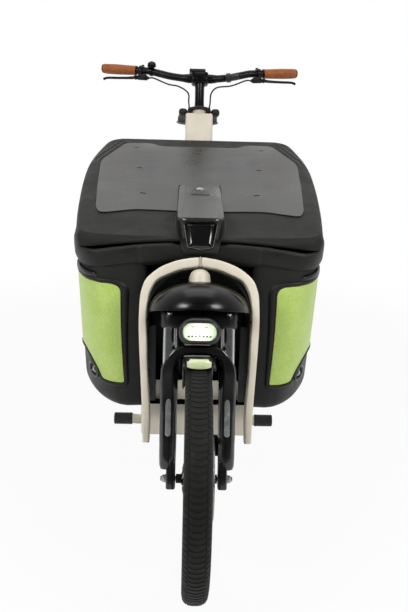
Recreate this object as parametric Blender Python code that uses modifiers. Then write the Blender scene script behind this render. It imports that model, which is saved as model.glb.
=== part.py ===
"""Front-loading delivery bike with a lidded cargo box, as an assembly of separate pieces.

Metres, +Z up. The bike faces -Y and +X is the rider's left. The origin is on the ground under the
middle of the bike. Places along the bike are written as "back", the distance behind the front axle.
"""

import math

import bmesh
import bpy
from mathutils import Matrix, Vector

# Driving dimensions: wheels
FRONT_RADIUS = 0.258
REAR_RADIUS = 0.3345
TYRE_WIDTH = 0.057
WHEELBASE = 2.06
FRONT_HUB_HALF = 0.0455
REAR_HUB_HALF = 0.0660
HUB_END_RADIUS = 0.010
AXLE_RADIUS = 0.0052
NUT_RADIUS = 0.0095
FRONT_ROTOR_RADIUS = 0.090
REAR_ROTOR_RADIUS = 0.080
ROTOR_THICKNESS = 0.0018
FRONT_ROTOR_AT = 0.0365
REAR_ROTOR_AT = 0.0450

# Driving dimensions: fork and head
HEAD_ANGLE = math.radians(70.0)
FORK_OFFSET = 0.040
FORK_TRAVEL = 0.030
LEG_TOP = 0.238
STANCHION_RADIUS = 0.0160
STANCHION_FOOT = 0.135
STEERER_RADIUS = 0.0143
STEERER_TOP = 0.438
CROWN_START = 0.328
CROWN_TOP = 0.355
CROWN_FRONT = -0.054
HEAD_TUBE_RADIUS = 0.0275
HEAD_TUBE_TOP = 0.445
FORK_PULLEY_RADIUS = 0.074
FORK_PULLEY_WIDTH = 0.016
HOOP_DEPTH = 0.045
HOOP_APEX = 0.4600

# Driving dimensions: frame
BEAM_WIDTH = 0.096
BEAM_HEIGHT = 0.080
BEAM_MIDDLE = 0.265
BEAM_END = 1.088
CROSSMEMBER_HALF = 0.140
COLUMN_WIDTH = 0.093
COLUMN_DEPTH = 0.060
COLUMN_FOOT_BACK = 0.97927
COLUMN_FOOT_HEIGHT = 0.3648
COLUMN_TOP_HEIGHT = 0.985
COLUMN_NECK = 0.016
SHAFT_RADIUS = 0.0120
CRANK_HEIGHT = 0.290
CRANK_AXLE_RADIUS = 0.0120
MOTOR_REACH = 0.075
MOTOR_HALF = 0.042
MOTOR_TOP = 0.372
SEAT_TUBE_START = 0.0585
SEAT_TUBE_LENGTH = 0.435
SEAT_TUBE_WALL = 0.004
STAY_THICKNESS = 0.0075
POST_RADIUS = 0.015
POST_FOOT = 0.340
POST_TOP = 0.655
STAND_BACK = 0.840
STAND_HEIGHT = 0.205
STAND_FOOT_BACK = 0.812
STAND_FOOT_HALF = 0.265
STAND_TUBE_RADIUS = 0.016
STAND_PIVOT_RADIUS = 0.0120
STAND_SLEEVE_RADIUS = 0.0195
CABLE_RADIUS = 0.0040

# Driving dimensions: cargo box
TUB_BOTTOM = 0.310
TUB_FRONT = 0.255
TUB_REAR = 1.050
TUB_WALL = 0.004
RECESS_HALF = 0.125
RECESS_BACK = 0.402
LINER_WALL = 0.003
RIM_LEVEL = 0.649
RIM_SLOPE = 0.205
RIM_ARCH = 0.012
FLANGE = 0.009
LID_HALF = 0.333
LID_HEIGHT = 0.045
LID_WALL = 0.004
LID_GAP = 0.0015
HINGE_HALF = 0.166
HINGE_WIDTH = 0.018
HINGE_RADIUS = 0.006
NOSE_HALF = 0.055
NOSE_REAR = 0.600
LOCK_BACK = 0.550
LOCK_RADIUS = 0.0095
PANEL_THICKNESS = 0.003

# Driving dimensions: rider's contact points and drive
BAR_SETBACK = 0.040
BAR_RISE = 0.123
BAR_RADIUS = 0.0125
BAR_HALF = 0.345
GRIP_LENGTH = 0.122
GRIP_WALL = 0.004
CLAMP_HEIGHT = 0.040
POST_OUTSIDE = 0.0165
CONTROL_REACH = 0.031
LEVER_ROOT = 0.0065
SADDLE_LENGTH = 0.285
SADDLE_HALF = 0.088
SADDLE_RISE = 0.0605
CRANK_ARM = 0.170
PEDAL_AXLE_RADIUS = 0.0055
FRONT_SPROCKET = 0.066
REAR_SPROCKET = 0.040
SPROCKET_HALF = 0.003
BATTERY_SIZE = (0.086, 0.350, 0.088)
BATTERY_BACK = 1.300
DOCK_HEIGHT = 0.010

# Clearances
GAP = 0.0003
RUNNING = 0.0007
BAR_CLEARANCE = 0.0007
GUARD_GAP = 0.020
FRONT_GUARD_GAP = 0.0085
GUARD_WALL = 0.003
SEAT_TUBE_CLEARANCE = 0.1155
LEG_CLEARANCE = 0.0355

# Derived lengths
TYRE_HALF = TYRE_WIDTH / 2
REAR_GUARD_RADIUS = REAR_RADIUS + GUARD_GAP + GUARD_WALL
FRONT_GUARD_RADIUS = FRONT_RADIUS + FRONT_GUARD_GAP
FRONT_AXLE_Y = FRONT_RADIUS - (FRONT_RADIUS + WHEELBASE + REAR_GUARD_RADIUS) / 2
CRANK_BACK = WHEELBASE - REAR_GUARD_RADIUS - SEAT_TUBE_CLEARANCE
MOTOR_FRONT = CRANK_BACK - MOTOR_REACH
SEAT_TUBE_RADIUS = POST_RADIUS + SEAT_TUBE_WALL
STEER_BASE_BACK = FORK_OFFSET / math.sin(HEAD_ANGLE)
LEG_SPREAD = TYRE_HALF + LEG_CLEARANCE
LEG_SHIFT = FORK_OFFSET / math.tan(HEAD_ANGLE)
LEG_RADIUS = STANCHION_RADIUS + 0.0028
DROPOUT_OUTER = FRONT_HUB_HALF + 0.021
PULLEY_TOP = CROWN_TOP + GAP + FORK_PULLEY_WIDTH
ARCH_DEPTH = 0.022
ARCH_UNDER = math.sqrt((FRONT_GUARD_RADIUS + GAP) ** 2 - (ARCH_DEPTH / 2) ** 2)
TILT = HEAD_ANGLE - math.pi / 2
BEAM_TOP = BEAM_MIDDLE + BEAM_HEIGHT / 2
CABLE_SIDE = BEAM_WIDTH / 2 + CABLE_RADIUS + 2 * GAP
COLUMN_LENGTH = (COLUMN_TOP_HEIGHT - COLUMN_FOOT_HEIGHT) / math.sin(HEAD_ANGLE)
COLUMN_TOP_BACK = COLUMN_FOOT_BACK + COLUMN_LENGTH * math.cos(HEAD_ANGLE)
HANDLEBAR_PULLEY_AT = -COLUMN_LENGTH - 0.024
COLLAR_TOP = COLUMN_NECK + GAP + 0.006
BAR_BACK = COLUMN_TOP_BACK + BAR_SETBACK
BAR_HEIGHT = COLUMN_TOP_HEIGHT + BAR_RISE
BAR_CENTRE_RADIUS = BAR_RADIUS + 0.003
GRIP_RADIUS = BAR_RADIUS + GRIP_WALL
HINGE_BACK = TUB_REAR + 0.022
LID_REAR = TUB_REAR + 0.030
LID_SLOPE = math.atan(RIM_SLOPE)
LINER_APEX = RIM_LEVEL + 0.0235
NOSE_TOP = RIM_LEVEL + 0.141
CHAINLINE = TYRE_HALF + 0.0215
ARM_OUTER = CHAINLINE + 0.024
TAB_INNER = REAR_HUB_HALF - 0.0072
REAR_CALIPER = (REAR_ROTOR_AT + 0.0028, -0.060, 0.048)
CALIPER_ALONG = 0.052
WHEEL_STEPS = 36

for old in list(bpy.data.objects):
    bpy.data.objects.remove(old, do_unlink=True)
PARTS = bpy.data.collections.new("delivery_bike")
CUTTERS = bpy.data.collections.new("cutters")
bpy.context.scene.collection.children.link(PARTS)
bpy.context.scene.collection.children.link(CUTTERS)
CUTTERS.hide_render = True


def material(name, colour, roughness, metallic=0.0):
    made = bpy.data.materials.new(name)
    made.use_nodes = True
    shader = made.node_tree.nodes["Principled BSDF"]
    shader.inputs["Base Color"].default_value = (*colour, 1.0)
    shader.inputs["Roughness"].default_value = roughness
    shader.inputs["Metallic"].default_value = metallic
    made.diffuse_color = (*colour, 1.0)
    return made


CREAM = material("cream_paint", (0.69, 0.62, 0.49), 0.4)
BLACK = material("black_plastic", (0.02, 0.02, 0.02), 0.6)
GLOSS = material("gloss_black", (0.015, 0.015, 0.015), 0.15)
GREY = material("grey_gloss_panel", (0.16, 0.155, 0.14), 0.25)
LIME = material("lime_panel", (0.46, 0.66, 0.14), 0.55)
RUBBER = material("tyre_rubber", (0.03, 0.032, 0.025), 0.85)
STEEL = material("bright_steel", (0.55, 0.55, 0.55), 0.3, 1.0)
CHROME = material("chrome", (0.75, 0.75, 0.78), 0.08, 1.0)
ANODISED = material("black_anodised", (0.03, 0.03, 0.03), 0.4, 0.6)
LEATHER = material("brown_grip", (0.39, 0.12, 0.04), 0.6)
LENS = material("clear_lens", (0.85, 0.9, 0.85), 0.1)
RED = material("red_lens", (0.5, 0.02, 0.02), 0.2)


def at(x, back, height):
    return Vector((x, FRONT_AXLE_Y + back, height))


def empty(name, place, tilt=0.0):
    """A joint's frame, with its own X, Y and Z turned back by the tilt about X."""
    made = bpy.data.objects.new(name, None)
    made.matrix_basis = Matrix.Translation(place) @ Matrix.Rotation(tilt, 4, "X")
    bpy.context.scene.collection.objects.link(made)
    return made


ROOT = empty("frame_origin", Vector((0, 0, 0)))
STEER = empty("fork_axis", at(0, STEER_BASE_BACK, FRONT_RADIUS), TILT)
FRONT_AXLE = empty("front_axle_line", at(0, 0, FRONT_RADIUS))
REAR_AXLE = empty("rear_axle_line", at(0, WHEELBASE, REAR_RADIUS))
COLUMN = empty("handlebar_axis", at(0, COLUMN_TOP_BACK, COLUMN_TOP_HEIGHT), TILT)
CRANK = empty("crank_axis", at(0, CRANK_BACK, CRANK_HEIGHT))
SEAT = empty("seat_axis", at(0, CRANK_BACK, CRANK_HEIGHT), TILT)
STAND = empty("stand_pivot", at(0, STAND_BACK, STAND_HEIGHT))


def rim_height(x, back):
    """The tub's rim: a plane rising to the rear, arched a little across its front."""
    across = max(0.0, 1 - (x / 0.30) ** 2)
    forward = min(1.0, max(0.0, (0.45 - back) / 0.2))
    return RIM_LEVEL + RIM_SLOPE * back + RIM_ARCH * across * forward


def lid_height(back):
    return RIM_LEVEL + LID_HEIGHT + RIM_SLOPE * back


LID_HINGE = empty("lid_hinge_line", at(0, HINGE_BACK, rim_height(0, HINGE_BACK) - HINGE_RADIUS))
LOCK = empty("lock_axis", at(0, LOCK_BACK, lid_height(LOCK_BACK)), LID_SLOPE)


def finish(made, paint, parent=None, smooth=True):
    """Links a piece, paints it and hangs it on its empty, with its coordinates as they are there."""
    PARTS.objects.link(made)
    made.data.materials.append(paint)
    if parent is not None:
        made.parent = parent
    if smooth and made.type == "MESH":
        made.data.shade_smooth()
        made.data.set_sharp_from_angle(angle=math.radians(35))
    return made


def from_bmesh(name, work, paint, parent=None):
    bmesh.ops.recalc_face_normals(work, faces=work.faces)
    mesh = bpy.data.meshes.new(name)
    work.to_mesh(mesh)
    work.free()
    return finish(bpy.data.objects.new(name, mesh), paint, parent)


def block(name, size, centre, paint, parent=None, bevel=0.0, turn=None):
    work = bmesh.new()
    bmesh.ops.create_cube(work, size=1.0, matrix=Matrix.Diagonal((*size, 1.0)))
    made = from_bmesh(name, work, paint, parent)
    made.location = centre
    if turn is not None:
        made.rotation_euler = turn
    if bevel:
        edge = made.modifiers.new("edge", "BEVEL")
        edge.width = bevel
        edge.segments = 2
    return made


def strut(name, start, end, radius, paint, parent=None, sides=16, end_radius=None):
    """A round bar between two points."""
    start, end = Vector(start), Vector(end)
    work = bmesh.new()
    bmesh.ops.create_cone(
        work,
        cap_ends=True,
        segments=sides,
        radius1=radius,
        radius2=radius if end_radius is None else end_radius,
        depth=(end - start).length,
    )
    made = from_bmesh(name, work, paint, parent)
    made.location = (start + end) / 2
    made.rotation_mode = "QUATERNION"
    made.rotation_quaternion = (end - start).to_track_quat("Z", "Y")
    return made


def turned(name, profile, paint, parent=None, steps=24, axis=None, place=(0, 0, 0)):
    """A profile of (radius, along) turned about Z, or about the given direction."""
    ring = profile[0][0] > 0 and profile[-1][0] > 0
    count = len(profile)
    edges = [(i, i + 1) for i in range(count - 1)] + ([(count - 1, 0)] if ring else [])
    mesh = bpy.data.meshes.new(name)
    mesh.from_pydata([(radius, 0, along) for radius, along in profile], edges, [])
    made = finish(bpy.data.objects.new(name, mesh), paint, parent, smooth=False)
    spin = made.modifiers.new("turn", "SCREW")
    spin.axis = "Z"
    spin.steps = steps
    spin.render_steps = steps
    spin.use_merge_vertices = True
    spin.merge_threshold = 0.00001
    spin.use_smooth_shade = True
    made.location = place
    if axis is not None:
        made.rotation_mode = "QUATERNION"
        made.rotation_quaternion = Vector(axis).to_track_quat("Z", "Y")
    return made


def smooth_path(points, each):
    """Points along a Catmull-Rom curve through the given ones."""
    points = [Vector(p) for p in points]
    padded = [2 * points[0] - points[1], *points, 2 * points[-1] - points[-2]]
    found = []
    for a, b, c, d in zip(padded, padded[1:], padded[2:], padded[3:]):
        for step in range(each):
            t = step / each
            found.append(
                0.5
                * (
                    2 * b
                    + (c - a) * t
                    + (2 * a - 5 * b + 4 * c - d) * t**2
                    + (3 * b - a - 3 * c + d) * t**3
                )
            )
    return [*found, points[-1]]


def as_mesh(curve):
    """The curve's evaluated shape as a mesh object with its caps welded."""
    bpy.context.view_layer.update()
    graph = bpy.context.evaluated_depsgraph_get()
    mesh = bpy.data.meshes.new_from_object(curve.evaluated_get(graph))
    work = bmesh.new()
    work.from_mesh(mesh)
    bmesh.ops.remove_doubles(work, verts=work.verts, dist=0.00001)
    work.to_mesh(mesh)
    work.free()
    name, parent, place = curve.name, curve.parent, curve.matrix_world.copy()
    bpy.data.objects.remove(curve)
    made = bpy.data.objects.new(name, mesh)
    PARTS.objects.link(made)
    if parent is not None:
        made.parent = parent
        made.matrix_parent_inverse = parent.matrix_basis.inverted()
    made.matrix_basis = place
    made.data.shade_smooth()
    made.data.set_sharp_from_angle(angle=math.radians(35))
    return made


def tube(name, points, radius, paint, parent=None, resolution=2, each=4):
    """A round tube with capped ends along a smooth curve through the points."""
    curve = bpy.data.curves.new(name, "CURVE")
    curve.dimensions = "3D"
    curve.bevel_depth = radius
    curve.bevel_resolution = resolution
    curve.use_fill_caps = True
    path = smooth_path(points, each) if each > 1 else [Vector(p) for p in points]
    spline = curve.splines.new("POLY")
    spline.points.add(len(path) - 1)
    for point, place in zip(spline.points, path):
        point.co = (*place, 1.0)
    return finish(bpy.data.objects.new(name, curve), paint, parent)


def plate(name, outlines, thickness, paint, parent=None, place=(0, 0, 0), turn=(0, 0, 0)):
    """A flat piece: closed outlines in its own XY, the inner ones being holes."""
    curve = bpy.data.curves.new(name, "CURVE")
    curve.dimensions = "2D"
    curve.fill_mode = "BOTH"
    curve.extrude = thickness / 2
    for outline in outlines:
        spline = curve.splines.new("POLY")
        spline.points.add(len(outline) - 1)
        for point, (across, up) in zip(spline.points, outline):
            point.co = (across, up, 0.0, 1.0)
        spline.use_cyclic_u = True
    made = finish(bpy.data.objects.new(name, curve), paint, parent)
    made.location = place
    made.rotation_euler = turn
    return as_mesh(made)


def side_plate(name, outline, width, paint, x=0.0):
    """A piece with the given (back, height) outline, as wide as given across the bike."""
    shape = [(FRONT_AXLE_Y + back, height) for back, height in outline]
    return plate(
        name, [shape], width, paint, ROOT, (x, 0, 0), (math.pi / 2, 0, math.pi / 2)
    )


def loft(name, rings, paint, parent=None, closed=False):
    """Skins rings of the same number of points, with an end face at each open end."""
    work = bmesh.new()
    rows = [[work.verts.new(point) for point in ring] for ring in rings]
    pairs = list(zip(rows, rows[1:])) + ([(rows[-1], rows[0])] if closed else [])
    for row, following in pairs:
        for i in range(len(row)):
            j = (i + 1) % len(row)
            work.faces.new((row[i], row[j], following[j], following[i]))
    if not closed:
        work.faces.new(rows[0])
        work.faces.new(rows[-1])
    return from_bmesh(name, work, paint, parent)


def rounded_section(half_width, half_height, corner):
    """Eight points of a rectangle with its corners cut."""
    w, h = half_width, half_height
    return [
        (w, h - corner),
        (w - corner, h),
        (corner - w, h),
        (-w, h - corner),
        (-w, corner - h),
        (corner - w, -h),
        (w - corner, -h),
        (w, corner - h),
    ]


def bar_along(name, stations, paint, corner):
    """A bar in the bike's middle plane: stations of (back, height, half width, half depth)."""
    places = [Vector((0, back, height)) for back, height, _, _ in stations]
    rings = []
    for i, (back, height, half_width, half_depth) in enumerate(stations):
        ahead = places[min(i + 1, len(places) - 1)] - places[max(i - 1, 0)]
        across = Vector((0, -ahead.z, ahead.y)).normalized()
        ring = []
        for x, depth in rounded_section(half_width, half_depth, corner):
            ring.append(at(x, back, height) + across * depth)
        rings.append(ring)
    return loft(name, rings, paint, ROOT)


def helper(made):
    """Turns a piece into a helper that a Boolean uses."""
    for collection in list(made.users_collection):
        collection.objects.unlink(made)
    CUTTERS.objects.link(made)
    made.hide_render = True
    made.display_type = "WIRE"
    return made


def combine(target, others, operation):
    for other in others:
        step = target.modifiers.new(operation.lower(), "BOOLEAN")
        step.operation = operation
        step.solver = "EXACT"
        step.object = helper(other)
    return target


def join(target, *others):
    return combine(target, others, "UNION")


def cut(target, *others):
    return combine(target, others, "DIFFERENCE")


def arc(centre, radius, start, end, count):
    """Points on an arc, angles in degrees."""
    found = []
    for i in range(count):
        turn = math.radians(start + (end - start) * i / (count - 1))
        found.append(
            (centre[0] + radius * math.cos(turn), centre[1] + radius * math.sin(turn))
        )
    return found


def mirrored(half):
    """A closed outline from the half at +X, which runs from one end to the other."""
    return [*half, *((-x, y) for x, y in reversed(half) if abs(x) > 1e-6)]


def mix(low, high, share):
    return low + (high - low) * share


def head_tube():
    """Round head tube with a domed cap, bored from below for the steerer."""
    bottom, top, dome = PULLEY_TOP + GAP, HEAD_TUBE_TOP, 0.0142
    radius, bore = HEAD_TUBE_RADIUS, STEERER_RADIUS + 0.0012
    profile = [(0, top + dome), (radius * 0.55, top + dome * 0.72), (radius * 0.88, top + dome * 0.36)]
    profile += [(radius, top), (radius, bottom), (bore, bottom), (bore, top - 0.004), (0, top - 0.004)]
    turned("head_tube", profile, CREAM, STEER, 24)


def front_hoop():
    """Flat inverted-U bar in the plane of the steering axis, peaked over the head tube."""
    outer = [(0.1205, 0.066), (0.1225, 0.110), (0.125, 0.155), (0.1295, 0.220), (0.134, 0.290)]
    outer += [(0.1355, 0.335), (0.134, 0.380), (0.1295, 0.402), (0.1185, 0.425), (0.090, 0.445)]
    outer += [(0.068, 0.457), (0.045, 0.468), (0.022, 0.476), (0, HOOP_APEX + 0.021)]
    inner = [(0, HOOP_APEX), (0.020, 0.454), (0.045, 0.445), (0.070, 0.432), (0.0945, 0.4215)]
    inner += [(0.1085, 0.404), (0.116, 0.380), (0.1185, 0.335), (0.117, 0.290), (0.1135, 0.220)]
    inner += [(0.108, 0.155), (0.1055, 0.110), (0.106, 0.066)]
    end = arc((0.11325, 0.066), 0.00725, 180, 360, 5)[1:-1]
    half = [*end, *outer]
    left = [(-x, s) for x, s in reversed(half) if x > 0]
    right_inner = [(x, s) for x, s in inner]
    left_inner = [(-x, s) for x, s in reversed(inner) if x > 0]
    outline = [*half, *left, *left_inner, *right_inner]
    hoop = plate("front_hoop", [outline], HOOP_DEPTH, CREAM, STEER, turn=(math.pi / 2, 0, 0))
    edge = hoop.modifiers.new("edge", "BEVEL")
    edge.width = 0.003
    edge.segments = 1
    edge.angle_limit = math.radians(60)


def main_beam():
    """Gooseneck down behind the wheel and the beam under the tub, with its crossmembers."""
    neck_along, neck_behind = HEAD_TUBE_TOP - 0.019, 0.012
    neck_back = STEER_BASE_BACK + neck_along * math.cos(HEAD_ANGLE) + neck_behind * math.sin(HEAD_ANGLE)
    neck_height = FRONT_RADIUS + neck_along * math.sin(HEAD_ANGLE) - neck_behind * math.cos(HEAD_ANGLE)
    stations = [
        (neck_back, neck_height, 0.024, 0.022),
        (0.262, 0.618, 0.027, 0.026),
        (0.302, 0.560, 0.030, 0.028),
        (0.322, 0.480, 0.032, 0.028),
        (0.328, 0.400, 0.034, 0.028),
        (0.340, 0.335, 0.038, 0.028),
        (0.372, 0.286, 0.044, 0.029),
        (0.430, BEAM_MIDDLE + 0.001, BEAM_WIDTH / 2, 0.036),
        (0.500, BEAM_MIDDLE, BEAM_WIDTH / 2, BEAM_HEIGHT / 2),
        (BEAM_END, BEAM_MIDDLE, BEAM_WIDTH / 2, BEAM_HEIGHT / 2),
    ]
    beam = bar_along("main_beam", stations, CREAM, 0.009)
    top = TUB_BOTTOM - GAP
    front = block(
        "front_crossmember", (2 * CROSSMEMBER_HALF, 0.043, top - 0.212),
        at(0, 0.3235, (top + 0.212) / 2), CREAM, ROOT,
    )
    rear = block(
        "rear_crossmember", (0.40, 0.036, top - 0.281), at(0, 0.760, (top + 0.281) / 2), CREAM, ROOT,
    )
    lugs = []
    for side in (-1, 1):
        lug = [(STAND_BACK - 0.030, 0.240), (STAND_BACK + 0.030, 0.240)]
        lug += arc((STAND_BACK, STAND_HEIGHT), 0.022, 0, -180, 7)
        lugs.append(side_plate(f"stand_lug_{side}", lug, 0.008, CREAM, side * 0.040))
    join(beam, front, rear, *lugs)
    reach = 0.060
    pivot_hole = strut(
        "pivot_hole", (-reach, 0, 0), (reach, 0, 0), STAND_PIVOT_RADIUS + RUNNING, CREAM, STAND
    )
    face = HEAD_TUBE_RADIUS + GAP
    before = block("neck_trim", (0.12, 0.10, 0.12), (0, face - 0.05, 0.430), CREAM, STEER)
    cut(beam, pivot_hole, before)


def steering_column():
    """Rectangular column bored for the steering shaft, standing on the beam by its rear gusset."""
    column = block(
        "steering_column", (COLUMN_WIDTH, COLUMN_DEPTH, COLUMN_LENGTH),
        (0, 0, -COLUMN_LENGTH / 2), CREAM, COLUMN, 0.007,
    )
    neck = strut("column_neck", (0, 0, -0.010), (0, 0, COLUMN_NECK), 0.0225, CREAM, COLUMN, 20)
    foot = BEAM_TOP + GAP
    slope = 1 / math.tan(HEAD_ANGLE)
    rear = COLUMN_DEPTH / 2 / math.sin(HEAD_ANGLE)

    def behind(height, extra):
        return COLUMN_TOP_BACK - (COLUMN_TOP_HEIGHT - height) * slope + rear + extra

    outline = [(behind(foot, 0.030), foot), (behind(foot, 0.105), foot), (behind(0.42, 0.075), 0.42)]
    outline += [(behind(0.58, 0.004), 0.58), (behind(0.58, -0.012), 0.58), (behind(0.42, -0.012), 0.42)]
    outline += [(behind(0.385, -0.004), 0.385), (behind(0.370, 0.030), 0.370)]
    gusset = side_plate("column_gusset", outline, 0.066, CREAM)
    join(column, neck, gusset)
    bore = strut(
        "shaft_bore", (0, 0, -COLUMN_LENGTH - 0.05), (0, 0, 0.05), SHAFT_RADIUS + 0.001, CREAM, COLUMN, 20
    )
    cut(column, bore)


def rear_beam():
    """Beam from the column's foot to the motor, with the battery's dock on it."""
    stations = [
        (BEAM_END + GAP, BEAM_MIDDLE, BEAM_WIDTH / 2, BEAM_HEIGHT / 2),
        (MOTOR_FRONT - 0.112, BEAM_MIDDLE, BEAM_WIDTH / 2, BEAM_HEIGHT / 2),
        (MOTOR_FRONT - GAP, BEAM_MIDDLE, 0.040, BEAM_HEIGHT / 2),
    ]
    beam = bar_along("rear_beam", stations, CREAM, 0.009)
    sunk = 0.004
    dock = block(
        "battery_dock", (0.070, BATTERY_SIZE[1] - 0.020, DOCK_HEIGHT + sunk),
        at(0, BATTERY_BACK, BEAM_TOP + (DOCK_HEIGHT - sunk) / 2), BLACK, ROOT,
    )
    join(beam, dock)


def battery():
    """Battery pack that lifts off its dock."""
    middle = BEAM_TOP + DOCK_HEIGHT + GAP + BATTERY_SIZE[2] / 2
    block("battery_pack", BATTERY_SIZE, at(0, BATTERY_BACK, middle), BLACK, ROOT, 0.012)


def motor_unit():
    """Mid motor round the crank axle, bored for it."""
    outline = arc((CRANK_BACK, CRANK_HEIGHT), 0.074, 40, -120, 9)
    outline += [(MOTOR_FRONT, 0.226), (MOTOR_FRONT, 0.312), (MOTOR_FRONT + 0.023, 0.350)]
    outline += [(CRANK_BACK - 0.008, MOTOR_TOP), (CRANK_BACK + 0.044, MOTOR_TOP - 0.0065)]
    motor = side_plate("motor_unit", outline, 2 * MOTOR_HALF, BLACK)
    bore = strut("axle_bore", (-0.09, 0, 0), (0.09, 0, 0), CRANK_AXLE_RADIUS + RUNNING, BLACK, CRANK)
    socket = strut("tube_socket", (0, 0, 0.058), (0, 0, 0.150), SEAT_TUBE_RADIUS + GAP, BLACK, SEAT, 24)
    cut(motor, bore, socket)


def seat_tube():
    """Seat tube with its clamp collar, bored from above for the post."""
    bore = POST_RADIUS + 0.0005
    top = SEAT_TUBE_START + SEAT_TUBE_LENGTH
    collar = SEAT_TUBE_RADIUS + 0.0045
    profile = [(0, SEAT_TUBE_START + 0.012), (bore, SEAT_TUBE_START + 0.012), (bore, top + 0.004)]
    profile += [(collar, top + 0.004), (collar, top - 0.016), (SEAT_TUBE_RADIUS, top - 0.016)]
    profile += [(SEAT_TUBE_RADIUS, SEAT_TUBE_START), (0, SEAT_TUBE_START)]
    turned("seat_tube", profile, CREAM, SEAT, 24)


def rear_stays():
    """On each side a chainstay, a seatstay and the dropout that takes the rear axle."""
    stay_top = (CRANK_BACK + 0.113, CRANK_HEIGHT + 0.314)
    stay_foot = (WHEELBASE - 0.015, REAR_RADIUS + 0.0135)
    for name, side in (("rear_stays_left", 1), ("rear_stays_right", -1)):
        lower = []
        for x, behind, share in (
            (TYRE_HALF + 0.006, 0.0765, 0.0), (TYRE_HALF + 0.008, 0.113, 0.02),
            (TYRE_HALF + 0.016, 0.168, 0.13), (TYRE_HALF + 0.0275, 0.273, 0.49),
            (REAR_HUB_HALF + 0.0015, 0.383, 0.81), (REAR_HUB_HALF + 0.0040, 0.458, 0.966),
        ):
            lower.append(at(side * x, CRANK_BACK + behind, mix(CRANK_HEIGHT, REAR_RADIUS, share)))
        upper = []
        for x, share, fall in (
            (0.004, 0.0, 0.0), (TYRE_HALF - 0.0025, 0.046, 0.023), (TYRE_HALF + 0.0175, 0.203, 0.172),
            (TYRE_HALF + 0.0315, 0.522, 0.504), (REAR_HUB_HALF + 0.0040, 1.0, 1.0),
        ):
            back, height = mix(stay_top[0], stay_foot[0], share), mix(stay_top[1], stay_foot[1], fall)
            upper.append(at(side * x, back, height))
        whole = as_mesh(tube(name, lower, 0.0100, CREAM, ROOT, 2, 3))
        seatstay = as_mesh(tube(f"{name}_upper", upper, 0.0085, CREAM, ROOT, 2, 3))
        middle = REAR_HUB_HALF + GAP + STAY_THICKNESS / 2
        outline = arc((WHEELBASE, REAR_RADIUS), 0.019, -110, 90, 7)
        outline += [(WHEELBASE - 0.040, REAR_RADIUS + 0.028), (WHEELBASE - 0.040, REAR_RADIUS - 0.016)]
        dropout = side_plate(f"{name}_dropout", outline, STAY_THICKNESS, CREAM, side * middle)
        pieces = [seatstay, dropout]
        if side > 0:
            tab_size = (middle - TAB_INNER, 0.024, 0.040)
            tab_place = ((middle + TAB_INNER) / 2, REAR_CALIPER[1] + 0.004, REAR_CALIPER[2] - 0.006)
            pieces.append(block("rear_caliper_tab", tab_size, tab_place, CREAM, REAR_AXLE))
        join(whole, *pieces)
        hole = strut(
            f"{name}_hole", (side * (middle - 0.02), 0, 0), (side * (middle + 0.02), 0, 0),
            AXLE_RADIUS + 0.0004, CREAM, REAR_AXLE, 16,
        )
        clear = strut(
            f"{name}_clear", (0, 0, 0.20), (0, 0, 0.40), SEAT_TUBE_RADIUS + GAP, CREAM, SEAT, 24
        )
        cut(whole, hole, clear)


def wheel(prefix, radius, hub_half, parent, spokes):
    """Tyre, and rim with its hub and spokes; both turn about the X axis of their parent."""
    half = TYRE_HALF
    rim_edge = radius - 0.047
    outer = [(0.0, radius), (half - 0.0165, radius - 0.001), (half - 0.0065, radius - 0.009)]
    outer += [(half, radius - 0.024), (half - 0.003, radius - 0.038), (half - 0.012, rim_edge)]
    profile = [(r, x) for x, r in reversed(outer)] + [(r, -x) for x, r in outer[1:]]
    turned(f"{prefix}_tyre", profile, RUBBER, parent, WHEEL_STEPS, (1, 0, 0))

    bead, well, rim_half = rim_edge - GAP, radius - 0.066, half - 0.0145
    rim_profile = [(bead, rim_half), (bead, -rim_half), (well + 0.004, 0.001 - rim_half), (well, -0.006)]
    rim_profile += [(well, 0.006), (well + 0.004, rim_half - 0.001)]
    rim = turned(f"{prefix}_rim", rim_profile, ANODISED, parent, WHEEL_STEPS, (1, 0, 0))
    flange_at, flange_radius, bore = 0.028, 0.024, AXLE_RADIUS + 0.0008
    hub_end = hub_half - GAP
    hub_profile = [(bore, hub_end), (HUB_END_RADIUS, hub_end), (HUB_END_RADIUS, flange_at + 0.003)]
    hub_profile += [(flange_radius, flange_at + 0.002), (flange_radius, flange_at - 0.002)]
    hub_profile += [(0.014, flange_at - 0.004)]
    hub_profile += [(r, -x) for r, x in reversed(hub_profile[1:])] + [(bore, -hub_end)]
    hub = turned(f"{prefix}_hub", hub_profile, ANODISED, parent, 16, (1, 0, 0))
    pieces = [hub]
    for i in range(spokes):
        turn = 2 * math.pi * (i + 0.5) / spokes
        side = 1 if i % 2 else -1
        out = Vector((0, math.cos(turn), math.sin(turn)))
        start = out * (flange_radius - 0.006) + Vector((side * flange_at, 0, 0))
        end = out * (well + 0.003) + Vector((side * 0.002, 0, 0))
        pieces.append(strut(f"{prefix}_spoke_{i}", start, end, 0.0015, STEEL, parent, 4))
    join(rim, *pieces)


def rotor(name, radius, side_at, parent):
    """Brake disc with six windows between its spider arms."""
    outline = arc((0, 0), radius, 0, 360, 37)[:-1]
    holes = [arc((0, 0), HUB_END_RADIUS + 0.0008, 0, 360, 25)[:-1]]
    for i in range(6):
        start = 60 * i + 9
        holes.append(
            [*arc((0, 0), radius - 0.014, start, start + 42, 6), *arc((0, 0), 0.028, start + 42, start, 4)]
        )
    plate(
        name, [outline, *holes], ROTOR_THICKNESS, STEEL, parent,
        (side_at, 0, 0), (math.pi / 2, 0, math.pi / 2),
    )


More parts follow.
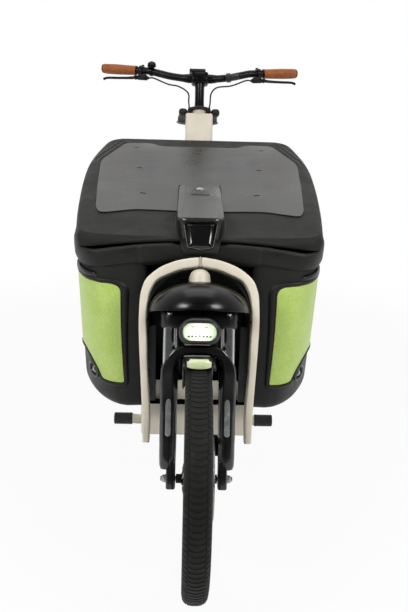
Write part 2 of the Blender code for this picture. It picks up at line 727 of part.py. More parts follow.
def guard(name, parent, radius, start, end, count, half_width, skirt):
    """A mudguard: a U-shaped section swept round the wheel, angles from the rear, in degrees."""
    wall = GUARD_WALL
    section = [
        (half_width, -skirt),
        (half_width, -wall * 1.5),
        (half_width - 0.007, 0.0),
        (0.007 - half_width, 0.0),
        (-half_width, -wall * 1.5),
        (-half_width, -skirt),
        (wall - half_width, -skirt),
        (wall - half_width, -wall * 2.2),
        (0.009 - half_width, -wall),
        (half_width - 0.009, -wall),
        (half_width - wall, -wall * 2.2),
        (half_width - wall, -skirt),
    ]
    rings = []
    for i in range(count):
        turn = math.radians(start + (end - start) * i / (count - 1))
        ring = []
        for x, depth in section:
            reach = radius + depth
            ring.append((x, reach * math.cos(turn), reach * math.sin(turn)))
        rings.append(ring)
    return loft(name, rings, BLACK, parent)


def front_mudguard():
    """Short guard over the tyre with a thick rounded nose that faces forward."""
    half = TYRE_HALF + 0.0075
    shell = guard("front_mudguard", FRONT_AXLE, FRONT_GUARD_RADIUS, 27, 102, 9, half, 0.012)
    nose_at = (0, -0.030, FRONT_GUARD_RADIUS + 0.0035)
    nose = block("guard_nose", (2 * half + 0.006, 0.052, 0.020), nose_at, BLACK, FRONT_AXLE, 0.006)
    join(shell, nose)


def rear_mudguard():
    """Long guard over the rear tyre with a wire stay on each side."""
    half = TYRE_HALF + 0.0055
    shell = guard("rear_mudguard", REAR_AXLE, REAR_GUARD_RADIUS, -15, 165, 25, half, 0.014)
    stays = []
    for side in (-1, 1):
        foot = (side * (REAR_HUB_HALF + STAY_THICKNESS + 2 * GAP + 0.0034), 0.004, 0.014)
        turn = math.radians(28)
        reach = REAR_GUARD_RADIUS - 0.010
        head = (side * (half - 0.001), reach * math.cos(turn), reach * math.sin(turn))
        stays.append(strut(f"guard_stay_{side}", foot, head, 0.0025, BLACK, REAR_AXLE, 8))
    join(shell, *stays)


def rear_light():
    """Lamp on the flat of the rear mudguard that faces back and up."""
    turn, height = math.radians(41.25), 0.0225
    reach = REAR_GUARD_RADIUS * math.cos(math.radians(3.75)) + GAP + height / 2
    place = (0, reach * math.cos(turn), reach * math.sin(turn))
    block(
        "rear_light", (0.050, 0.036, height), place, RED, REAR_AXLE, 0.005, (turn - math.pi / 2, 0, 0)
    )


def axle_rod(name, parent, nut_start):
    """Axle with a nut at each end."""
    radius, nut_end = AXLE_RADIUS, nut_start + 0.008
    reach = nut_end + 0.0042
    profile = [(0, reach), (radius, reach), (radius, nut_end), (NUT_RADIUS, nut_end)]
    profile += [(NUT_RADIUS, nut_start), (radius, nut_start)]
    profile += [(r, -x) for r, x in reversed(profile)]
    return turned(name, profile, STEEL, parent, 12, (1, 0, 0))


def fork_leg_place(x, along, forward=0.0):
    """A place on a leg's line in the fork's frame, along being the distance from the front axle."""
    return (x, -FORK_OFFSET - forward, along - LEG_SHIFT)


def fork_crown():
    """Crown with the steerer and both stanchions pressed in."""
    low, high = CROWN_START - LEG_SHIFT, CROWN_TOP
    lobe = STANCHION_RADIUS + 0.0045
    half = [(0, CROWN_FRONT), (0.036, CROWN_FRONT)]
    half += [*arc((LEG_SPREAD, -FORK_OFFSET), lobe, -110, 60, 8), (0.026, 0.018), (0, 0.026)]
    crown = plate(
        "fork_crown", [mirrored(half)], high - low, BLACK, STEER, (0, 0, (high + low) / 2)
    )
    foot, tip = (0, 0, high - 0.010), (0, 0, STEERER_TOP)
    steerer = strut("steerer", foot, tip, STEERER_RADIUS, STEEL, STEER, 20)
    legs = []
    for side in (-1, 1):
        start = fork_leg_place(side * LEG_SPREAD, STANCHION_FOOT)
        end = fork_leg_place(side * LEG_SPREAD, CROWN_START + 0.012)
        legs.append(strut(f"stanchion_{side}", start, end, STANCHION_RADIUS, CHROME, STEER, 20))
    join(crown, steerer, *legs)


def fork_pulley():
    """Grooved pulley on the crown that the steering cables turn."""
    low = CROWN_TOP + GAP
    high = PULLEY_TOP
    bore, edge = STEERER_RADIUS + RUNNING, FORK_PULLEY_RADIUS
    groove = edge - 0.008
    profile = [(bore, high), (edge, high), (edge, high - 0.004), (groove, (low + high) / 2)]
    profile += [(edge, low + 0.004), (edge, low), (bore, low)]
    turned("fork_pulley", profile, ANODISED, STEER, 28)


def fork_lowers():
    """Lower legs with the arch in front of the stanchions, the dropouts and the caliper's tab."""
    inner = FRONT_HUB_HALF + GAP
    legs, dropouts, bores = [], [], []
    for side in (-1, 1):
        start = fork_leg_place(side * LEG_SPREAD, 0.022)
        end = fork_leg_place(side * LEG_SPREAD, LEG_TOP)
        name = "fork_lowers" if side < 0 else "leg_left"
        legs.append(strut(name, start, end, LEG_RADIUS, GLOSS, STEER, 20))
        place = fork_leg_place(side * (DROPOUT_OUTER + inner) / 2, 0.010)
        dropouts.append(block(f"dropout_{side}", (DROPOUT_OUTER - inner, 0.030, 0.060), place, GLOSS, STEER))
        low = fork_leg_place(side * LEG_SPREAD, STANCHION_FOOT - FORK_TRAVEL - 0.003)
        high = fork_leg_place(side * LEG_SPREAD, CROWN_TOP)
        bores.append(strut(f"leg_bore_{side}", low, high, STANCHION_RADIUS + RUNNING, GLOSS, STEER, 20))
    arch_top, arch_low, inside = FRONT_GUARD_RADIUS + 0.024, FRONT_GUARD_RADIUS - 0.0515, LEG_SPREAD - 0.0175
    half = [(0, arch_top), (0.046, arch_top), (0.063, arch_top - 0.0075), (0.080, arch_top - 0.0355)]
    half += [(LEG_SPREAD + 0.0182, arch_low), (inside, arch_low), (inside, ARCH_UNDER - 0.0143)]
    half += [(TYRE_HALF + 0.0095, ARCH_UNDER), (0, ARCH_UNDER)]
    arch = plate(
        "fork_arch", [mirrored(half)], ARCH_DEPTH, GLOSS, STEER,
        fork_leg_place(0, 0, ARCH_DEPTH), (math.pi / 2, 0, 0),
    )
    tab = block("caliper_tab", (0.0065, 0.032, 0.046), (0.0500, -0.017, CALIPER_ALONG), GLOSS, STEER)
    join(legs[0], legs[1], *dropouts, arch, tab)
    left, right = (-0.1, 0, 0), (0.1, 0, 0)
    axle_bore = strut("front_axle_bore", left, right, AXLE_RADIUS + 0.0006, GLOSS, FRONT_AXLE, 16)
    cut(legs[0], *bores, axle_bore)


def front_caliper():
    """Caliper over the rear edge of the disc, carried by the tab on the left leg."""
    size, place = (0.0235, 0.030, 0.046), (FRONT_ROTOR_AT + 0.0015, 0.0145, CALIPER_ALONG)
    body = block("front_brake_caliper", size, place, ANODISED, STEER, 0.003)
    cut(body, disc_slot("disc_slot", FRONT_ROTOR_AT, FRONT_ROTOR_RADIUS, FRONT_AXLE))


def disc_slot(name, middle, radius, parent):
    half = ROTOR_THICKNESS / 2 + 0.0012
    return strut(
        name, (middle - half, 0, 0), (middle + half, 0, 0), radius + 0.0015, ANODISED, parent, 40
    )


def rear_caliper():
    """Rear caliper between the left stays, over the disc."""
    width = 2 * (TAB_INNER - GAP - REAR_CALIPER[0])
    body = block("rear_brake_caliper", (width, 0.034, 0.044), REAR_CALIPER, ANODISED, REAR_AXLE, 0.003)
    cut(body, disc_slot("rear_disc_slot", REAR_ROTOR_AT, REAR_ROTOR_RADIUS, REAR_AXLE))


def headlight():
    """Rounded housing on a bracket from the crown, and its oval lens."""
    along, front, depth, lens = 0.3090, -0.1290, 0.034, 0.004

    def oval(half_width, half_height):
        straight = half_width - half_height
        right = arc((straight, 0), half_height, -90, 90, 8)
        return [*right, *((-x, y) for x, y in reversed(right))]

    facing = (math.pi / 2, 0, 0)
    place = (0, front + depth / 2, along)
    housing = plate("headlight_housing", [oval(0.0415, 0.0235)], depth, BLACK, STEER, place, facing)
    edge = housing.modifiers.new("edge", "BEVEL")
    edge.width = 0.004
    edge.segments = 2
    edge.limit_method = "ANGLE"
    edge.angle_limit = math.radians(60)
    housing_rear = front + depth - 0.006
    bracket = block(
        "light_bracket", (0.024, CROWN_FRONT - GAP - housing_rear, 0.008),
        (0, (CROWN_FRONT - GAP + housing_rear) / 2, 0.3220), BLACK, STEER,
    )
    join(housing, bracket)
    place = (0, front - GAP - lens / 2, along)
    plate("headlight_lens", [oval(0.0345, 0.0175)], lens, LENS, STEER, place, facing)


def pulley_cover():
    """Glossy dome round the head tube, open at the back for the gooseneck and the cables."""
    hub = HEAD_TUBE_RADIUS + 0.0006
    outer = [(hub, 0.4180), (0.055, 0.4130), (0.078, 0.4020), (0.096, 0.3840), (0.108, 0.3530)]
    inner = [(0.1045, 0.3530), (0.093, 0.3815), (0.076, 0.3985), (0.054, 0.4095), (hub, 0.4145)]
    cover = turned("steering_pulley_cover", outer + inner, GLOSS, STEER, 28)
    edge = HEAD_TUBE_RADIUS - 2 * GAP
    cut(cover, block("cover_opening", (0.30, 0.10, 0.20), (0, edge + 0.05, 0.385), GLOSS, STEER))


def steering_cables():
    """Two cable housings from the stop behind the fork pulley to the one at the column's foot."""
    stop = block("steering_cables", (0.150, 0.010, 0.014), (0, 0.083, 0.3665), ANODISED, STEER)
    side_runs = []
    for side in (-1, 1):
        points = [(0.0690, 0.2440, 0.5760), (0.0680, 0.270, 0.558), (0.0600, 0.300, 0.515)]
        points += [(0.0480, 0.320, 0.450), (0.0430, 0.331, 0.380), (0.0440, 0.345, 0.330)]
        points += [(0.0490, 0.372, 0.286), (CABLE_SIDE, 0.440, BEAM_MIDDLE), (CABLE_SIDE, 0.650, BEAM_MIDDLE)]
        points += [(CABLE_SIDE, 0.860, BEAM_MIDDLE), (CABLE_SIDE, 0.900, 0.285)]
        points += [(CABLE_SIDE - 0.001, 0.935, 0.342)]
        run = tube(
            f"cable_{side}", [at(side * x, back, height) for x, back, height in points],
            CABLE_RADIUS, BLACK, ROOT, 1, 3,
        )
        side_runs.append(as_mesh(run))
    join(stop, *side_runs)


def handlebar_pulley():
    """Grooved pulley at the foot of the steering shaft, where the cables start."""
    bore, edge, half = SHAFT_RADIUS + GAP, 0.045, 0.007
    profile = [(bore, half), (edge, half), (edge - 0.005, 0), (edge, -half), (bore, -half)]
    turned("handlebar_pulley", profile, ANODISED, COLUMN, 28, place=(0, 0, HANDLEBAR_PULLEY_AT))


def tub_half_plan(share, outset=0.0):
    """Half of the tub's outline at a height share, from the recess at the front to the rear."""
    front = TUB_FRONT
    corner = mix(0.176, 0.232, share)
    side_x, side_back = mix(0.309, 0.304, share), mix(0.540, 0.400, share)
    power = mix(1.20, 1.0, share)
    bulge_x, bulge_back = mix(0.308, 0.317, share), mix(0.660, 0.760, share)
    tail_x, tail_back = mix(0.290, 0.303, share), mix(0.800, TUB_REAR - 0.070, share)
    rear, rear_x = mix(0.860, TUB_REAR, share), mix(0.235, 0.252, share)
    half = [(0.0, RECESS_BACK), (RECESS_HALF - 0.010, RECESS_BACK), (RECESS_HALF, RECESS_BACK - 0.010)]
    half += [(RECESS_HALF, front + 0.009), (RECESS_HALF + 0.003, front + 0.002), (RECESS_HALF + 0.010, front)]
    steps = 7
    for i in range(steps + 1):
        turn = math.pi / 2 * i / steps
        half.append(
            (
                mix(corner, side_x, math.sin(turn) ** power),
                mix(side_back, front, math.cos(turn) ** power),
            )
        )
    half.append((mix(side_x, bulge_x, 0.8), mix(side_back, bulge_back, 0.5)))
    half.append((bulge_x, bulge_back))
    half.append((mix(bulge_x, tail_x, 0.3), mix(bulge_back, tail_back, 0.5)))
    steps = 4
    for i in range(steps + 1):
        turn = math.pi / 2 * i / steps
        half.append((mix(rear_x, tail_x, math.cos(turn)), mix(tail_back, rear, math.sin(turn))))
    half.append((0.0, rear))
    if not outset:
        return half
    moved = []
    for i, (x, back) in enumerate(half):
        if i < 6:
            moved.append((x, back - outset if i > 3 else back))
            continue
        before, after = half[max(i - 1, 0)], half[min(i + 1, len(half) - 1)]
        along = Vector((after[0] - before[0], after[1] - before[1])).normalized()
        if x == 0.0:
            along = Vector((-1.0, 0.0))
        moved.append((x + along.y * outset, back - along.x * outset))
    return moved


def tub_ring(share, outset=0.0, rise=0.0):
    """A closed ring of points round the tub at a height share between its floor and its rim."""
    ring = []
    for x, back in mirrored(tub_half_plan(share, outset)):
        height = mix(TUB_BOTTOM, rim_height(x, back), share) + rise
        ring.append(at(x, back, height))
    return ring


def box_tub():
    """Moulded tub with a wheel recess in its front, a flat floor pad, a rim flange and two knuckles."""
    rings = [tub_ring(0.0, -0.010), tub_ring(0.0, -0.002, 0.005)]
    rings += [tub_ring(share) for share in (0.03, 0.30, 0.60, 0.895)]
    rings += [tub_ring(0.905, FLANGE), tub_ring(1.0, FLANGE)]
    work = bmesh.new()
    rows = [[work.verts.new(point) for point in ring] for ring in rings]
    for row, following in zip(rows, rows[1:]):
        for i in range(len(row)):
            j = (i + 1) % len(row)
            work.faces.new((row[i], row[j], following[j], following[i]))
    work.faces.new(rows[0])
    tub = from_bmesh("box_tub", work, BLACK, ROOT)
    wall = tub.modifiers.new("wall", "SOLIDIFY")
    wall.thickness = TUB_WALL
    wall.offset = -1
    knuckles = []
    root = TUB_REAR - 0.004
    axis_height = rim_height(0, HINGE_BACK) - HINGE_RADIUS
    for side in (-1, 1):
        outline = [(root, axis_height - 0.070), *arc((HINGE_BACK, axis_height), HINGE_RADIUS, -90, 150, 7)]
        outline += [(root, axis_height - 0.012)]
        knuckles.append(side_plate(f"knuckle_{side}", outline, HINGE_WIDTH - 0.004, BLACK, side * HINGE_HALF))
    lip_front, lip_rear = TUB_FRONT - FLANGE + 0.0005, TUB_FRONT + 0.007
    low, high = RIM_LEVEL + 0.025, RIM_LEVEL + 0.0595
    lip = [(lip_front, low), (lip_rear, low), (lip_rear, high), (lip_front, high)]
    bridge = side_plate("front_lip", lip, 2 * (RECESS_HALF + 0.003), BLACK)
    pad_top, pad_front, pad_rear = TUB_BOTTOM + TUB_WALL + 0.001, RECESS_BACK + 0.038, 0.800
    pad_place = at(0, (pad_front + pad_rear) / 2, pad_top - TUB_WALL / 2)
    pad = block("floor_pad", (0.400, pad_rear - pad_front, TUB_WALL), pad_place, BLACK, ROOT)
    join(tub, bridge, pad, *knuckles)


def surface_patch(name, share_low, share_high, first, last, thickness, paint, side):
    """A thin panel that follows the tub's outside between two points of its half outline."""
    gap = GAP + 0.0006
    rows = 4

    def grid(offset):
        points = []
        for i in range(first, last + 1):
            fall = (i - first) / (last - first)
            low = share_low + 0.06 * fall
            for k in range(rows):
                share = mix(low, share_high, k / (rows - 1))
                x, back = tub_half_plan(share, offset)[i]
                if i == first:
                    x = mix(0.168, 0.182, share)
                height = mix(TUB_BOTTOM, rim_height(x, back), share)
                points.append(at(side * x, back, height))
        return points

    work = bmesh.new()
    inner = [work.verts.new(p) for p in grid(gap)]
    outer = [work.verts.new(p) for p in grid(gap + thickness)]
    columns = last - first + 1

    def quad(a, b, c, d):
        work.faces.new((a, b, c, d))

    for layer in (inner, outer):
        for i in range(columns - 1):
            for k in range(rows - 1):
                a = i * rows + k
                quad(layer[a], layer[a + rows], layer[a + rows + 1], layer[a + 1])
    for i in range(columns - 1):
        for k in (0, rows - 1):
            a = i * rows + k
            quad(inner[a], inner[a + rows], outer[a + rows], outer[a])
    for i in (0, columns - 1):
        for k in range(rows - 1):
            a = i * rows + k
            quad(inner[a], inner[a + 1], outer[a + 1], outer[a])
    return from_bmesh(name, work, paint, ROOT)


def side_panels():
    """Coloured panels inset on the tub's front corners."""
    for name, side in (("side_panel_left", 1), ("side_panel_right", -1)):
        surface_patch(name, 0.17, 0.80, 5, 13, PANEL_THICKNESS, LIME, side)


def wheel_arch_liner():
    """Thin arch that lines the tub's recess behind the hoop."""
    outside, wall = RECESS_HALF - GAP, LINER_WALL
    low, spring, apex = TUB_BOTTOM + 0.0005, 0.560, LINER_APEX
    outer = [(outside, low)]
    inner = [(outside - wall, low)]
    for i in range(9):
        turn = math.pi / 2 * i / 8
        outer.append((outside * math.cos(turn), mix(spring, apex, math.sin(turn))))
        inner.append(((outside - wall) * math.cos(turn), mix(spring, apex - wall, math.sin(turn))))
    outer[-1] = (0.0, apex)
    inner[-1] = (0.0, apex - wall)
    left_outer = [(-x, z) for x, z in reversed(outer) if x > 0]
    left_inner = [(-x, z) for x, z in reversed(inner) if x > 0]
    outline = [*outer, *left_outer, *reversed(left_inner), *reversed(inner)]
    front, rear = TUB_FRONT - 0.029, RECESS_BACK - 0.012
    liner = plate(
        "wheel_arch_liner", [outline], rear - front, BLACK, ROOT,
        at(0, (front + rear) / 2, 0), (math.pi / 2, 0, 0),
    )
    lips = []
    lip_low, lip_high = low + 0.025, 0.530
    for side in (-1, 1):
        centre = at(side * (outside - 0.0125), 0.243, (lip_low + lip_high) / 2)
        lips.append(block(f"liner_lip_{side}", (0.023, 0.006, lip_high - lip_low), centre, BLACK, ROOT))
    join(liner, *lips)


def lid_half_plan(inset=0.0):
    """Half of the lid's outline, widest behind its middle and narrowing to the hinges."""
    wide, rear = LID_HALF, LID_REAR
    half = [(0.0, 0.256), (0.070, 0.257), (0.140, 0.259), (0.205, 0.262), (0.258, 0.268), (0.284, 0.280)]
    half += [(0.296, 0.300), (0.302, 0.345), (wide - 0.019, 0.450), (wide - 0.007, 0.600)]
    half += [(wide - 0.001, 0.720), (wide, 0.800), (wide - 0.005, 0.880), (wide - 0.016, rear - 0.120)]
    half += [(0.305, rear - 0.050), (0.294, rear - 0.020), (0.276, rear - 0.006), (0.256, rear), (0.0, rear)]
    if not inset:
        return half
    front = half[0][1]
    middle, reach = (LID_REAR + front) / 2, (LID_REAR - front) / 2
    narrow, shorten = 1 - inset / LID_HALF, 1 - inset / reach
    return [(x * narrow, middle + (back - middle) * shorten) for x, back in half]


def lid_shell():
    """Hollow lid with a rolled edge, the lock's nose in front and notches for the hinges."""
    levels = [(0.0, None), (0.0, 0.020), (0.004, 0.034), (0.016, LID_HEIGHT)]
    rings = []
    for inset, above in levels:
        ring = []
        for x, back in mirrored(lid_half_plan(inset)):
            low = rim_height(x, back) + LID_GAP
            height = low if above is None else max(RIM_LEVEL + RIM_SLOPE * back + above, low + 0.008)
            ring.append(at(x, back, height))
        rings.append(ring)
    work = bmesh.new()
    rows = [[work.verts.new(point) for point in ring] for ring in rings]
    for row, following in zip(rows, rows[1:]):
        for i in range(len(row)):
            j = (i + 1) % len(row)
            work.faces.new((row[i], row[j], following[j], following[i]))
    work.faces.new(rows[-1])
    shell = from_bmesh("lid_shell", work, BLACK, ROOT)
    wall = shell.modifiers.new("wall", "SOLIDIFY")
    wall.thickness = LID_WALL
    wall.offset = -1
    nose_low = RIM_LEVEL + 0.073
    outline = [(NOSE_REAR, lid_height(NOSE_REAR) - 0.003), (0.262, NOSE_TOP), (0.250, NOSE_TOP - 0.014)]
    outline += [(0.250, nose_low), (0.284, nose_low), (NOSE_REAR, lid_height(NOSE_REAR) - 0.0125)]
    nose = side_plate("lock_nose", outline, 2 * NOSE_HALF, BLACK)
    join(shell, nose)
    cutters = [
        strut("lock_bore", (0, 0, -0.05), (0, 0, 0.05), LOCK_RADIUS + 0.0005, BLACK, LOCK, 20),
        block("finger_recess", (0.080, 0.020, 0.040), at(0, 0.250, nose_low + 0.016), BLACK, ROOT),
    ]
    for side in (-1, 1):
        place = at(side * HINGE_HALF, HINGE_BACK + 0.016, rim_height(0, HINGE_BACK) + 0.006)
        cutters.append(block(f"hinge_notch_{side}", (HINGE_WIDTH, 0.060, 0.12), place, BLACK, ROOT))
    cut(shell, *cutters)


def lid_panel():
    """Glossy panel inset in the lid, cut out round the nose and pierced by six slots."""
    centre_back = 0.70
    stretch = 1 / math.cos(LID_SLOPE)

    def flat(x, back):
        return (x, (back - centre_back) * stretch)

    half = [(0.060, NOSE_REAR + 0.012), (0.060, 0.409), (0.1655, 0.4145), (0.196, 0.400), (0.2466, 0.385)]
    half += [(0.262, 0.410), (0.280, 0.600), (0.294, 0.810), (0.233, LID_REAR - 0.082)]
    half += [(0.1555, LID_REAR - 0.0775), (0.119, LID_REAR - 0.111), (0.0, LID_REAR - 0.113)]
    outline = [flat(x, back) for x, back in half]
    outline += [flat(-x, back) for x, back in reversed(half) if x > 0]
    slots = []
    wide = 0.003
    for x, back in ((0.151, 0.530), (0.174, 0.745), (0.197, 0.947)):
        for side in (-1, 1):
            start, end = flat(side * (x - 0.005), back - 0.008), flat(side * (x + 0.005), back + 0.008)
            sides = ((start, -wide), (start, wide), (end, wide), (end, -wide))
            slots.append([(place[0] + shift, place[1]) for place, shift in sides])
    thickness = 0.0025
    lift = (GAP + thickness / 2) / math.cos(LID_SLOPE)
    plate(
        "lid_top_panel", [outline, *slots], thickness, GREY, ROOT,
        at(0, centre_back, lid_height(centre_back) + lift), (LID_SLOPE, 0, 0),
    )


def lock_cylinder():
    """Lock cylinder in the nose, with its cam below the lid."""
    barrel = strut("lock_cylinder", (0, 0, -0.030), (0, 0, 0.0085), LOCK_RADIUS, CHROME, LOCK, 20)
    cam = block("lock_cam", (0.012, 0.034, 0.003), (0, -0.011, -0.0275), CHROME, LOCK)
    join(barrel, cam)


def crankset():
    """Axle through the motor with both arms, and the front sprocket on the right arm."""
    reach = ARM_OUTER + 0.002
    axle = strut("crankset", (-reach, 0, 0), (reach, 0, 0), CRANK_AXLE_RADIUS, STEEL, CRANK, 16)
    pieces = []
    for side in (-1, 1):
        rings = []
        for x, slim in ((ARM_OUTER - 0.013, 0.0), (ARM_OUTER, 0.003)):
            root = arc((0, 0), CRANK_AXLE_RADIUS + 0.007 - slim, 95, 265, 7)
            tip = arc((CRANK_ARM, 0), PEDAL_AXLE_RADIUS + 0.008 - slim, -85, 85, 7)
            rings.append([(side * x, side * along, up) for along, up in root + tip])
        pieces.append(loft(f"crank_arm_{side}", rings, ANODISED, CRANK))
    inside, half = CRANK_AXLE_RADIUS - 0.002, SPROCKET_HALF
    ring_profile = [(inside, half), (FRONT_SPROCKET, half), (FRONT_SPROCKET, -half), (inside, -half)]
    place = (-CHAINLINE, 0, 0)
    pieces.append(turned("front_sprocket", ring_profile, ANODISED, CRANK, 40, (1, 0, 0), place))
    join(axle, *pieces)
    holes = []
    for side in (-1, 1):
        holes.append(
            strut(
                f"pedal_hole_{side}", (side * 0.03, side * CRANK_ARM, 0), (side * 0.12, side * CRANK_ARM, 0),
                PEDAL_AXLE_RADIUS + RUNNING, STEEL, CRANK, 12,
            )
        )
    cut(axle, *holes)


def pedals():
    """Platform pedals with their axles in the arms' ends."""
    for name, side in (("pedal_left", 1), ("pedal_right", -1)):
        hinge = empty(f"{name}_line", at(0, CRANK_BACK + side * CRANK_ARM, CRANK_HEIGHT))
        start = ARM_OUTER + 0.003
        body = block(name, (0.096, 0.088, 0.020), (side * (start + 0.052), 0, 0), BLACK, hinge, 0.004)
        inner_end, outer_end = (side * (start - 0.014), 0, 0), (side * (start + 0.03), 0, 0)
        axle = strut(f"{name}_axle", inner_end, outer_end, PEDAL_AXLE_RADIUS, STEEL, hinge, 12)
        join(body, axle)


def rear_sprocket():
    """Belt sprocket running on the hub's right end."""
    bore, half = HUB_END_RADIUS + RUNNING, SPROCKET_HALF
    profile = [(bore, half), (REAR_SPROCKET, half), (REAR_SPROCKET, -half), (bore, -half)]
    turned("rear_sprocket", profile, ANODISED, REAR_AXLE, 32, (1, 0, 0), (-CHAINLINE, 0, 0))


def drive_belt():
    """Belt round both sprockets, with its straight runs along their common tangents."""
    front, rear = Vector((CRANK_BACK, CRANK_HEIGHT)), Vector((WHEELBASE, REAR_RADIUS))
    along = math.degrees(math.atan2(rear.y - front.y, rear.x - front.x))

    def loop(offset):
        front_radius, rear_radius = FRONT_SPROCKET + offset, REAR_SPROCKET + offset
        lean = math.degrees(math.acos((front_radius - rear_radius) / (rear - front).length))
        first = arc(front, front_radius, along + lean, along + 360 - lean, 22)
        return first + arc(rear, rear_radius, along - lean, along + lean, 14)

    outlines = []
    for offset in (RUNNING + 0.004, RUNNING):
        outlines.append([(FRONT_AXLE_Y + back, height) for back, height in loop(offset)])
    plate("drive_belt", outlines, 0.010, RUBBER, ROOT, (-CHAINLINE, 0, 0), (math.pi / 2, 0, math.pi / 2))


def stem():
    """Steering shaft, post and bar clamp in one line down the column."""
    foot = (0, 0, HANDLEBAR_PULLEY_AT - 0.010)
    shaft = strut("stem", foot, (0, 0, 0.030), SHAFT_RADIUS, STEEL, COLUMN, 20)
    post_foot = (0, 0, COLLAR_TOP + GAP)
    post = strut("stem_post", post_foot, (0, 0, BAR_AT[2]), POST_OUTSIDE, BLACK, COLUMN, 20)
    size, place = (0.060, 0.046, CLAMP_HEIGHT), (0, BAR_AT[1] + 0.002, BAR_AT[2])
    clamp = block("bar_clamp", size, place, BLACK, COLUMN, 0.004)
    join(shaft, post, clamp)
    reach = 0.05
    left, right = (-reach, BAR_AT[1], BAR_AT[2]), (reach, BAR_AT[1], BAR_AT[2])
    bore = strut("bar_bore", left, right, BAR_CENTRE_RADIUS + GAP, BLACK, COLUMN, 20)
    cut(shaft, bore)


def display():
    """Small screen on the top of the bar clamp."""
    depth = 0.010
    place = (-0.0085, BAR_AT[1] + 0.002, BAR_AT[2] + (CLAMP_HEIGHT + depth) / 2 + GAP)
    block("display_unit", (0.056, 0.036, depth), place, GLOSS, COLUMN, 0.003)


BAR_AT = COLUMN.matrix_basis.inverted() @ at(0, BAR_BACK, BAR_HEIGHT)
GRIP_ROOT = BAR_HALF - GRIP_LENGTH
GRIP_START = at(GRIP_ROOT, BAR_BACK + 0.0395, BAR_HEIGHT + 0.0225)
GRIP_END = at(BAR_HALF, BAR_BACK + 0.0780, BAR_HEIGHT + 0.0270)
GRIP_ALONG = (GRIP_END - GRIP_START).normalized()
BAR_RUN = [at(0, BAR_BACK, BAR_HEIGHT), at(0.050, BAR_BACK, BAR_HEIGHT)]
BAR_RUN += [at(GRIP_ROOT * 0.448, BAR_BACK + 0.0080, BAR_HEIGHT + 0.0055)]
BAR_RUN += [at(GRIP_ROOT * 0.628, BAR_BACK + 0.0170, BAR_HEIGHT + 0.0135)]
BAR_RUN += [GRIP_START + GRIP_ALONG * share for share in (-0.052, -0.030, 0.0, GRIP_LENGTH - 0.006)]


def mirror_x(point, side):
    return Vector((side * point[0], point[1], point[2]))


def on_bar(x):
    """The bar's middle and direction at the given distance from the bike's middle."""
    path = smooth_path([mirror_x(p, -1) for p in reversed(BAR_RUN[1:])] + BAR_RUN, 3)
    for start, end in zip(path, path[1:]):
        if start.x <= x <= end.x:
            return start.lerp(end, (x - start.x) / (end.x - start.x)), (end - start).normalized()


def handlebar():
    """Riser bar, thicker where the stem holds it, straight under the grips."""
    points = [mirror_x(p, -1) for p in reversed(BAR_RUN[1:])] + BAR_RUN
    bar = as_mesh(tube("handlebar", points, BAR_RADIUS, ANODISED, ROOT, 2, 3))
    left, right = at(-0.040, BAR_BACK, BAR_HEIGHT), at(0.040, BAR_BACK, BAR_HEIGHT)
    centre = strut("bar_centre", left, right, BAR_CENTRE_RADIUS, ANODISED, ROOT, 20)
    join(bar, centre)


def grips():
    """Sleeves over the bar's straight ends."""
    for name, side in (("grip_left", 1), ("grip_right", -1)):
        start, end = mirror_x(GRIP_START, side), mirror_x(GRIP_END, side)
        length = (end - start).length
        bore = BAR_RADIUS + BAR_CLEARANCE
        profile = [(0, length), (GRIP_RADIUS - 0.002, length), (GRIP_RADIUS, length - 0.003)]
        profile += [(GRIP_RADIUS + 0.0005, length * 0.5), (GRIP_RADIUS - 0.0008, 0.004)]
        profile += [(GRIP_RADIUS - 0.0020, 0.0)]
        profile += [(bore, 0.0), (bore, length - 0.0035), (0, length - 0.0035)]
        turned(name, profile, LEATHER, ROOT, 20, end - start, start)


def brake_controls():
    """On each side a clamp with its reservoir on the bar, and the lever blade on its pivot."""
    for word, side in (("left", 1), ("right", -1)):
        ring_at = mirror_x(CONTROL_RING, side)
        direction = mirror_x(GRIP_ALONG, side)
        drop = mirror_x(CONTROL_DROP, side)
        bore, outside, half = BAR_RADIUS + BAR_CLEARANCE + GAP, BAR_RADIUS + 0.005, 0.007
        profile = [(bore, half), (outside, half), (outside, -half), (bore, -half)]
        ring = turned(f"brake_clamp_{word}", profile, ANODISED, ROOT, 20, direction, ring_at)
        neck_start = ring_at + drop * (outside - 0.002)
        neck = strut(f"clamp_neck_{word}", neck_start, ring_at + drop * 0.030, 0.0060, ANODISED, ROOT, 12)
        reservoir_start = ring_at + drop * CONTROL_REACH - direction * RESERVOIR_TAIL
        reservoir_end = ring_at + drop * CONTROL_REACH + direction * 0.006
        reservoir = strut(f"reservoir_{word}", reservoir_start, reservoir_end, 0.0090, ANODISED, ROOT, 14)
        join(ring, neck, reservoir)
        pivot = mirror_x(LEVER_PIVOT, side)
        axis = direction.cross(drop).normalized() * 0.0055
        blade_path = [pivot]
        for along, lowered in ((0.030, 0.005), (0.070, 0.008), (0.105, 0.010), (0.117, 0.018)):
            blade_path.append(pivot + direction * along + drop * lowered)
        root = strut(f"brake_lever_{word}", pivot - axis, pivot + axis, LEVER_ROOT, ANODISED, ROOT, 14)
        join(root, as_mesh(tube(f"blade_{word}", blade_path, 0.0046, ANODISED, ROOT, 1, 3)))


CONTROL_RING = GRIP_START - GRIP_ALONG * 0.020
CONTROL_DROP = (Vector((0.0126, -0.0245, -0.0288)) - GRIP_ALONG * 0.0040).normalized()
RESERVOIR_TAIL = 0.036
LEVER_PIVOT = CONTROL_RING + CONTROL_DROP * (CONTROL_REACH + 0.001)
LEVER_PIVOT += GRIP_ALONG * (0.0065 + LEVER_ROOT)


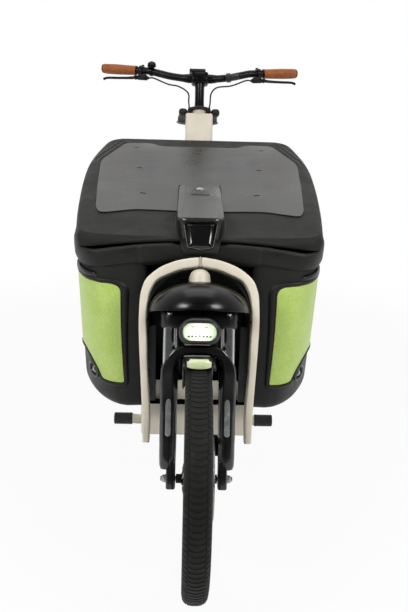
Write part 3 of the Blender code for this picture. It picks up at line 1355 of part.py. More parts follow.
def bell():
    """Small bell standing on the bar beside the right-hand controls."""
    foot, along = on_bar(0.055 - GRIP_ROOT)
    bore, outside, half = BAR_RADIUS + BAR_CLEARANCE, BAR_RADIUS + 0.0035, 0.005
    profile = [(bore, half), (outside, half), (outside, -half), (bore, -half)]
    ring = turned("bell", profile, ANODISED, ROOT, 16, along, foot)
    low = outside - 0.0015
    dome = [(0, low + 0.0195), (0.009, low + 0.0185), (0.014, low + 0.0125), (0.0150, low + 0.0015)]
    dome += [(0.007, low), (0, low)]
    body = turned("bell_dome", dome, ANODISED, ROOT, 20, (0, -0.25, 1), foot)
    join(ring, body)


def brake_hoses():
    """Both hoses, from the levers' clamps to the collar that turns with the stem."""
    height = COLUMN_NECK + GAP
    bore, edge = POST_OUTSIDE + GAP, 0.040
    profile = [(bore, COLLAR_TOP), (edge, COLLAR_TOP), (edge, height), (bore, height)]
    collar = turned("brake_hoses", profile, BLACK, COLUMN, 24)
    runs = []
    for side, loops in ((1, 0.0), (-1, 0.012)):
        foot = COLUMN.matrix_basis @ Vector((side * 0.034, -0.004, COLLAR_TOP - 0.003))
        rise = COLUMN.matrix_basis @ Vector((side * 0.037, -0.008, COLLAR_TOP + 0.022))
        bend = COLUMN.matrix_basis @ Vector((side * 0.040, -0.020, COLLAR_TOP + 0.050))
        sweep = COLUMN.matrix_basis @ Vector((side * (0.060 + loops), -0.030, COLLAR_TOP + 0.068))
        reach = at(side * 0.110, BAR_BACK - 0.0120, BAR_HEIGHT - 0.0210)
        control = CONTROL_RING + CONTROL_DROP * CONTROL_REACH
        end = mirror_x(control - GRIP_ALONG * (RESERVOIR_TAIL + 0.0010), side)
        before = mirror_x(control - GRIP_ALONG * 0.055, side)
        run = tube(f"hose_{side}", [foot, rise, bend, sweep, reach, before, end], 0.0027, BLACK, ROOT, 1, 3)
        runs.append(as_mesh(run))
    join(collar, *runs)


def seatpost():
    """Post with its head and the saddle's two rails."""
    post = strut("seatpost", (0, 0, POST_FOOT), (0, 0, POST_TOP), POST_RADIUS, ANODISED, SEAT, 20)
    post_top = SEAT.matrix_basis @ Vector((0, 0, POST_TOP))
    head = block("post_head", (0.058, 0.044, 0.024), post_top, ANODISED, ROOT, 0.004)
    rails = []
    for side in (-1, 1):
        low = post_top.z + 0.004
        high = low + 0.0135
        points = [(side * 0.022, post_top.y - 0.105, high), (side * 0.022, post_top.y - 0.070, low)]
        points += [(side * 0.022, post_top.y + 0.050, low), (side * 0.034, post_top.y + 0.105, high)]
        rails.append(as_mesh(tube(f"rail_{side}", points, 0.0040, STEEL, ROOT, 1, 3)))
    join(post, head, *rails)


def saddle():
    """Padded saddle with a crowned top, drawn-in sides and a narrow nose."""
    post_top = SEAT.matrix_basis @ Vector((0, 0, POST_TOP))
    under = post_top.z + 0.0190
    rise = SADDLE_RISE
    nose_y = post_top.y - 0.133
    stations = [(0.00, 0.14, 0.42), (0.10, 0.22, 0.30), (0.30, 0.30, 0.72), (0.55, 0.52, 0.84)]
    stations += [(0.78, 0.98, 0.98), (0.94, 0.95, 1.0), (1.0, 0.60, 0.72)]
    rings = []
    for share, width, crown in stations:
        half = SADDLE_HALF * width
        top = rise * (0.62 + 0.38 * crown)
        y = nose_y + SADDLE_LENGTH * share
        ring = [(half * 0.55, 0.0), (half * 1.02, rise * 0.28), (half * 1.06, top * 0.62)]
        ring += [(half * 0.62, top * 0.97), (0.0, top)]
        whole = [*ring, *((-x, z) for x, z in reversed(ring) if x > 0)]
        rings.append([(x, y, under + z) for x, z in whole])
    cushion = loft("saddle", rings, BLACK, ROOT)
    soft = cushion.modifiers.new("soft", "SUBSURF")
    soft.levels = 1
    soft.render_levels = 1


def stand():
    """Two-legged centre stand on its pivot tube, with a rubber sleeve on each foot."""
    reach, sleeve_length, back = 0.095, 0.060, STAND_FOOT_BACK
    pivot = strut("stand_frame", (-reach, 0, 0), (reach, 0, 0), STAND_PIVOT_RADIUS, CREAM, STAND, 20)
    low = STAND_SLEEVE_RADIUS
    bore = STAND_TUBE_RADIUS + GAP
    legs = []
    for word, side in (("left", 1), ("right", -1)):
        points = [at(side * 0.080, STAND_BACK, STAND_HEIGHT + 0.004)]
        points += [at(side * 0.084, STAND_BACK - 0.004, STAND_HEIGHT - 0.050)]
        points += [at(side * 0.104, back + 0.012, 0.088), at(side * 0.132, back + 0.003, 0.040)]
        points += [at(side * 0.170, back, low), at(side * 0.200, back, low)]
        legs.append(as_mesh(tube(f"stand_leg_{word}", points, STAND_TUBE_RADIUS, CREAM, ROOT, 2, 2)))
        start, end = at(side * 0.190, back, low), at(side * (STAND_FOOT_HALF - 0.0035), back, low)
        legs.append(strut(f"stand_toe_{word}", start, end, STAND_TUBE_RADIUS - 0.0002, CREAM, ROOT, 20))
        radius, inside = STAND_SLEEVE_RADIUS, sleeve_length - 0.003
        profile = [(0, sleeve_length), (radius, sleeve_length), (radius, 0), (bore, 0), (bore, inside)]
        profile += [(0, inside)]
        place = at(side * (STAND_FOOT_HALF - sleeve_length), back, low)
        turned(f"stand_foot_{word}", profile, RUBBER, ROOT, 20, (side, 0, 0), place)
    join(pivot, *legs)


def build():
    head_tube()
    front_hoop()
    main_beam()
    steering_column()
    rear_beam()
    battery()
    motor_unit()
    seat_tube()
    rear_stays()
    box_tub()
    side_panels()
    wheel_arch_liner()
    lid_shell()
    lid_panel()
    lock_cylinder()
    pulley_cover()
    steering_cables()
    fork_crown()
    fork_pulley()
    fork_lowers()
    front_mudguard()
    front_caliper()
    headlight()
    axle_rod("front_axle", FRONT_AXLE, DROPOUT_OUTER + GAP)
    wheel("front", FRONT_RADIUS, FRONT_HUB_HALF, FRONT_AXLE, 16)
    rotor("front_brake_rotor", FRONT_ROTOR_RADIUS, FRONT_ROTOR_AT, FRONT_AXLE)
    axle_rod("rear_axle", REAR_AXLE, REAR_HUB_HALF + GAP + STAY_THICKNESS + 2 * GAP)
    wheel("rear", REAR_RADIUS, REAR_HUB_HALF, REAR_AXLE, 18)
    rotor("rear_brake_rotor", REAR_ROTOR_RADIUS, REAR_ROTOR_AT, REAR_AXLE)
    rear_caliper()
    rear_mudguard()
    rear_light()
    rear_sprocket()
    drive_belt()
    crankset()
    pedals()
    stem()
    display()
    handlebar_pulley()
    handlebar()
    grips()
    brake_controls()
    bell()
    brake_hoses()
    seatpost()
    saddle()
    stand()


build()
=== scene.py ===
import math

import bmesh
import bpy
from mathutils import Matrix, Vector
from mathutils.bvhtree import BVHTree


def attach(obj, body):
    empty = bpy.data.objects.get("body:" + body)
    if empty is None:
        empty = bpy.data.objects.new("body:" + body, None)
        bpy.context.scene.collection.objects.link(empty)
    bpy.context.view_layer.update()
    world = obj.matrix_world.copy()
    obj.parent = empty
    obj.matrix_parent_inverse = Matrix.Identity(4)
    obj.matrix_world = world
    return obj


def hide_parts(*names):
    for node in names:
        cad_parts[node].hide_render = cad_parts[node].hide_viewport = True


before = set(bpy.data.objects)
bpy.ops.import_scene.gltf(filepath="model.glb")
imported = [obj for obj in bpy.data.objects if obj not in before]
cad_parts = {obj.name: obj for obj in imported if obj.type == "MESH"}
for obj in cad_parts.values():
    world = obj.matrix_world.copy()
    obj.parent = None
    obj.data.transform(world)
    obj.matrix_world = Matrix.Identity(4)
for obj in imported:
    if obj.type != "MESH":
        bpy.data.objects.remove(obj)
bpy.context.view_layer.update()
scene = bpy.context.scene


# The studio: white paper underfoot and all round, two soft boxes in front and a broad one
# overhead. The camera stands a little left of the bike's middle and looks down on the box.
def linear(shade):
    """An sRGB shade such as #D8CDB8 as the linear colour that a shader takes."""
    found = []
    for i in (1, 3, 5):
        level = int(shade[i : i + 2], 16) / 255
        found.append(level / 12.92 if level <= 0.04045 else ((level + 0.055) / 1.055) ** 2.4)
    return (*found, 1.0)


def put(tree, kind, settings=None, feeds=None):
    """Adds a node. Settings are its properties or its inputs' values; feeds are what leads in."""
    made = tree.nodes.new(kind)
    for key, value in (settings or {}).items():
        if isinstance(key, str) and hasattr(made, key):
            setattr(made, key, value)
        else:
            made.inputs[key].default_value = value
    for key, socket in (feeds or {}).items():
        tree.links.new(socket, made.inputs[key])
    return made


def placed(name, data):
    """A new object in the scene, made of a mesh, a curve, a lamp or a camera."""
    made = bpy.data.objects.new(name, data)
    scene.collection.objects.link(made)
    return made


camera = placed("camera", bpy.data.cameras.new("camera"))
scene.camera = camera
camera.data.sensor_width = 36
camera.data.lens = 43.55
camera.data.clip_end = 60
yaw, pitch, roll = 0.0233, 0.2857, -0.027
ahead = Vector((math.sin(yaw) * math.cos(pitch), math.cos(yaw) * math.cos(pitch), -math.sin(pitch)))
level_right = Vector((math.cos(yaw), -math.sin(yaw), 0))
level_down = ahead.cross(level_right)
right = math.cos(roll) * level_right + math.sin(roll) * level_down
down = -math.sin(roll) * level_right + math.cos(roll) * level_down
camera.matrix_world = (
    Matrix.Translation((-0.027, -2.52435, 1.076))
    @ Matrix((right, -down, -ahead)).transposed().to_4x4()
)

scene.view_settings.view_transform = "Standard"
room = bpy.data.worlds.new("white_room")
scene.world = room
room.use_nodes = True
tree = room.node_tree
tree.nodes.clear()
ray = put(tree, "ShaderNodeLightPath")
where = put(tree, "ShaderNodeTexCoord")
facing = put(tree, "ShaderNodeSeparateXYZ", None, {0: where.outputs["Generated"]})
from_front = put(
    tree, "ShaderNodeMapRange", {"From Min": -0.5, "From Max": 0.6, "To Min": 0.10, "To Max": 1.0},
    {"Value": facing.outputs["Y"]},
)
dim = put(tree, "ShaderNodeMath", {"operation": "MULTIPLY", 1: 0.55}, {0: from_front.outputs[0]})
open_ray = put(
    tree, "ShaderNodeMath", {"operation": "MAXIMUM"},
    {0: ray.outputs["Is Camera Ray"], 1: ray.outputs["Is Transmission Ray"]},
)
glossy = put(
    tree, "ShaderNodeMix", {"data_type": "FLOAT"},
    {0: ray.outputs["Is Glossy Ray"], 2: dim.outputs[0], 3: from_front.outputs[0]},
)
strength = put(
    tree, "ShaderNodeMix", {"data_type": "FLOAT", 3: 1.0},
    {0: open_ray.outputs[0], 2: glossy.outputs[0]},
)
paper_light = put(
    tree, "ShaderNodeBackground", {"Color": (1, 1, 1, 1)}, {"Strength": strength.outputs[0]}
)
put(tree, "ShaderNodeOutputWorld", None, {"Surface": paper_light.outputs[0]})

for word, place, aim, size, watts in (
    ("left", (-1.7, -2.5, 2.5), (0, -0.4, 0.5), 0.9, 42),
    ("right", (1.7, -2.5, 2.5), (0, -0.4, 0.5), 0.9, 42),
    ("above", (0, 0.0, 3.1), (0, 0.0, 0), 2.0, 14),
):
    lamp = bpy.data.lights.new(f"{word}_box", "AREA")
    lamp.shape = "SQUARE"
    lamp.size = size
    lamp.energy = watts
    box = placed(f"{word}_box", lamp)
    box.location = place
    box.rotation_euler = (Vector(aim) - Vector(place)).to_track_quat("-Z", "Y").to_euler()

paper = bpy.data.materials.new("white_paper")
paper.use_nodes = True
tree = paper.node_tree
shader = tree.nodes["Principled BSDF"]
shader.inputs["Base Color"].default_value = (0.86, 0.86, 0.86, 1)
shader.inputs["Roughness"].default_value = 0.9
where = put(tree, "ShaderNodeTexCoord")
reach = put(tree, "ShaderNodeVectorMath", {"operation": "LENGTH"}, {0: where.outputs["Object"]})
# The shadow is kept within 0.9 m of the bike's middle and fades out by 2.2 m.
fade = put(
    tree, "ShaderNodeMapRange",
    {
        "interpolation_type": "SMOOTHSTEP", "From Min": 0.9, "From Max": 2.2, "To Min": 0.93,
        "To Max": 1.0,
    },
    {"Value": reach.outputs["Value"]},
)
ray = put(tree, "ShaderNodeLightPath")
seen = put(
    tree, "ShaderNodeMath", {"operation": "MAXIMUM"},
    {0: ray.outputs["Is Camera Ray"], 1: ray.outputs["Is Glossy Ray"]},
)
share = put(
    tree, "ShaderNodeMath", {"operation": "MULTIPLY"}, {0: seen.outputs[0], 1: fade.outputs[0]}
)
white = put(tree, "ShaderNodeEmission", {"Color": (1, 1, 1, 1), "Strength": 1.0})
sheet = put(
    tree, "ShaderNodeMixShader", None,
    {0: share.outputs[0], 1: shader.outputs[0], 2: white.outputs[0]},
)
tree.links.new(sheet.outputs[0], tree.nodes["Material Output"].inputs["Surface"])
work = bmesh.new()
bmesh.ops.create_grid(work, x_segments=8, y_segments=8, size=12)
ground = bpy.data.meshes.new("floor")
work.to_mesh(ground)
work.free()
ground.materials.append(paper)
floor = placed("floor", ground)

# The brake hoses: black plastic hose, pushed over a barb in each lever's reservoir and led in
# a loose curve down through a collar that turns with the stem on top of the column.
# The bike's middle is at the origin. Wheels and rear guard give its length.
FRONT_RADIUS, REAR_RADIUS, WHEELBASE, REAR_GUARD_RADIUS = 0.258, 0.3345, 2.06, 0.3575
FRONT_AXLE_Y = FRONT_RADIUS - (FRONT_RADIUS + WHEELBASE + REAR_GUARD_RADIUS) / 2
# Head tube, column and seat tube all lean back at 70 degrees to the floor.
LEAN, TILT = math.radians(70), math.radians(-20)
# The steering axis runs this far behind the front axle, and the legs as far ahead of it.
RAKE = 0.040
COLUMN_FOOT_BACK, COLUMN_FOOT, COLUMN_TOP = 0.97927, 0.3648, 0.985


def at(x, back, height):
    """A place x to the rider's left, back from the front axle, and above the floor."""
    return Vector((x, FRONT_AXLE_Y + back, height))


def leaning(back, height):
    """The frame of a tube that leans back with the head tube, from its foot or top."""
    return Matrix.Translation(at(0, back, height)) @ Matrix.Rotation(TILT, 4, "X")


STEER = leaning(RAKE / math.sin(LEAN), FRONT_RADIUS)
COLUMN_TOP_BACK = COLUMN_FOOT_BACK + (COLUMN_TOP - COLUMN_FOOT) / math.tan(LEAN)
COLUMN = leaning(COLUMN_TOP_BACK, COLUMN_TOP)
BAR_BACK, BAR_HEIGHT = COLUMN_TOP_BACK + 0.040, 1.108
GRIP_START = at(0.223, BAR_BACK + 0.0395, BAR_HEIGHT + 0.0225)
GRIP_END = at(0.345, BAR_BACK + 0.0780, BAR_HEIGHT + 0.0270)
GRIP_ALONG = (GRIP_END - GRIP_START).normalized()
CONTROL_RING = GRIP_START - GRIP_ALONG * 0.020
CONTROL_DROP = (Vector((0.0126, -0.0245, -0.0288)) - GRIP_ALONG * 0.0040).normalized()


def between(a, b, c, d, t):
    """A place between b and c on the smooth line through all four."""
    bent = 2 * a - 5 * b + 4 * c - d
    return 0.5 * (2 * b + (c - a) * t + bent * t**2 + (3 * b - a - 3 * c + d) * t**3)


def flowing(points, each):
    """A smooth line through the points, with so many steps between each two."""
    points = [Vector(p) for p in points]
    padded = [2 * points[0] - points[1], *points, 2 * points[-1] - points[-2]]
    found = []
    for a, b, c, d in zip(padded, padded[1:], padded[2:], padded[3:]):
        found += [between(a, b, c, d, step / each) for step in range(each)]
    return [*found, points[-1]]


def skin(work, rings, closed=False, ends=True):
    """Joins rings of as many points each, round and along, and closes the two ends."""
    rows = [[work.verts.new(point) for point in ring] for ring in rings]
    for row, following in list(zip(rows, rows[1:])) + ([(rows[-1], rows[0])] if closed else []):
        for i in range(len(row)):
            j = (i + 1) % len(row)
            work.faces.new((row[i], row[j], following[j], following[i]))
    if ends and not closed:
        work.faces.new(rows[0])
        work.faces.new(rows[-1])


def bowl(work, rings):
    """Joins rings to a bowl that is closed at the last of them."""
    skin(work, rings, ends=False)
    work.faces.new([work.verts.new(p) for p in rings[-1]])


def pipe(work, path, radius, sides=12):
    """A round pipe along a line, its radius one number or one at each point."""
    path = [Vector(p) for p in path]
    radii = radius if isinstance(radius, (list, tuple)) else [radius] * len(path)
    side = (path[1] - path[0]).orthogonal().normalized()
    rings = []
    for i, (place, size) in enumerate(zip(path, radii)):
        along = (path[min(i + 1, len(path) - 1)] - path[max(i - 1, 0)]).normalized()
        side = (side - along * side.dot(along)).normalized()
        up = along.cross(side)
        turns = [2 * math.pi * k / sides for k in range(sides)]
        rings.append([place + (side * math.cos(t) + up * math.sin(t)) * size for t in turns])
    skin(work, rings)


def lathe(work, profile, place=None, steps=32):
    """A profile of (radius, along) turned about Z of its place: a ring if no end is on the axis."""
    place = place or Matrix()
    hollow = profile[0][0] > 1e-6 and profile[-1][0] > 1e-6
    rows = []
    for k in range(steps):
        turn = 2 * math.pi * k / steps
        ring = [place @ Vector((r * math.cos(turn), r * math.sin(turn), s)) for r, s in profile]
        rows.append([work.verts.new(p) for p in ring])
    count = len(profile)
    for row, following in zip(rows, rows[1:] + rows[:1]):
        for i in range(count if hollow else count - 1):
            j = (i + 1) % count
            corners = [row[i], row[j], following[j], following[i]]
            if profile[i][0] <= 1e-6:
                corners.remove(following[i])
            if profile[j][0] <= 1e-6:
                corners.remove(following[j])
            work.faces.new(corners)


def across(direction, spot):
    """A place whose Z points along the direction, for what is turned or drilled that way."""
    turn = Vector(direction).to_track_quat("Z", "Y").to_matrix().to_4x4()
    return Matrix.Translation(spot) @ turn


def squared(spot, x, y, z):
    """A place whose three axes point along the directions given."""
    return Matrix.Translation(spot) @ Matrix((x, y, z)).transposed().to_4x4()


def facing_out(x):
    """A place at x on the X axis whose Z points away from the middle."""
    return Matrix.Translation((x, 0, 0)) @ Matrix.Rotation(math.copysign(math.pi / 2, x), 4, "Y")


def piece(name, work, finish, body, slot, *stands_for, sharp=40):
    """Makes the mesh a piece of the bike: smooth, in its finish, on its body, for its CAD parts."""
    bmesh.ops.remove_doubles(work, verts=work.verts, dist=0.00001)
    bmesh.ops.recalc_face_normals(work, faces=work.faces)
    mesh = bpy.data.meshes.new(name)
    work.to_mesh(mesh)
    work.free()
    for one in finish if isinstance(finish, list) else [finish]:
        mesh.materials.append(one)
    mesh.shade_smooth()
    mesh.set_sharp_from_angle(angle=math.radians(sharp))
    made = placed(name, mesh)
    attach(made, body)
    if stands_for:
        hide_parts(*stands_for)
    return made


def substance(name, dark, light, rough, patch, grain, depth, **fixed):
    """A finish whose shade and roughness drift between two levels in patches, over a fine relief.
    Patch, grain and depth are real sizes in millimetres; fixed are the shader's own even values."""
    made = bpy.data.materials.new(name)
    made.use_nodes = True
    tree = made.node_tree
    shader = tree.nodes["Principled BSDF"]
    for socket, value in fixed.items():
        shader.inputs[socket.replace("_", " ")].default_value = value
    where = put(tree, "ShaderNodeTexCoord", {"name": "where"}).outputs["Object"]
    drift = put(
        tree, "ShaderNodeTexNoise",
        {"name": "drift", "Scale": 1000 / patch, "Detail": 5.0, "Roughness": 0.6},
        {"Vector": where},
    )
    spread = put(
        tree, "ShaderNodeMapRange", {"From Min": 0.35, "From Max": 0.65},
        {"Value": drift.outputs["Fac"]},
    )
    shade = put(
        tree, "ShaderNodeMix",
        {"name": "shade", "data_type": "RGBA", 6: linear(dark), 7: linear(light)},
        {0: spread.outputs[0]},
    )
    gloss = put(
        tree, "ShaderNodeMapRange", {"To Min": rough[0], "To Max": rough[1]},
        {"Value": spread.outputs[0]},
    )
    pores = put(
        tree, "ShaderNodeTexNoise", {"name": "grain", "Scale": 1000 / grain, "Detail": 2.0},
        {"Vector": where},
    )
    relief = put(
        tree, "ShaderNodeBump", {"name": "relief", "Strength": 1.0, "Distance": depth / 1000},
        {"Height": pores.outputs["Fac"]},
    )
    for output, socket in (
        (shade.outputs[2], "Base Color"), (gloss.outputs[0], "Roughness"),
        (relief.outputs[0], "Normal"),
    ):
        tree.links.new(output, shader.inputs[socket])
    return made


def inside(finish):
    """A finish's node tree, the object's own coordinates in it, and its shader's sockets."""
    tree = finish.node_tree
    return tree, tree.nodes["where"].outputs["Object"], tree.nodes["Principled BSDF"].inputs


hose_black = substance("hose_black", "#121212", "#1C1C1B", (0.35, 0.5), 30, 0.5, 0.02)
collar_black = substance("collar_black", "#131313", "#1D1D1C", (0.42, 0.58), 25, 0.6, 0.05)
COLLAR_TOP = 0.0223
for word, side, wide in (("left", 1, 0.060), ("right", -1, 0.072)):
    foot = COLUMN @ Vector((side * 0.034, -0.004, COLLAR_TOP - 0.003))
    rise = COLUMN @ Vector((side * 0.037, -0.008, COLLAR_TOP + 0.022))
    bend = COLUMN @ Vector((side * 0.040, -0.020, COLLAR_TOP + 0.050))
    sweep = COLUMN @ Vector((side * wide, -0.030, COLLAR_TOP + 0.068))
    swing = at(side * 0.110, BAR_BACK - 0.0120, BAR_HEIGHT - 0.0210)
    control = CONTROL_RING + CONTROL_DROP * 0.031
    before, end = control - GRIP_ALONG * 0.055, control - GRIP_ALONG * 0.037
    before.x, end.x = before.x * side, end.x * side
    line = flowing([foot, rise, bend, sweep, swing, before, end], 6)
    long = sum((b - a).length for a, b in zip(line, line[1:]))
    work = bmesh.new()
    pipe(work, line, 0.0027, 12)
    hose = piece(f"hose_{word}", work, hose_black, "steering", "black_plastic", "brake_hoses")
work = bmesh.new()
profile = [(0.0168, 0.0223), (0.033, 0.0223), (0.0385, 0.0212), (0.040, 0.0195), (0.040, 0.0175)]
profile += [(0.0390, 0.0164), (0.0168, 0.0163)]
lathe(work, profile, COLUMN, 48)
for side in (1, -1):
    bush = COLUMN @ Matrix.Translation((side * 0.034, -0.004, 0.0))
    lathe(work, [(0.0029, 0.0285), (0.0041, 0.0275), (0.0048, 0.0215), (0.0029, 0.0215)], bush, 16)
piece("hose_collar", work, collar_black, "steering", "black_plastic", "brake_hoses")

# The steel frame: head tube, gooseneck and beam, column, rear beam and stays, welded and then
# powder coated in cream.
cream_paint = substance(
    "cream_powder_coat", "#EAE1CC", "#F2EAD7", (0.34, 0.46), 60, 1.3, 0.035, Coat_Weight=0.12,
    Coat_Roughness=0.25,
)
weld_bead = substance("painted_weld", "#DAD0BB", "#E8DFCE", (0.36, 0.5), 20, 0.9, 0.06)
bolt_steel = substance("zinc_bolt", "#8A8B8C", "#B9BABA", (0.28, 0.42), 6, 0.4, 0.02, Metallic=1.0)
black_bolt = substance("black_bolt", "#171717", "#262626", (0.3, 0.45), 5, 0.4, 0.02, Metallic=0.6)
# The cranks turn in the motor, which keeps clear of the rear guard.
CRANK_BACK, CRANK_HEIGHT = WHEELBASE - REAR_GUARD_RADIUS - 0.1155, 0.290
CRANK = Matrix.Translation(at(0, CRANK_BACK, CRANK_HEIGHT))
SEAT = leaning(CRANK_BACK, CRANK_HEIGHT)
FRONT_AXLE = Matrix.Translation(at(0, 0, FRONT_RADIUS))
REAR_AXLE = Matrix.Translation(at(0, WHEELBASE, REAR_RADIUS))
STAND = Matrix.Translation(at(0, 0.840, 0.205))
# Flat work lies in X and Y of a place. In SIDE_ON they are the bike's length and height, and in
# FRONT_ON its width and height, with Z the way back from the front axle.
SIDE_ON = Matrix(((0, 0, 1, 0), (1, 0, 0, 0), (0, 1, 0, 0), (0, 0, 0, 1)))
FRONT_ON = Matrix(((1, 0, 0, 0), (0, 0, 1, FRONT_AXLE_Y), (0, 1, 0, 0), (0, 0, 0, 1)))


def mix(low, high, share):
    return low + (high - low) * share


def clamp(share):
    return min(1.0, max(0.0, share))


def whole(half):
    """A full outline from its half: the half's mirror image follows it, less the points at x 0."""
    return [*half, *((-x, *rest) for x, *rest in half[::-1] if abs(x) > 1e-9)]


def both_sides(half):
    """A profile of (radius, along) from its half: the mirror image follows, less a middle point."""
    return half + [(r, -s) for r, s in half[::-1] if abs(s) > 1e-9]


def reading(rows, x):
    """The second number of rows at an x between the first numbers of two of them."""
    return next(
        mix(a[1], b[1], (x - a[0]) / (b[0] - a[0]))
        for a, b in zip(rows, rows[1:]) if a[0] <= x <= b[0]
    )


def add(work, more):
    """Moves one mesh into another."""
    loose = bpy.data.meshes.new("loose")
    more.to_mesh(loose)
    more.free()
    work.from_mesh(loose)
    bpy.data.meshes.remove(loose)


def rounded(wide, high, corner, steps=4):
    """A rectangle's outline with round corners, from its half width and half height."""
    found = []
    for cx, cy, start in ((1, 1, 0), (-1, 1, 90), (-1, -1, 180), (1, -1, 270)):
        for k in range(steps + 1):
            turn = math.radians(start + 90 * k / steps)
            x, y = corner * math.cos(turn), corner * math.sin(turn)
            found.append((cx * (wide - corner) + x, cy * (high - corner) + y))
    return found


def bar(work, stations, corner, steps=4):
    """A bar in the bike's middle plane, from its (back, height, half width, half depth)."""
    middle = [Vector((0, back, height)) for back, height, _, _ in stations]
    rings = []
    for i, (back, height, wide, deep) in enumerate(stations):
        ahead = middle[min(i + 1, len(middle) - 1)] - middle[max(i - 1, 0)]
        up = Vector((0, -ahead.z, ahead.y)).normalized()
        rings.append([at(x, back, height) + up * d for x, d in rounded(wide, deep, corner, steps)])
    skin(work, rings)


def block(work, size, centre, place=None, edge=0.0, segments=3):
    """A block with rounded edges, in the frame of its place."""
    solid = bmesh.new()
    bmesh.ops.create_cube(solid, size=1.0)
    bmesh.ops.scale(solid, vec=Vector(size), verts=solid.verts)
    if edge:
        bmesh.ops.bevel(
            solid, geom=solid.edges[:], offset=edge, segments=segments, profile=0.5, affect="EDGES"
        )
    where = (place or Matrix()) @ Matrix.Translation(centre)
    bmesh.ops.transform(solid, matrix=where, verts=solid.verts)
    add(work, solid)


def slab(work, outline, low, high, place, edge=0.0):
    """A flat outline in X and Y of its place, from low to high along Z, with its rim eased."""
    levels = [(0.0, low), (0.0, high)]
    if edge:
        levels = [(edge, low), (0.3 * edge, low + 0.3 * edge), (0.0, low + edge)]
        levels += [(0.0, high - edge), (0.3 * edge, high - 0.3 * edge), (edge, high)]
    count = len(outline)
    rings = []
    for inset, level in levels:
        ring = []
        for i, (x, y) in enumerate(outline):
            before, after = outline[i - 1], outline[(i + 1) % count]
            along = Vector((after[0] - before[0], after[1] - before[1])).normalized()
            ring.append(place @ Vector((x - along.y * inset, y + along.x * inset, level)))
        rings.append(ring)
    skin(work, rings)


def plate(work, outline, x, thick, edge):
    """A plate lengthwise at x, from its outline in (back, height) and its half thickness."""
    outline = [(FRONT_AXLE_Y + back, height) for back, height in outline]
    slab(work, outline, x - thick, x + thick, SIDE_ON, edge)


def arc(centre, radius, start, end, count):
    """Points on an arc between two angles in degrees."""
    turns = [math.radians(start + (end - start) * i / (count - 1)) for i in range(count)]
    return [(centre[0] + radius * math.cos(t), centre[1] + radius * math.sin(t)) for t in turns]


def hex_bolt(work, place, radius, high):
    """A bolt head with a hexagon socket, its washer under it, standing on Z of its place."""
    lathe(work, [(0, 0.0006), (radius * 1.45, 0.0006), (radius * 1.45, 0), (0, 0)], place, 20)
    head = [(0, high), (radius * 0.8, high), (radius, high * 0.8), (radius, 0), (0, 0)]
    lathe(work, head, place, 20)
    slab(work, arc((0, 0), radius * 0.5, 0, 300, 6), high, high + 0.0002, place)


def bead(work, path, radius):
    """A weld bead: overlapping drops along a closed or open line."""
    line = flowing(path, 3)
    travelled = 0.0
    for a, b in zip(line, line[1:]):
        travelled += (b - a).length
        if travelled > radius * 0.9:
            travelled = 0.0
            drop = bmesh.ops.create_icosphere(work, subdivisions=1, radius=radius)
            bmesh.ops.translate(work, vec=b, verts=drop["verts"])


# Hoop: a flat steel bar on edge in the plane of the head tube, pressed to a round-shouldered
# arch, its halves butt welded at the peak. Black screws through it hold the arch liner.
def even(points, count):
    """As many points, evenly spaced along a smooth line through the given ones."""
    line = flowing([(x, 0, s) for x, s in points], 8)
    travel = [0.0]
    for a, b in zip(line, line[1:]):
        travel.append(travel[-1] + (b - a).length)
    found, k = [], 0
    for i in range(count):
        goal = travel[-1] * i / (count - 1)
        while k < len(line) - 2 and travel[k + 1] < goal:
            k += 1
        share = (goal - travel[k]) / max(travel[k + 1] - travel[k], 1e-9)
        found.append(line[k].lerp(line[k + 1], share))
    return found


hoop_outer = [(0.1205, 0.060), (0.1225, 0.110), (0.125, 0.155), (0.1295, 0.220), (0.134, 0.290)]
hoop_outer += [(0.1355, 0.335), (0.134, 0.382), (0.1295, 0.405), (0.1190, 0.4270), (0.092, 0.4495)]
hoop_outer += [(0.068, 0.4610), (0.045, 0.4685), (0.022, 0.4728), (0, 0.4755)]
hoop_inner = [(0.106, 0.060), (0.1055, 0.110), (0.108, 0.155), (0.1135, 0.220), (0.117, 0.290)]
hoop_inner += [(0.1185, 0.335), (0.116, 0.380), (0.1085, 0.404), (0.0955, 0.4230), (0.070, 0.4358)]
hoop_inner += [(0.045, 0.4458), (0.020, 0.4512), (0, 0.4545)]
hoop_pairs = list(zip(even(hoop_outer, 64), even(hoop_inner, 64)))
work = bmesh.new()
for side in (1, -1):
    rings = []
    for i, (out, inn) in enumerate(hoop_pairs):
        inset = 0.0012 if i == len(hoop_pairs) - 1 else 0.0
        wide, middle = (out - inn).length / 2 - inset, (out + inn) / 2
        across_bar = (out - inn).normalized()
        ring = []
        for u, v in rounded(wide, 0.0225 - inset, 0.0042, 4):
            spot = middle + across_bar * u + Vector((0, v, 0))
            ring.append(STEER @ Vector((side * max(spot.x, 0.0), spot.y, spot.z)))
        rings.append(ring)
    skin(work, rings)
piece("front_hoop_bar", work, cream_paint, "frame", "cream_paint", "front_hoop", sharp=50)
work = bmesh.new()
peak = [(0, y, 0.4650 + z) for z, y in rounded(0.0103, 0.0223, 0.004, 3)]
bead(work, [STEER @ Vector(p) for p in [*peak, peak[0]]], 0.0013)
piece("hoop_weld", work, weld_bead, "frame", "cream_paint")
work = bmesh.new()
for side in (1, -1):
    for x, s in ((0.1175, 0.330), (0.1110, 0.218)):
        spot = (side * (x + 0.0004), -0.006, s)
        hex_bolt(work, STEER @ across((-side, 0, 0.03), spot), 0.0042, 0.0040)
piece("hoop_bolts", work, black_bolt, "frame", "black_anodised")

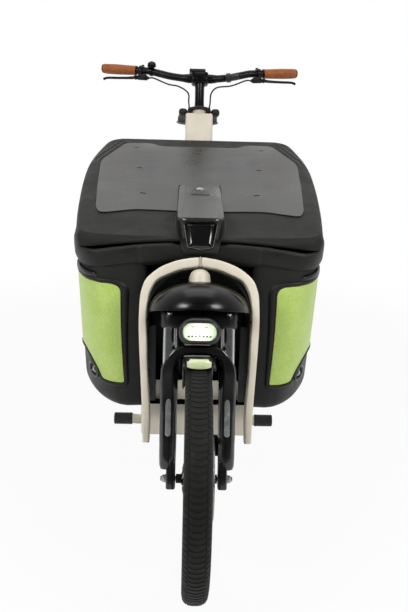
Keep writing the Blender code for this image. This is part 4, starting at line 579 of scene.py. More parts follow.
# Head tube: a turned steel tube with a pressed dome welded on top.
work = bmesh.new()
profile = [(0, 0.4510), (0.0055, 0.4506), (0.0110, 0.4490), (0.0160, 0.4460), (0.0200, 0.4418)]
profile += [(0.0226, 0.4366), (0.0238, 0.4310), (0.0242, 0.4240), (0.0246, 0.4190)]
profile += [(0.0275, 0.4170), (0.0275, 0.3740), (0.0282, 0.3735), (0.0282, 0.3722)]
profile += [(0.0275, 0.3716), (0.0155, 0.3716), (0.0155, 0.441), (0, 0.441)]
lathe(work, profile, STEER, 64)
piece("head_tube_dome", work, cream_paint, "frame", "cream_paint", "head_tube")

# Gooseneck and beam: one tapered box section from the head tube down behind the wheel and back
# under the box, with two cross members that carry the box, and the stand's lugs.
work = bmesh.new()
NECK = STEER @ Vector((0, 0.012, 0.426))
neck = [(NECK.y - FRONT_AXLE_Y, NECK.z, 0.0235, 0.0215), (0.262, 0.618, 0.027, 0.026)]
neck += [(0.302, 0.560, 0.030, 0.028), (0.322, 0.480, 0.032, 0.028), (0.328, 0.400, 0.034, 0.028)]
neck += [(0.340, 0.335, 0.038, 0.028), (0.372, 0.286, 0.044, 0.029), (0.430, 0.266, 0.048, 0.036)]
neck += [(0.500, 0.265, 0.048, 0.040)]
middles = flowing([(0, back, height) for back, height, _, _ in neck], 5)
sizes = flowing([(0, wide, deep) for _, _, wide, deep in neck], 5)
stations = [(m.y, m.z, s.y, s.z) for m, s in zip(middles, sizes)] + [(1.088, 0.265, 0.048, 0.040)]
stations = [row for row in stations if row[0] > 0.236]
bar(work, stations, 0.011, 5)
block(work, (0.280, 0.043, 0.0977), at(0, 0.3235, 0.26085), None, 0.006)
block(work, (0.400, 0.036, 0.0287), at(0, 0.760, 0.29535), None, 0.005)
lug = [(0.810, 0.240), *arc((0.840, 0.205), 0.022, -180, 0, 17), (0.870, 0.240)]
for side in (-1, 1):
    plate(work, lug, side * 0.040, 0.004, 0.001)
piece("beam_and_neck", work, cream_paint, "frame", "cream_paint", "main_beam", sharp=50)
work = bmesh.new()
for side in (-1, 1):
    bead(work, [at(side * 0.0485, back, 0.3005) for back in (0.742, 0.760, 0.778)], 0.0018)
piece("beam_welds", work, weld_bead, "frame", "cream_paint")

# Steering column: a rectangular tube standing on the beam, with a plate gusset at its foot and a
# turned neck on top for the stem.
work = bmesh.new()
length = (COLUMN_TOP - COLUMN_FOOT) / math.sin(LEAN)
rings = []
for inset, along in (
    (0.0025, -length), (0.0, -length + 0.003), (0.0, -0.0035), (0.0012, -0.001), (0.0035, 0.0),
):
    ring = rounded(0.0465 - inset, 0.030 - inset, 0.0085, 5)
    rings.append([COLUMN @ Vector((x, y, along)) for x, y in ring])
skin(work, rings)
profile = [(0.0130, -0.01), (0.0225, -0.01), (0.0225, 0.0148), (0.0215, 0.016), (0.0130, 0.016)]
lathe(work, profile, COLUMN, 40)


def behind(height, extra):
    """How far back the column's rear face is at a height, and so much more."""
    back = COLUMN_TOP_BACK - (COLUMN_TOP - height) / math.tan(LEAN)
    return back + 0.030 / math.sin(LEAN) + extra


gusset = [(0.3053, 0.105), (0.42, 0.075), (0.50, 0.033), (0.58, 0.004), (0.58, -0.012)]
gusset += [(0.42, -0.012), (0.385, -0.004), (0.370, 0.030), (0.3053, 0.030)]
plate(work, [(behind(height, extra), height) for height, extra in gusset], 0, 0.033, 0.002)
piece("column_tube", work, cream_paint, "frame", "cream_paint", "steering_column", sharp=50)
work = bmesh.new()
rim = [COLUMN @ Vector((x, y, 0.0004)) for x, y in arc((0, 0), 0.0232, 0, 360, 40)]
bead(work, rim, 0.0016)
for side in (-1, 1):
    edge = [at(side * 0.0335, behind(h, 0.0005), h) for h in (0.40, 0.46, 0.52, 0.57)]
    bead(work, edge, 0.0018)
piece("column_welds", work, weld_bead, "frame", "cream_paint")

# Rear frame: the beam on to the motor with the battery's rubber-faced dock, the seat tube with its
# quick clamp, and on each side a chain stay, a seat stay and a laser-cut dropout.
work = bmesh.new()
bar(
    work,
    [(1.0883, 0.265, 0.048, 0.040), (1.400, 0.265, 0.048, 0.040), (1.5117, 0.265, 0.040, 0.040)],
    0.011, 5,
)
piece("rear_beam_tube", work, cream_paint, "frame", "cream_paint", "rear_beam", sharp=50)
dock_rubber = substance("dock_rubber", "#1B1B1A", "#262625", (0.6, 0.75), 25, 0.8, 0.08)
work = bmesh.new()
block(work, (0.070, 0.330, 0.014), at(0, 1.300, 0.308), None, 0.002)
for i in range(12):
    block(work, (0.0715, 0.006, 0.011), at(0, 1.1515 + 0.027 * i, 0.3085), None, 0.001, 2)
piece("battery_dock", work, dock_rubber, "frame", "black_plastic", "rear_beam")
work = bmesh.new()
top = 0.4935
profile = [(0, 0.0705), (0.0155, 0.0705), (0.0155, top + 0.004), (0.0190, top + 0.004)]
profile += [(0.0190, 0.0585), (0, 0.0585)]
lathe(work, profile, SEAT, 48)
piece("seat_tube_pipe", work, cream_paint, "frame", "cream_paint", "seat_tube")
alloy_black = substance(
    "black_anodised_alloy", "#161617", "#232324", (0.30, 0.42), 18, 0.35, 0.012, Metallic=0.75
)
work = bmesh.new()
profile = [(0.0192, top + 0.0035), (0.0228, top + 0.0035), (0.0235, top + 0.0025)]
profile += [(0.0235, top - 0.0145), (0.0228, top - 0.0155), (0.0192, top - 0.0155)]
lathe(work, profile, SEAT, 48)
block(work, (0.012, 0.014, 0.017), (0, 0.0262, top - 0.006), SEAT, 0.0015)
hex_bolt(work, SEAT @ across((1, 0, 0), (0.006, 0.0285, top - 0.006)), 0.0036, 0.0030)
piece("seat_clamp", work, alloy_black, "frame", "black_anodised", "seat_tube")
for word, side in (("left", 1), ("right", -1)):
    work = bmesh.new()
    lower, upper = [], []
    for x, rear, share in (
        (0.0345, 0.0765, 0.0), (0.0365, 0.113, 0.02), (0.0445, 0.168, 0.13), (0.0560, 0.273, 0.49),
        (0.0675, 0.383, 0.81), (0.0700, 0.458, 0.966),
    ):
        height = mix(CRANK_HEIGHT, REAR_RADIUS, share)
        lower.append(at(side * x, CRANK_BACK + rear, height))
    for x, share, fall in (
        (0.004, 0.0, 0.0), (0.026, 0.046, 0.023), (0.046, 0.203, 0.172), (0.060, 0.522, 0.504),
        (0.0700, 1.0, 1.0),
    ):
        back = mix(CRANK_BACK + 0.113, 2.045, share)
        upper.append(at(side * x, back, mix(0.604, 0.348, fall)))
    pipe(work, flowing(lower, 5), 0.0100, 24)
    pipe(work, flowing(upper, 5), 0.0085, 24)
    ear = arc((WHEELBASE, REAR_RADIUS), 0.019, -110, 90, 17)
    ear += [(2.020, 0.3625), (2.016, 0.345), (2.020, 0.3185)]
    plate(work, ear, side * 0.07005, 0.00375, 0.0012)
    if side > 0:
        block(work, (0.01125, 0.024, 0.040), (0.0644, -0.056, 0.042), REAR_AXLE, 0.002)
    piece(
        f"rear_stays_{word}_tubes", work, cream_paint, "frame", "cream_paint", f"rear_stays_{word}"
    )

# The cargo box: one rotation-moulded tub of black polyethylene, fine-grained outside. It has a bay
# in front for the wheel, a rolled rim, hinge knuckles behind and a grip and a bumper at each front
# corner.
box_plastic = substance(
    "box_polyethylene", "#11110F", "#191917", (0.44, 0.60), 45, 0.55, 0.06, Specular_IOR_Level=0.35
)
satin_black = substance("satin_black", "#111110", "#191918", (0.28, 0.42), 30, 0.45, 0.02)

BOX_FLOOR = 0.310
# The rim and the lid both rise to the rear by this much for each metre.
RIM_RISE = 0.205


def rim_plane(back):
    """The height of the rim where it isn't arched."""
    return 0.649 + RIM_RISE * back


def rim_height(x, back):
    """The rim's height: its plane, arched a little across the front."""
    over = max(0.0, 1 - (x / 0.30) ** 2)
    forward = clamp((0.45 - back) / 0.2)
    return rim_plane(back) + 0.030 * over * forward


def half_plan(share):
    """Half of the box's plan at a share of its height, from the wheel bay round to the rear."""
    half = [(0.0, 0.402), (0.115, 0.402), (0.125, 0.392), (0.125, 0.268)]
    half += [(0.129, 0.2595), (0.137, 0.2570)]
    corner, power = mix(0.176, 0.232, share), mix(1.20, 1.0, share)
    side_x, side_back = mix(0.309, 0.304, share), mix(0.540, 0.400, share)
    bulge_x, bulge_back = mix(0.308, 0.317, share), mix(0.660, 0.760, share)
    tail_x, tail_back = mix(0.290, 0.303, share), mix(0.800, 0.980, share)
    rear, rear_x = mix(0.860, 1.050, share), mix(0.235, 0.252, share)
    for i in range(8):
        turn = math.pi / 2 * i / 7
        x = mix(corner, side_x, math.sin(turn) ** power)
        half.append((x, mix(side_back, 0.255, math.cos(turn) ** power)))
    half.append((mix(side_x, bulge_x, 0.8), mix(side_back, bulge_back, 0.5)))
    half.append((bulge_x, bulge_back))
    half.append((mix(bulge_x, tail_x, 0.3), mix(bulge_back, tail_back, 0.5)))
    for i in range(5):
        turn = math.pi / 2 * i / 4
        half.append((mix(rear_x, tail_x, math.cos(turn)), mix(tail_back, rear, math.sin(turn))))
    half.append((0.0, rear))
    return half


def plan_at(share, t, outset=0.0):
    """The plan's point number t, smooth between the drawn ones, moved out by so much."""
    half = half_plan(share)
    i = min(int(t), len(half) - 2)
    f = t - i
    b, c = Vector(half[i]), Vector(half[i + 1])
    if 5 <= i < 21:
        a = Vector(half[i - 1]) if i > 6 else b - (c - b)
        d = Vector(half[i + 2]) if i < 20 else c + (c - b)
        spot = between(a, b, c, d, f)
        bent, tail = 2 * a - 5 * b + 4 * c - d, 3 * b - a - 3 * c + d
        along = 0.5 * ((c - a) + 2 * bent * f + 3 * tail * f**2)
    else:
        spot, along = b.lerp(c, f), c - b
    along = along.normalized() if along.length > 1e-9 else Vector((1, 0))
    return spot + Vector((along.y, -along.x)) * outset


def box_skin(side, t, share, outset=0.0):
    """A place on the box's outside: point t of the plan at a share of the height."""
    x, back = plan_at(share, t, outset)
    return at(side * x, back, mix(BOX_FLOOR, rim_height(x, back), share))


turns = [0.0, 0.4, 0.8, 1.0, 1.35, 1.65, 2.0, 2.5, 3.0, 3.35, 3.7, 4.0, 4.35, 4.7, 5.0, 5.25]
turns += [5.5, 5.75, *(6 + i / 4 for i in range(60)), 21.0, 21.25, 21.5, 21.75, 22.0]


def box_ring(share, outset, rise=0.0, inside=False):
    """A ring round the box. Outside, the bay's walls stay put when the rest moves out."""
    ring = []
    for side in (1, -1):
        half = []
        for t in turns:
            x, back = plan_at(share, t, outset if t >= 4 or inside else 0.0)
            x = max(x, 0.0)
            half.append(at(side * x, back, mix(BOX_FLOOR, rim_height(x, back), share) + rise))
        ring += half if side > 0 else half[-2:0:-1]
    return ring


work = bmesh.new()
rings = [box_ring(0.0, -0.016), box_ring(0.0, -0.010, 0.0012), box_ring(0.0, -0.005, 0.004)]
rings += [box_ring(0.0, -0.0015, 0.010), box_ring(0.03, 0.0, 0.004)]
rings += [box_ring(0.08 + 0.0625 * i, 0.0) for i in range(13)]
# The rim's band and flange, up to the edge, and down again inside to the floor.
for share, outset in (
    (0.872, 0.0), (0.884, 0.0012), (0.893, 0.0045), (0.901, 0.0078), (0.909, 0.0090),
    (0.950, 0.0094), (0.984, 0.0090), (0.992, 0.0075), (0.997, 0.0050), (0.998, 0.0020),
):
    rings.append(box_ring(share, outset))
for share, outset, rise in (
    (0.994, -0.0015, 0.0), (0.982, -0.0035, 0.0), (0.90, -0.0040, 0.0), (0.75, -0.0040, 0.0),
    (0.6, -0.0040, 0.0), (0.45, -0.0040, 0.0), (0.3, -0.0040, 0.0), (0.15, -0.0040, 0.0),
    (0.06, -0.0040, 0.0), (0.02, -0.0070, 0.002), (0.0, -0.0140, 0.0050),
):
    rings.append(box_ring(share, outset, rise, True))
skin(work, rings)
HINGE_X, HINGE_BACK = 0.166, 1.072
axis = rim_height(0, HINGE_BACK) - 0.006
for side in (-1, 1):
    knuckle = [(1.046, axis - 0.012), (1.046, axis - 0.070)]
    knuckle += arc((HINGE_BACK, axis), 0.0058, -90, 150, 15)
    plate(work, knuckle, side * HINGE_X, 0.007, 0.0012)
# The front lip swells out of the wall over the hoop's peak and melts into it at both ends.
rings = []
for i in range(37):
    x = mix(-0.172, 0.172, i / 36)
    share = min(1.0, (0.172 - abs(x)) / 0.030)
    front = mix(0.2640, 0.2464, share * share * (3 - 2 * share))
    # Under the lid's nose the lip's top is kept down.
    limit = mix(0.7250, 0.7500, clamp((abs(x) - 0.062) / 0.010))
    ring = []
    for inward, level in (
        (0.0155, 0.998), (0.0044, 0.997), (0.0019, 0.992), (0.0004, 0.984), (0.0, 0.950),
        (0.0004, 0.909), (0.0016, 0.901), (0.0049, 0.893), (0.0082, 0.884), (0.0155, 0.872),
    ):
        height = mix(BOX_FLOOR, rim_height(x, 0.255), level)
        ring.append((front + inward, min(height, limit - 0.002 * (level < 0.99))))
    rings.append([at(x, back, height) for back, height in ring])
skin(work, rings)
block(work, (0.400, 0.350, 0.004), at(0, 0.6150, 0.3130), None, 0.0015)
piece("box_shell", work, box_plastic, "frame", "black_plastic", "box_tub", sharp=55)
work = bmesh.new()
profile = [(0, 0.0086), (0.0026, 0.0086), (0.0030, 0.008), (0.0030, -0.008), (0.0026, -0.0086)]
profile += [(0, -0.0086)]
for side in (-1, 1):
    lathe(work, profile, across((1, 0, 0), at(side * HINGE_X, HINGE_BACK, axis)), 16)
piece("hinge_pins", work, bolt_steel, "frame", "bright_steel")

# Corner panels: lime sheet with a fine speckle, laid in a raised frame of the box's own plastic.
# Its lower outer corner is cut round the bumper that holds the box's fixing screw.
lime_skin = substance(
    "lime_speckle", "#BDDC62", "#CBE67C", (0.42, 0.55), 55, 0.9, 0.03, Coat_Weight=0.2,
    Coat_Roughness=0.3,
)
tree, where, sockets = inside(lime_skin)
# Flakes about 1.6 mm across, a few of them paler or deeper than the sheet.
flakes = put(
    tree, "ShaderNodeTexVoronoi", {"Scale": 1000 / 1.6, "Randomness": 1.0}, {"Vector": where}
)
tint = put(tree, "ShaderNodeSeparateColor", None, {0: flakes.outputs["Color"]})
shade = tree.nodes["shade"].outputs[2]
for i, colour, start, end, most in (
    (0, "#DCEEA6", 0.72, 0.95, 0.55), (1, "#9DC046", 0.78, 0.98, 0.45),
):
    chosen = put(
        tree, "ShaderNodeMapRange", {"From Min": start, "From Max": end, "To Max": most},
        {"Value": tint.outputs[i]},
    )
    shade = put(
        tree, "ShaderNodeMix", {"data_type": "RGBA", 7: linear(colour)},
        {0: chosen.outputs[0], 6: shade},
    ).outputs[2]
tree.links.new(shade, sockets["Base Color"])


def four_corners(wide, high, radius, u=0, v=0):
    """A rectangle's corners round (u, v) for eased, from its half width and half height."""
    return [
        (u - wide, v - high, radius), (u + wide, v - high, radius),
        (u + wide, v + high, radius), (u - wide, v + high, radius),
    ]


def eased(points, steps=7, most=0.48):
    """A closed outline of (x, y, corner radius) with its corners rounded."""
    found = []
    for i, (x, y, radius) in enumerate(points):
        here = Vector((x, y))
        before = Vector(points[i - 1][:2]) - here
        after = Vector(points[(i + 1) % len(points)][:2]) - here
        start = here + before.normalized() * min(radius, before.length * most)
        end = here + after.normalized() * min(radius, after.length * most)
        for k in range(steps):
            f = k / (steps - 1)
            found.append(start * (1 - f) ** 2 + here * 2 * f * (1 - f) + end * f**2)
    return [(p.x, p.y) for p in found]


# The outline in (point of the plan, share of the height): inner edge, top, side, foot and notch.
corners = [(5.82, 0.165, 0.2), (5.54, 0.785, 1.0), (7.6, 0.800, 0.6), (9.9, 0.795, 1.0)]
corners += [(13.0, 0.785, 0.6), (13.0, 0.235, 0.6), (10.4, 0.300, 1.0), (9.35, 0.280, 0.8)]
corners += [(8.45, 0.225, 0.8), (8.02, 0.160, 0.35)]
# Laid flat, a step of the plan is about 45 mm and the whole height 360 mm.
STEP, RISE = 0.045, 0.36
flat = [(t * STEP, share * RISE, 0.024 * ease) for t, share, ease in corners]
outline = [Vector(p) for p in eased(flat, 9, 0.45)]
dense = []
for here, after in zip(outline, outline[1:] + outline[:1]):
    steps = max(1, int((after - here).length / 0.008))
    dense += [here.lerp(after, k / steps) for k in range(steps)]
centre = Vector((8.9 * STEP, 0.52 * RISE))


def on_panel(side, spot, outset):
    return box_skin(side, spot.x / STEP, spot.y / RISE, outset)


for word, side in (("left", 1), ("right", -1)):
    work = bmesh.new()
    rings = [[on_panel(side, p, 0.0006) for p in dense]]
    levels = [(0.0, 0.0030), (0.004, 0.0037), (0.010, 0.0039)]
    levels += [(mix(0.010, 0.97, k / 11), 0.0039) for k in range(1, 12)]
    for inward, lift in levels:
        rings.append([on_panel(side, p.lerp(centre, inward), lift) for p in dense])
    skin(work, rings)
    piece(
        f"corner_panel_{word}", work, lime_skin, "frame", "lime_panel", f"side_panel_{word}",
        sharp=60,
    )
    work = bmesh.new()
    rings = []
    for outward, lift in (
        (0.0015, 0.0008), (0.0015, 0.0044), (0.0030, 0.0056), (0.0060, 0.0058), (0.0085, 0.0046),
        (0.0105, 0.0008),
    ):
        ring = []
        for i, p in enumerate(dense):
            along = (dense[(i + 1) % len(dense)] - dense[i - 1]).normalized()
            ring.append(on_panel(side, p + Vector((-along.y, along.x)) * outward, lift))
        rings.append(ring)
    skin(work, rings, closed=True)
    piece(f"panel_frame_{word}", work, box_plastic, "frame", "black_plastic", sharp=60)
    # Bumper round the fixing screw, low on the corner, and the grip under the rim above it.
    work = bmesh.new()
    rings = []
    for grow, lift in (
        (1.0, 0.0006), (1.0, 0.0040), (0.92, 0.0052), (0.80, 0.0052), (0.72, 0.0030),
        (0.70, 0.0009),
    ):
        ring = []
        for k in range(40):
            turn = 2 * math.pi * k / 40
            t, share = 9.15 + 0.62 * grow * math.cos(turn), 0.178 + 0.052 * grow * math.sin(turn)
            ring.append(box_skin(side, t, share, lift))
        rings.append(ring)
    skin(work, rings, closed=True)
    rings = []
    for k in range(25):
        t = mix(7.1, 10.9, k / 24)
        fade = math.sin(math.pi * k / 24) ** 0.5
        ring = []
        for u, v in rounded(0.0038, 0.0045, 0.0030, 3):
            share = 0.846 - 0.012 * (1 - fade) + v / RISE
            ring.append(box_skin(side, t, share, 0.0005 + (0.0055 + u) * fade))
        rings.append(ring)
    skin(work, rings)
    piece(f"corner_bumper_{word}", work, satin_black, "frame", "black_plastic")
    work = bmesh.new()
    spot = box_skin(side, 9.15, 0.178, 0.0002)
    out = box_skin(side, 9.15, 0.178, 0.01) - spot
    hex_bolt(work, across(out, spot), 0.0062, 0.0040)
    piece(f"box_screw_{word}", work, bolt_steel, "frame", "bright_steel")

# Wheel arch liner: thin black sheet pressed to an arch, screwed to the hoop.
liner_black = substance("liner_sheet", "#0D0D0D", "#151515", (0.5, 0.65), 30, 0.6, 0.05)
work = bmesh.new()
rings = []
for x_out, z_cut in ((0.1247, 0.0), (0.1217, 0.003)):
    arch = [(x_out, 0.3105), (x_out, 0.44), (x_out, 0.52)]
    for i in range(13):
        turn = math.pi / 2 * i / 12
        arch.append((x_out * math.cos(turn), mix(0.560, 0.6725 - z_cut, math.sin(turn))))
    rings.append(whole(arch))
outer, inner = rings
loops = []
for back, flat in ((0.390, 0.0), (0.2275, 0.0), (0.226, 0.0008)):
    loops.append([at(x * (1 - flat), back, z) for x, z in outer])
for back in (0.226, 0.2275, 0.390):
    loops.append([at(x, back, z) for x, z in inner])
rows = [[work.verts.new(p) for p in loop] for loop in loops]
for row, following in zip(rows, rows[1:] + rows[:1]):
    for i in range(len(row) - 1):
        work.faces.new((row[i], row[i + 1], following[i + 1], following[i]))
for end in (0, -1):
    work.faces.new([row[end] for row in rows])
for side in (-1, 1):
    block(work, (0.023, 0.006, 0.1945), at(side * 0.1122, 0.243, 0.43275), None, 0.002)
piece("arch_liner", work, liner_black, "frame", "black_plastic", "wheel_arch_liner", sharp=50)
# Behind the wheel the beam's first crossmember stands up as a plate across the bay.
work = bmesh.new()
half = [(0.1195, 0.3630, 0.008), (0.1195, 0.285, 0.001)]
slab(work, eased(whole(half)), 0.3000, 0.3080, FRONT_ON, 0.0010)
piece("bay_cross_plate", work, cream_paint, "frame", "cream_paint")

# The lid: a black moulding with a pebbled skin and a rolled edge, which laps over the box's rim. It
# turns on two pins behind, and its locking nose stands over the box's front lip.
lid_grain = substance(
    "lid_pebble_grain", "#1B1C18", "#242520", (0.54, 0.70), 50, 0.5, 0.05, Specular_IOR_Level=0.25
)
tree, where, sockets = inside(lid_grain)
# Pebbles about 1.1 mm across, 0.14 mm deep.
pebbles = put(
    tree, "ShaderNodeTexVoronoi",
    {"feature": "SMOOTH_F1", "Scale": 1000 / 1.1, "Smoothness": 0.6}, {"Vector": where},
)
rough_skin = put(
    tree, "ShaderNodeMath", {"operation": "ADD"},
    {0: pebbles.outputs["Distance"], 1: tree.nodes["grain"].outputs["Fac"]},
)
relief = tree.nodes["relief"]
relief.inputs["Distance"].default_value = 0.00014
tree.links.new(rough_skin.outputs[0], relief.inputs["Height"])
lid_plan = [(0.0, 0.256), (0.035, 0.2563), (0.070, 0.257), (0.140, 0.259), (0.205, 0.262)]
lid_plan += [(0.258, 0.268), (0.284, 0.280), (0.296, 0.300), (0.302, 0.345), (0.314, 0.450)]
lid_plan += [(0.326, 0.600), (0.332, 0.720), (0.333, 0.800), (0.328, 0.880), (0.317, 0.960)]
lid_plan += [(0.305, 1.030), (0.294, 1.060), (0.276, 1.074), (0.256, 1.080), (0.20, 1.080)]
lid_plan += [(0.10, 1.080), (0.0, 1.080)]


def lid_plane(back):
    """The height of the lid's middle, which rises to the rear."""
    return 0.694 + RIM_RISE * back


def lid_height(x, back):
    """The lid's top: its plane, falling away ahead of the panel to the front edge."""
    fall = clamp((0.408 - back) / 0.115)
    return lid_plane(back) - 0.0075 * fall * fall * (3 - 2 * fall)


smooth_half = flowing([(x, back, 0) for x, back in lid_plan], 5)
LID_MIDDLE, LID_REACH, LID_HALF = 0.668, 0.412, 0.333


def lid_ring(inset, height):
    """A ring round the lid, drawn in by so much, at the height that the rule gives."""
    half = []
    for spot in smooth_half:
        back = LID_MIDDLE + (spot.y - LID_MIDDLE) * (1 - inset / LID_REACH)
        half.append((max(spot.x, 0.0) * (1 - inset / LID_HALF), back))
    return [at(x, back, height(x, back)) for x, back in whole(half)]


def over_rim(above):
    """A rule for a height above the box's rim."""
    return lambda x, back: rim_height(x, back) + above


def edge_height(above, below=0.0):
    """A rule for a level of the lid's edge, which stays over the rim where that is arched."""

    def height(x, back):
        low = rim_height(x, back) + 0.0055
        return max(rim_plane(back) + above, low + above * 0.12) - below

    return height


def under_lid(x, back):
    return lid_height(x, back) - 0.0045


rings = [lid_ring(0.0045, over_rim(0.0040)), lid_ring(0.0030, over_rim(0.0022))]
rings += [lid_ring(0.0010, over_rim(0.0030))]
for inset, above in (
    (0.0, 0.012), (0.0, 0.020), (0.0012, 0.0265), (0.0036, 0.0325), (0.0072, 0.0378),
):
    rings.append(lid_ring(inset, edge_height(above)))
shoulder = edge_height(0.0378)
for inset, share in ((0.0120, 0.42), (0.0175, 0.80), (0.0235, 1.0)):
    rings.append(lid_ring(inset, lambda x, b, s=share: mix(shoulder(x, b), lid_height(x, b), s)))
for inset in (0.032, 0.045, 0.060, 0.078, 0.100, 0.125, 0.155, 0.19, 0.23, 0.28, 0.325):
    rings.append(lid_ring(inset, lid_height))
rings = rings[::-1]
rings += [lid_ring(0.0060, over_rim(0.0060)), lid_ring(0.0080, edge_height(0.026, 0.004))]
rings += [lid_ring(inset, under_lid) for inset in (0.0220, 0.10, 0.20, 0.32)]
work = bmesh.new()
skin(work, rings)


def as_built(thing):
    """The mesh of an object with its modifiers at work."""
    bpy.context.view_layer.update()
    built = thing.evaluated_get(bpy.context.evaluated_depsgraph_get())
    return bpy.data.meshes.new_from_object(built)


def carve(work, cutters):
    """Cuts blocks out of a mesh and gives it back."""
    found = []
    for source in (work, cutters):
        mesh = bpy.data.meshes.new("carving")
        bmesh.ops.recalc_face_normals(source, faces=source.faces)
        source.to_mesh(mesh)
        source.free()
        found.append(placed("carving", mesh))
    solid, tool = found
    knife = solid.modifiers.new("cut", "BOOLEAN")
    knife.operation = "DIFFERENCE"
    knife.object = tool
    knife.solver = "EXACT"
    cut = bmesh.new()
    cut.from_mesh(as_built(solid))
    for one in found:
        bpy.data.objects.remove(one)
    return cut


notches = bmesh.new()
for side in (-1, 1):
    block(notches, (0.018, 0.060, 0.12), at(side * HINGE_X, 1.088, axis + 0.012), None, 0.002)
work = carve(work, notches)
piece("lid_moulding", work, lid_grain, "lid", "black_plastic", "lid_shell", sharp=50)

# Smoke-grey plastic sheet with a gloss face, hazed by wiping: the lid's panel and the nose's cap.
grey_sheet = substance("smoke_grey_gloss", "#2A2A28", "#333331", (0.24, 0.34), 120, 6.0, 0.0004)
tree, where, sockets = inside(grey_sheet)
tree.nodes["drift"].inputs["Detail"].default_value = 0.5
# Wiping marks run across the sheet, 33 mm apart and 90 mm long: they only change its gloss.
stretch = put(tree, "ShaderNodeMapping", {"Scale": (11, 30, 30)}, {"Vector": where})
wiped = put(
    tree, "ShaderNodeTexNoise", {"Scale": 1.0, "Detail": 2.0}, {"Vector": stretch.outputs[0]}
)
haze = put(
    tree, "ShaderNodeMapRange", {"To Min": -0.04, "To Max": 0.05}, {"Value": wiped.outputs["Fac"]}
)
gloss = sockets["Roughness"]
hazed = put(
    tree, "ShaderNodeMath", {"operation": "ADD"},
    {0: gloss.links[0].from_socket, 1: haze.outputs[0]},
)
tree.links.new(hazed.outputs[0], gloss)

# The locking nose: a smooth block on the lid's middle, topped with the grey sheet and hollowed in
# front to a dark finger pull, its rim a painted highlight. The lock stands behind its bare plate.
def nose_top(back):
    return mix(0.7905, 0.8195, (back - 0.262) / 0.338)


PULL_HEIGHT = 0.7490


def tapered(v):
    """How much of the pull's full width is left so far above its middle."""
    return 1 - 0.28 * (0.5 - v / 0.065)


nose_plan = [(0.0, 0.2430), (0.030, 0.2432), (0.042, 0.2450), (0.0500, 0.2510), (0.0545, 0.261)]
nose_plan += [(0.0560, 0.275), (0.0560, 0.330), (0.0560, 0.4062), (0.0560, 0.470)]
nose_plan += [(0.0560, 0.540), (0.0550, 0.585), (0.0520, 0.600), (0.0450, 0.610)]
nose_plan += [(0.0300, 0.617), (0.0, 0.620)]
work = bmesh.new()
rings = []
for inset, fall in (
    (0.0055, 0.0), (0.0022, 0.02), (0.0006, 0.07), (0.0, 0.16), (0.0, 0.45), (-0.0008, 0.70),
    (-0.0035, 0.90), (-0.0090, 1.0),
):
    half = []
    for x, back in nose_plan:
        forward = clamp((0.300 - back) / 0.045)
        flare = inset if inset > 0 else inset * (1 - forward)
        base = mix(lid_height(x, back) - 0.002, 0.7275, forward)
        drawn = 1 - flare / 0.056 - 0.17 * forward * fall
        length = 0.43 + (back - 0.43) * (1 - max(flare, 0.0) / 0.18)
        half.append((x * drawn, length, mix(nose_top(back), base, fall)))
    rings.append([at(*spot) for spot in whole(half)])
skin(work, rings)
pull = bmesh.new()
mouth = []
for back, grow in ((0.235, 1.0), (0.2500, 0.98), (0.2590, 0.88), (0.2625, 0.72)):
    ring = []
    for u, v in rounded(0.0395, 0.0325, 0.0075, 5):
        ring.append(at(u * grow * tapered(v), back, PULL_HEIGHT + v * grow))
    mouth.append(ring)
skin(pull, mouth)
knife = pull.copy()
work = carve(work, pull)
flap = bmesh.new()
tongue = [(-0.0480, 0.7400), (-0.0435, 0.7150), (-0.0405, 0.7092), (-0.0360, 0.7062)]
tongue += [(-0.0300, 0.7052)]
slab(flap, whole(tongue), 0.2426, 0.2449, FRONT_ON, 0.0007)
add(work, carve(flap, knife))
bmesh.ops.recalc_face_normals(work, faces=work.faces)
# The grey sheet is drawn over the nose's top, and over its flanks where the panel meets them.
for face in work.faces:
    middle = face.calc_center_median()
    back = middle.y - FRONT_AXLE_Y
    on_top = face.normal.z > 0.4 and middle.z > nose_top(back) - 0.004
    face.material_index = int(on_top or (back > 0.4064 and face.normal.z > -0.3))
piece("lock_nose", work, [satin_black, grey_sheet], "lid", "black_plastic", sharp=38)
work = bmesh.new()
edge_line = []
for v in (0.0255, 0.016, 0.006, -0.004, -0.014, -0.022, -0.0265, -0.0295, -0.0318):
    corner = max(0.0, -0.0250 - v)
    wide = 0.0397 - 7.0 * corner * corner / 0.0075
    edge_line.append((wide * tapered(v), PULL_HEIGHT + v))
for side in (-1, 1):
    run = [at(side * x, 0.2428 + 0.0010 * (x > 0.0375), height) for x, height in edge_line]
    pipe(work, flowing(run, 3), 0.0007, 6)
# These pipes round the pull's mouth are light grey as a painted highlight along its rim.
painted_rim_highlight = substance("painted_rim_highlight", "#6E6E6A", "#8C8C87", (0.25, 0.4), 6, 0.4, 0.01)
piece("pull_worn_edges", work, painted_rim_highlight, "lid", "black_plastic", sharp=60)
pull_black = substance(
    "pull_gloss", "#060606", "#0B0B0B", (0.12, 0.2), 20, 0.6, 0.01, Coat_Weight=0.3,
    Coat_Roughness=0.1,
)
work = bmesh.new()
rings = []
for back, grow in (
    (0.2436, 0.992), (0.2446, 0.980), (0.2520, 0.93), (0.2590, 0.82), (0.2612, 0.66),
):
    ring = []
    for u, v in rounded(0.0393, 0.0323, 0.0075, 5):
        height = PULL_HEIGHT + v * grow
        # The bowl stays shallow where it runs down in front of the box's lip.
        deep = mix(min(back, 0.2449), back, clamp((height - 0.7290) / 0.010))
        ring.append(at(u * grow * tapered(v), deep, height))
    rings.append(ring)
bowl(work, rings)
piece("finger_pull", work, pull_black, "lid", "gloss_black")

# The lid's panel of the same sheet, bonded on. Six slots for straps go through it.
LID_SLOPE = math.atan(RIM_RISE)
PANEL_BACK = 0.70


def on_lid(back):
    """A place on the lid's middle line, its Z square to the lid's plane."""
    return Matrix.Translation(at(0, back, lid_plane(back))) @ Matrix.Rotation(LID_SLOPE, 4, "X")


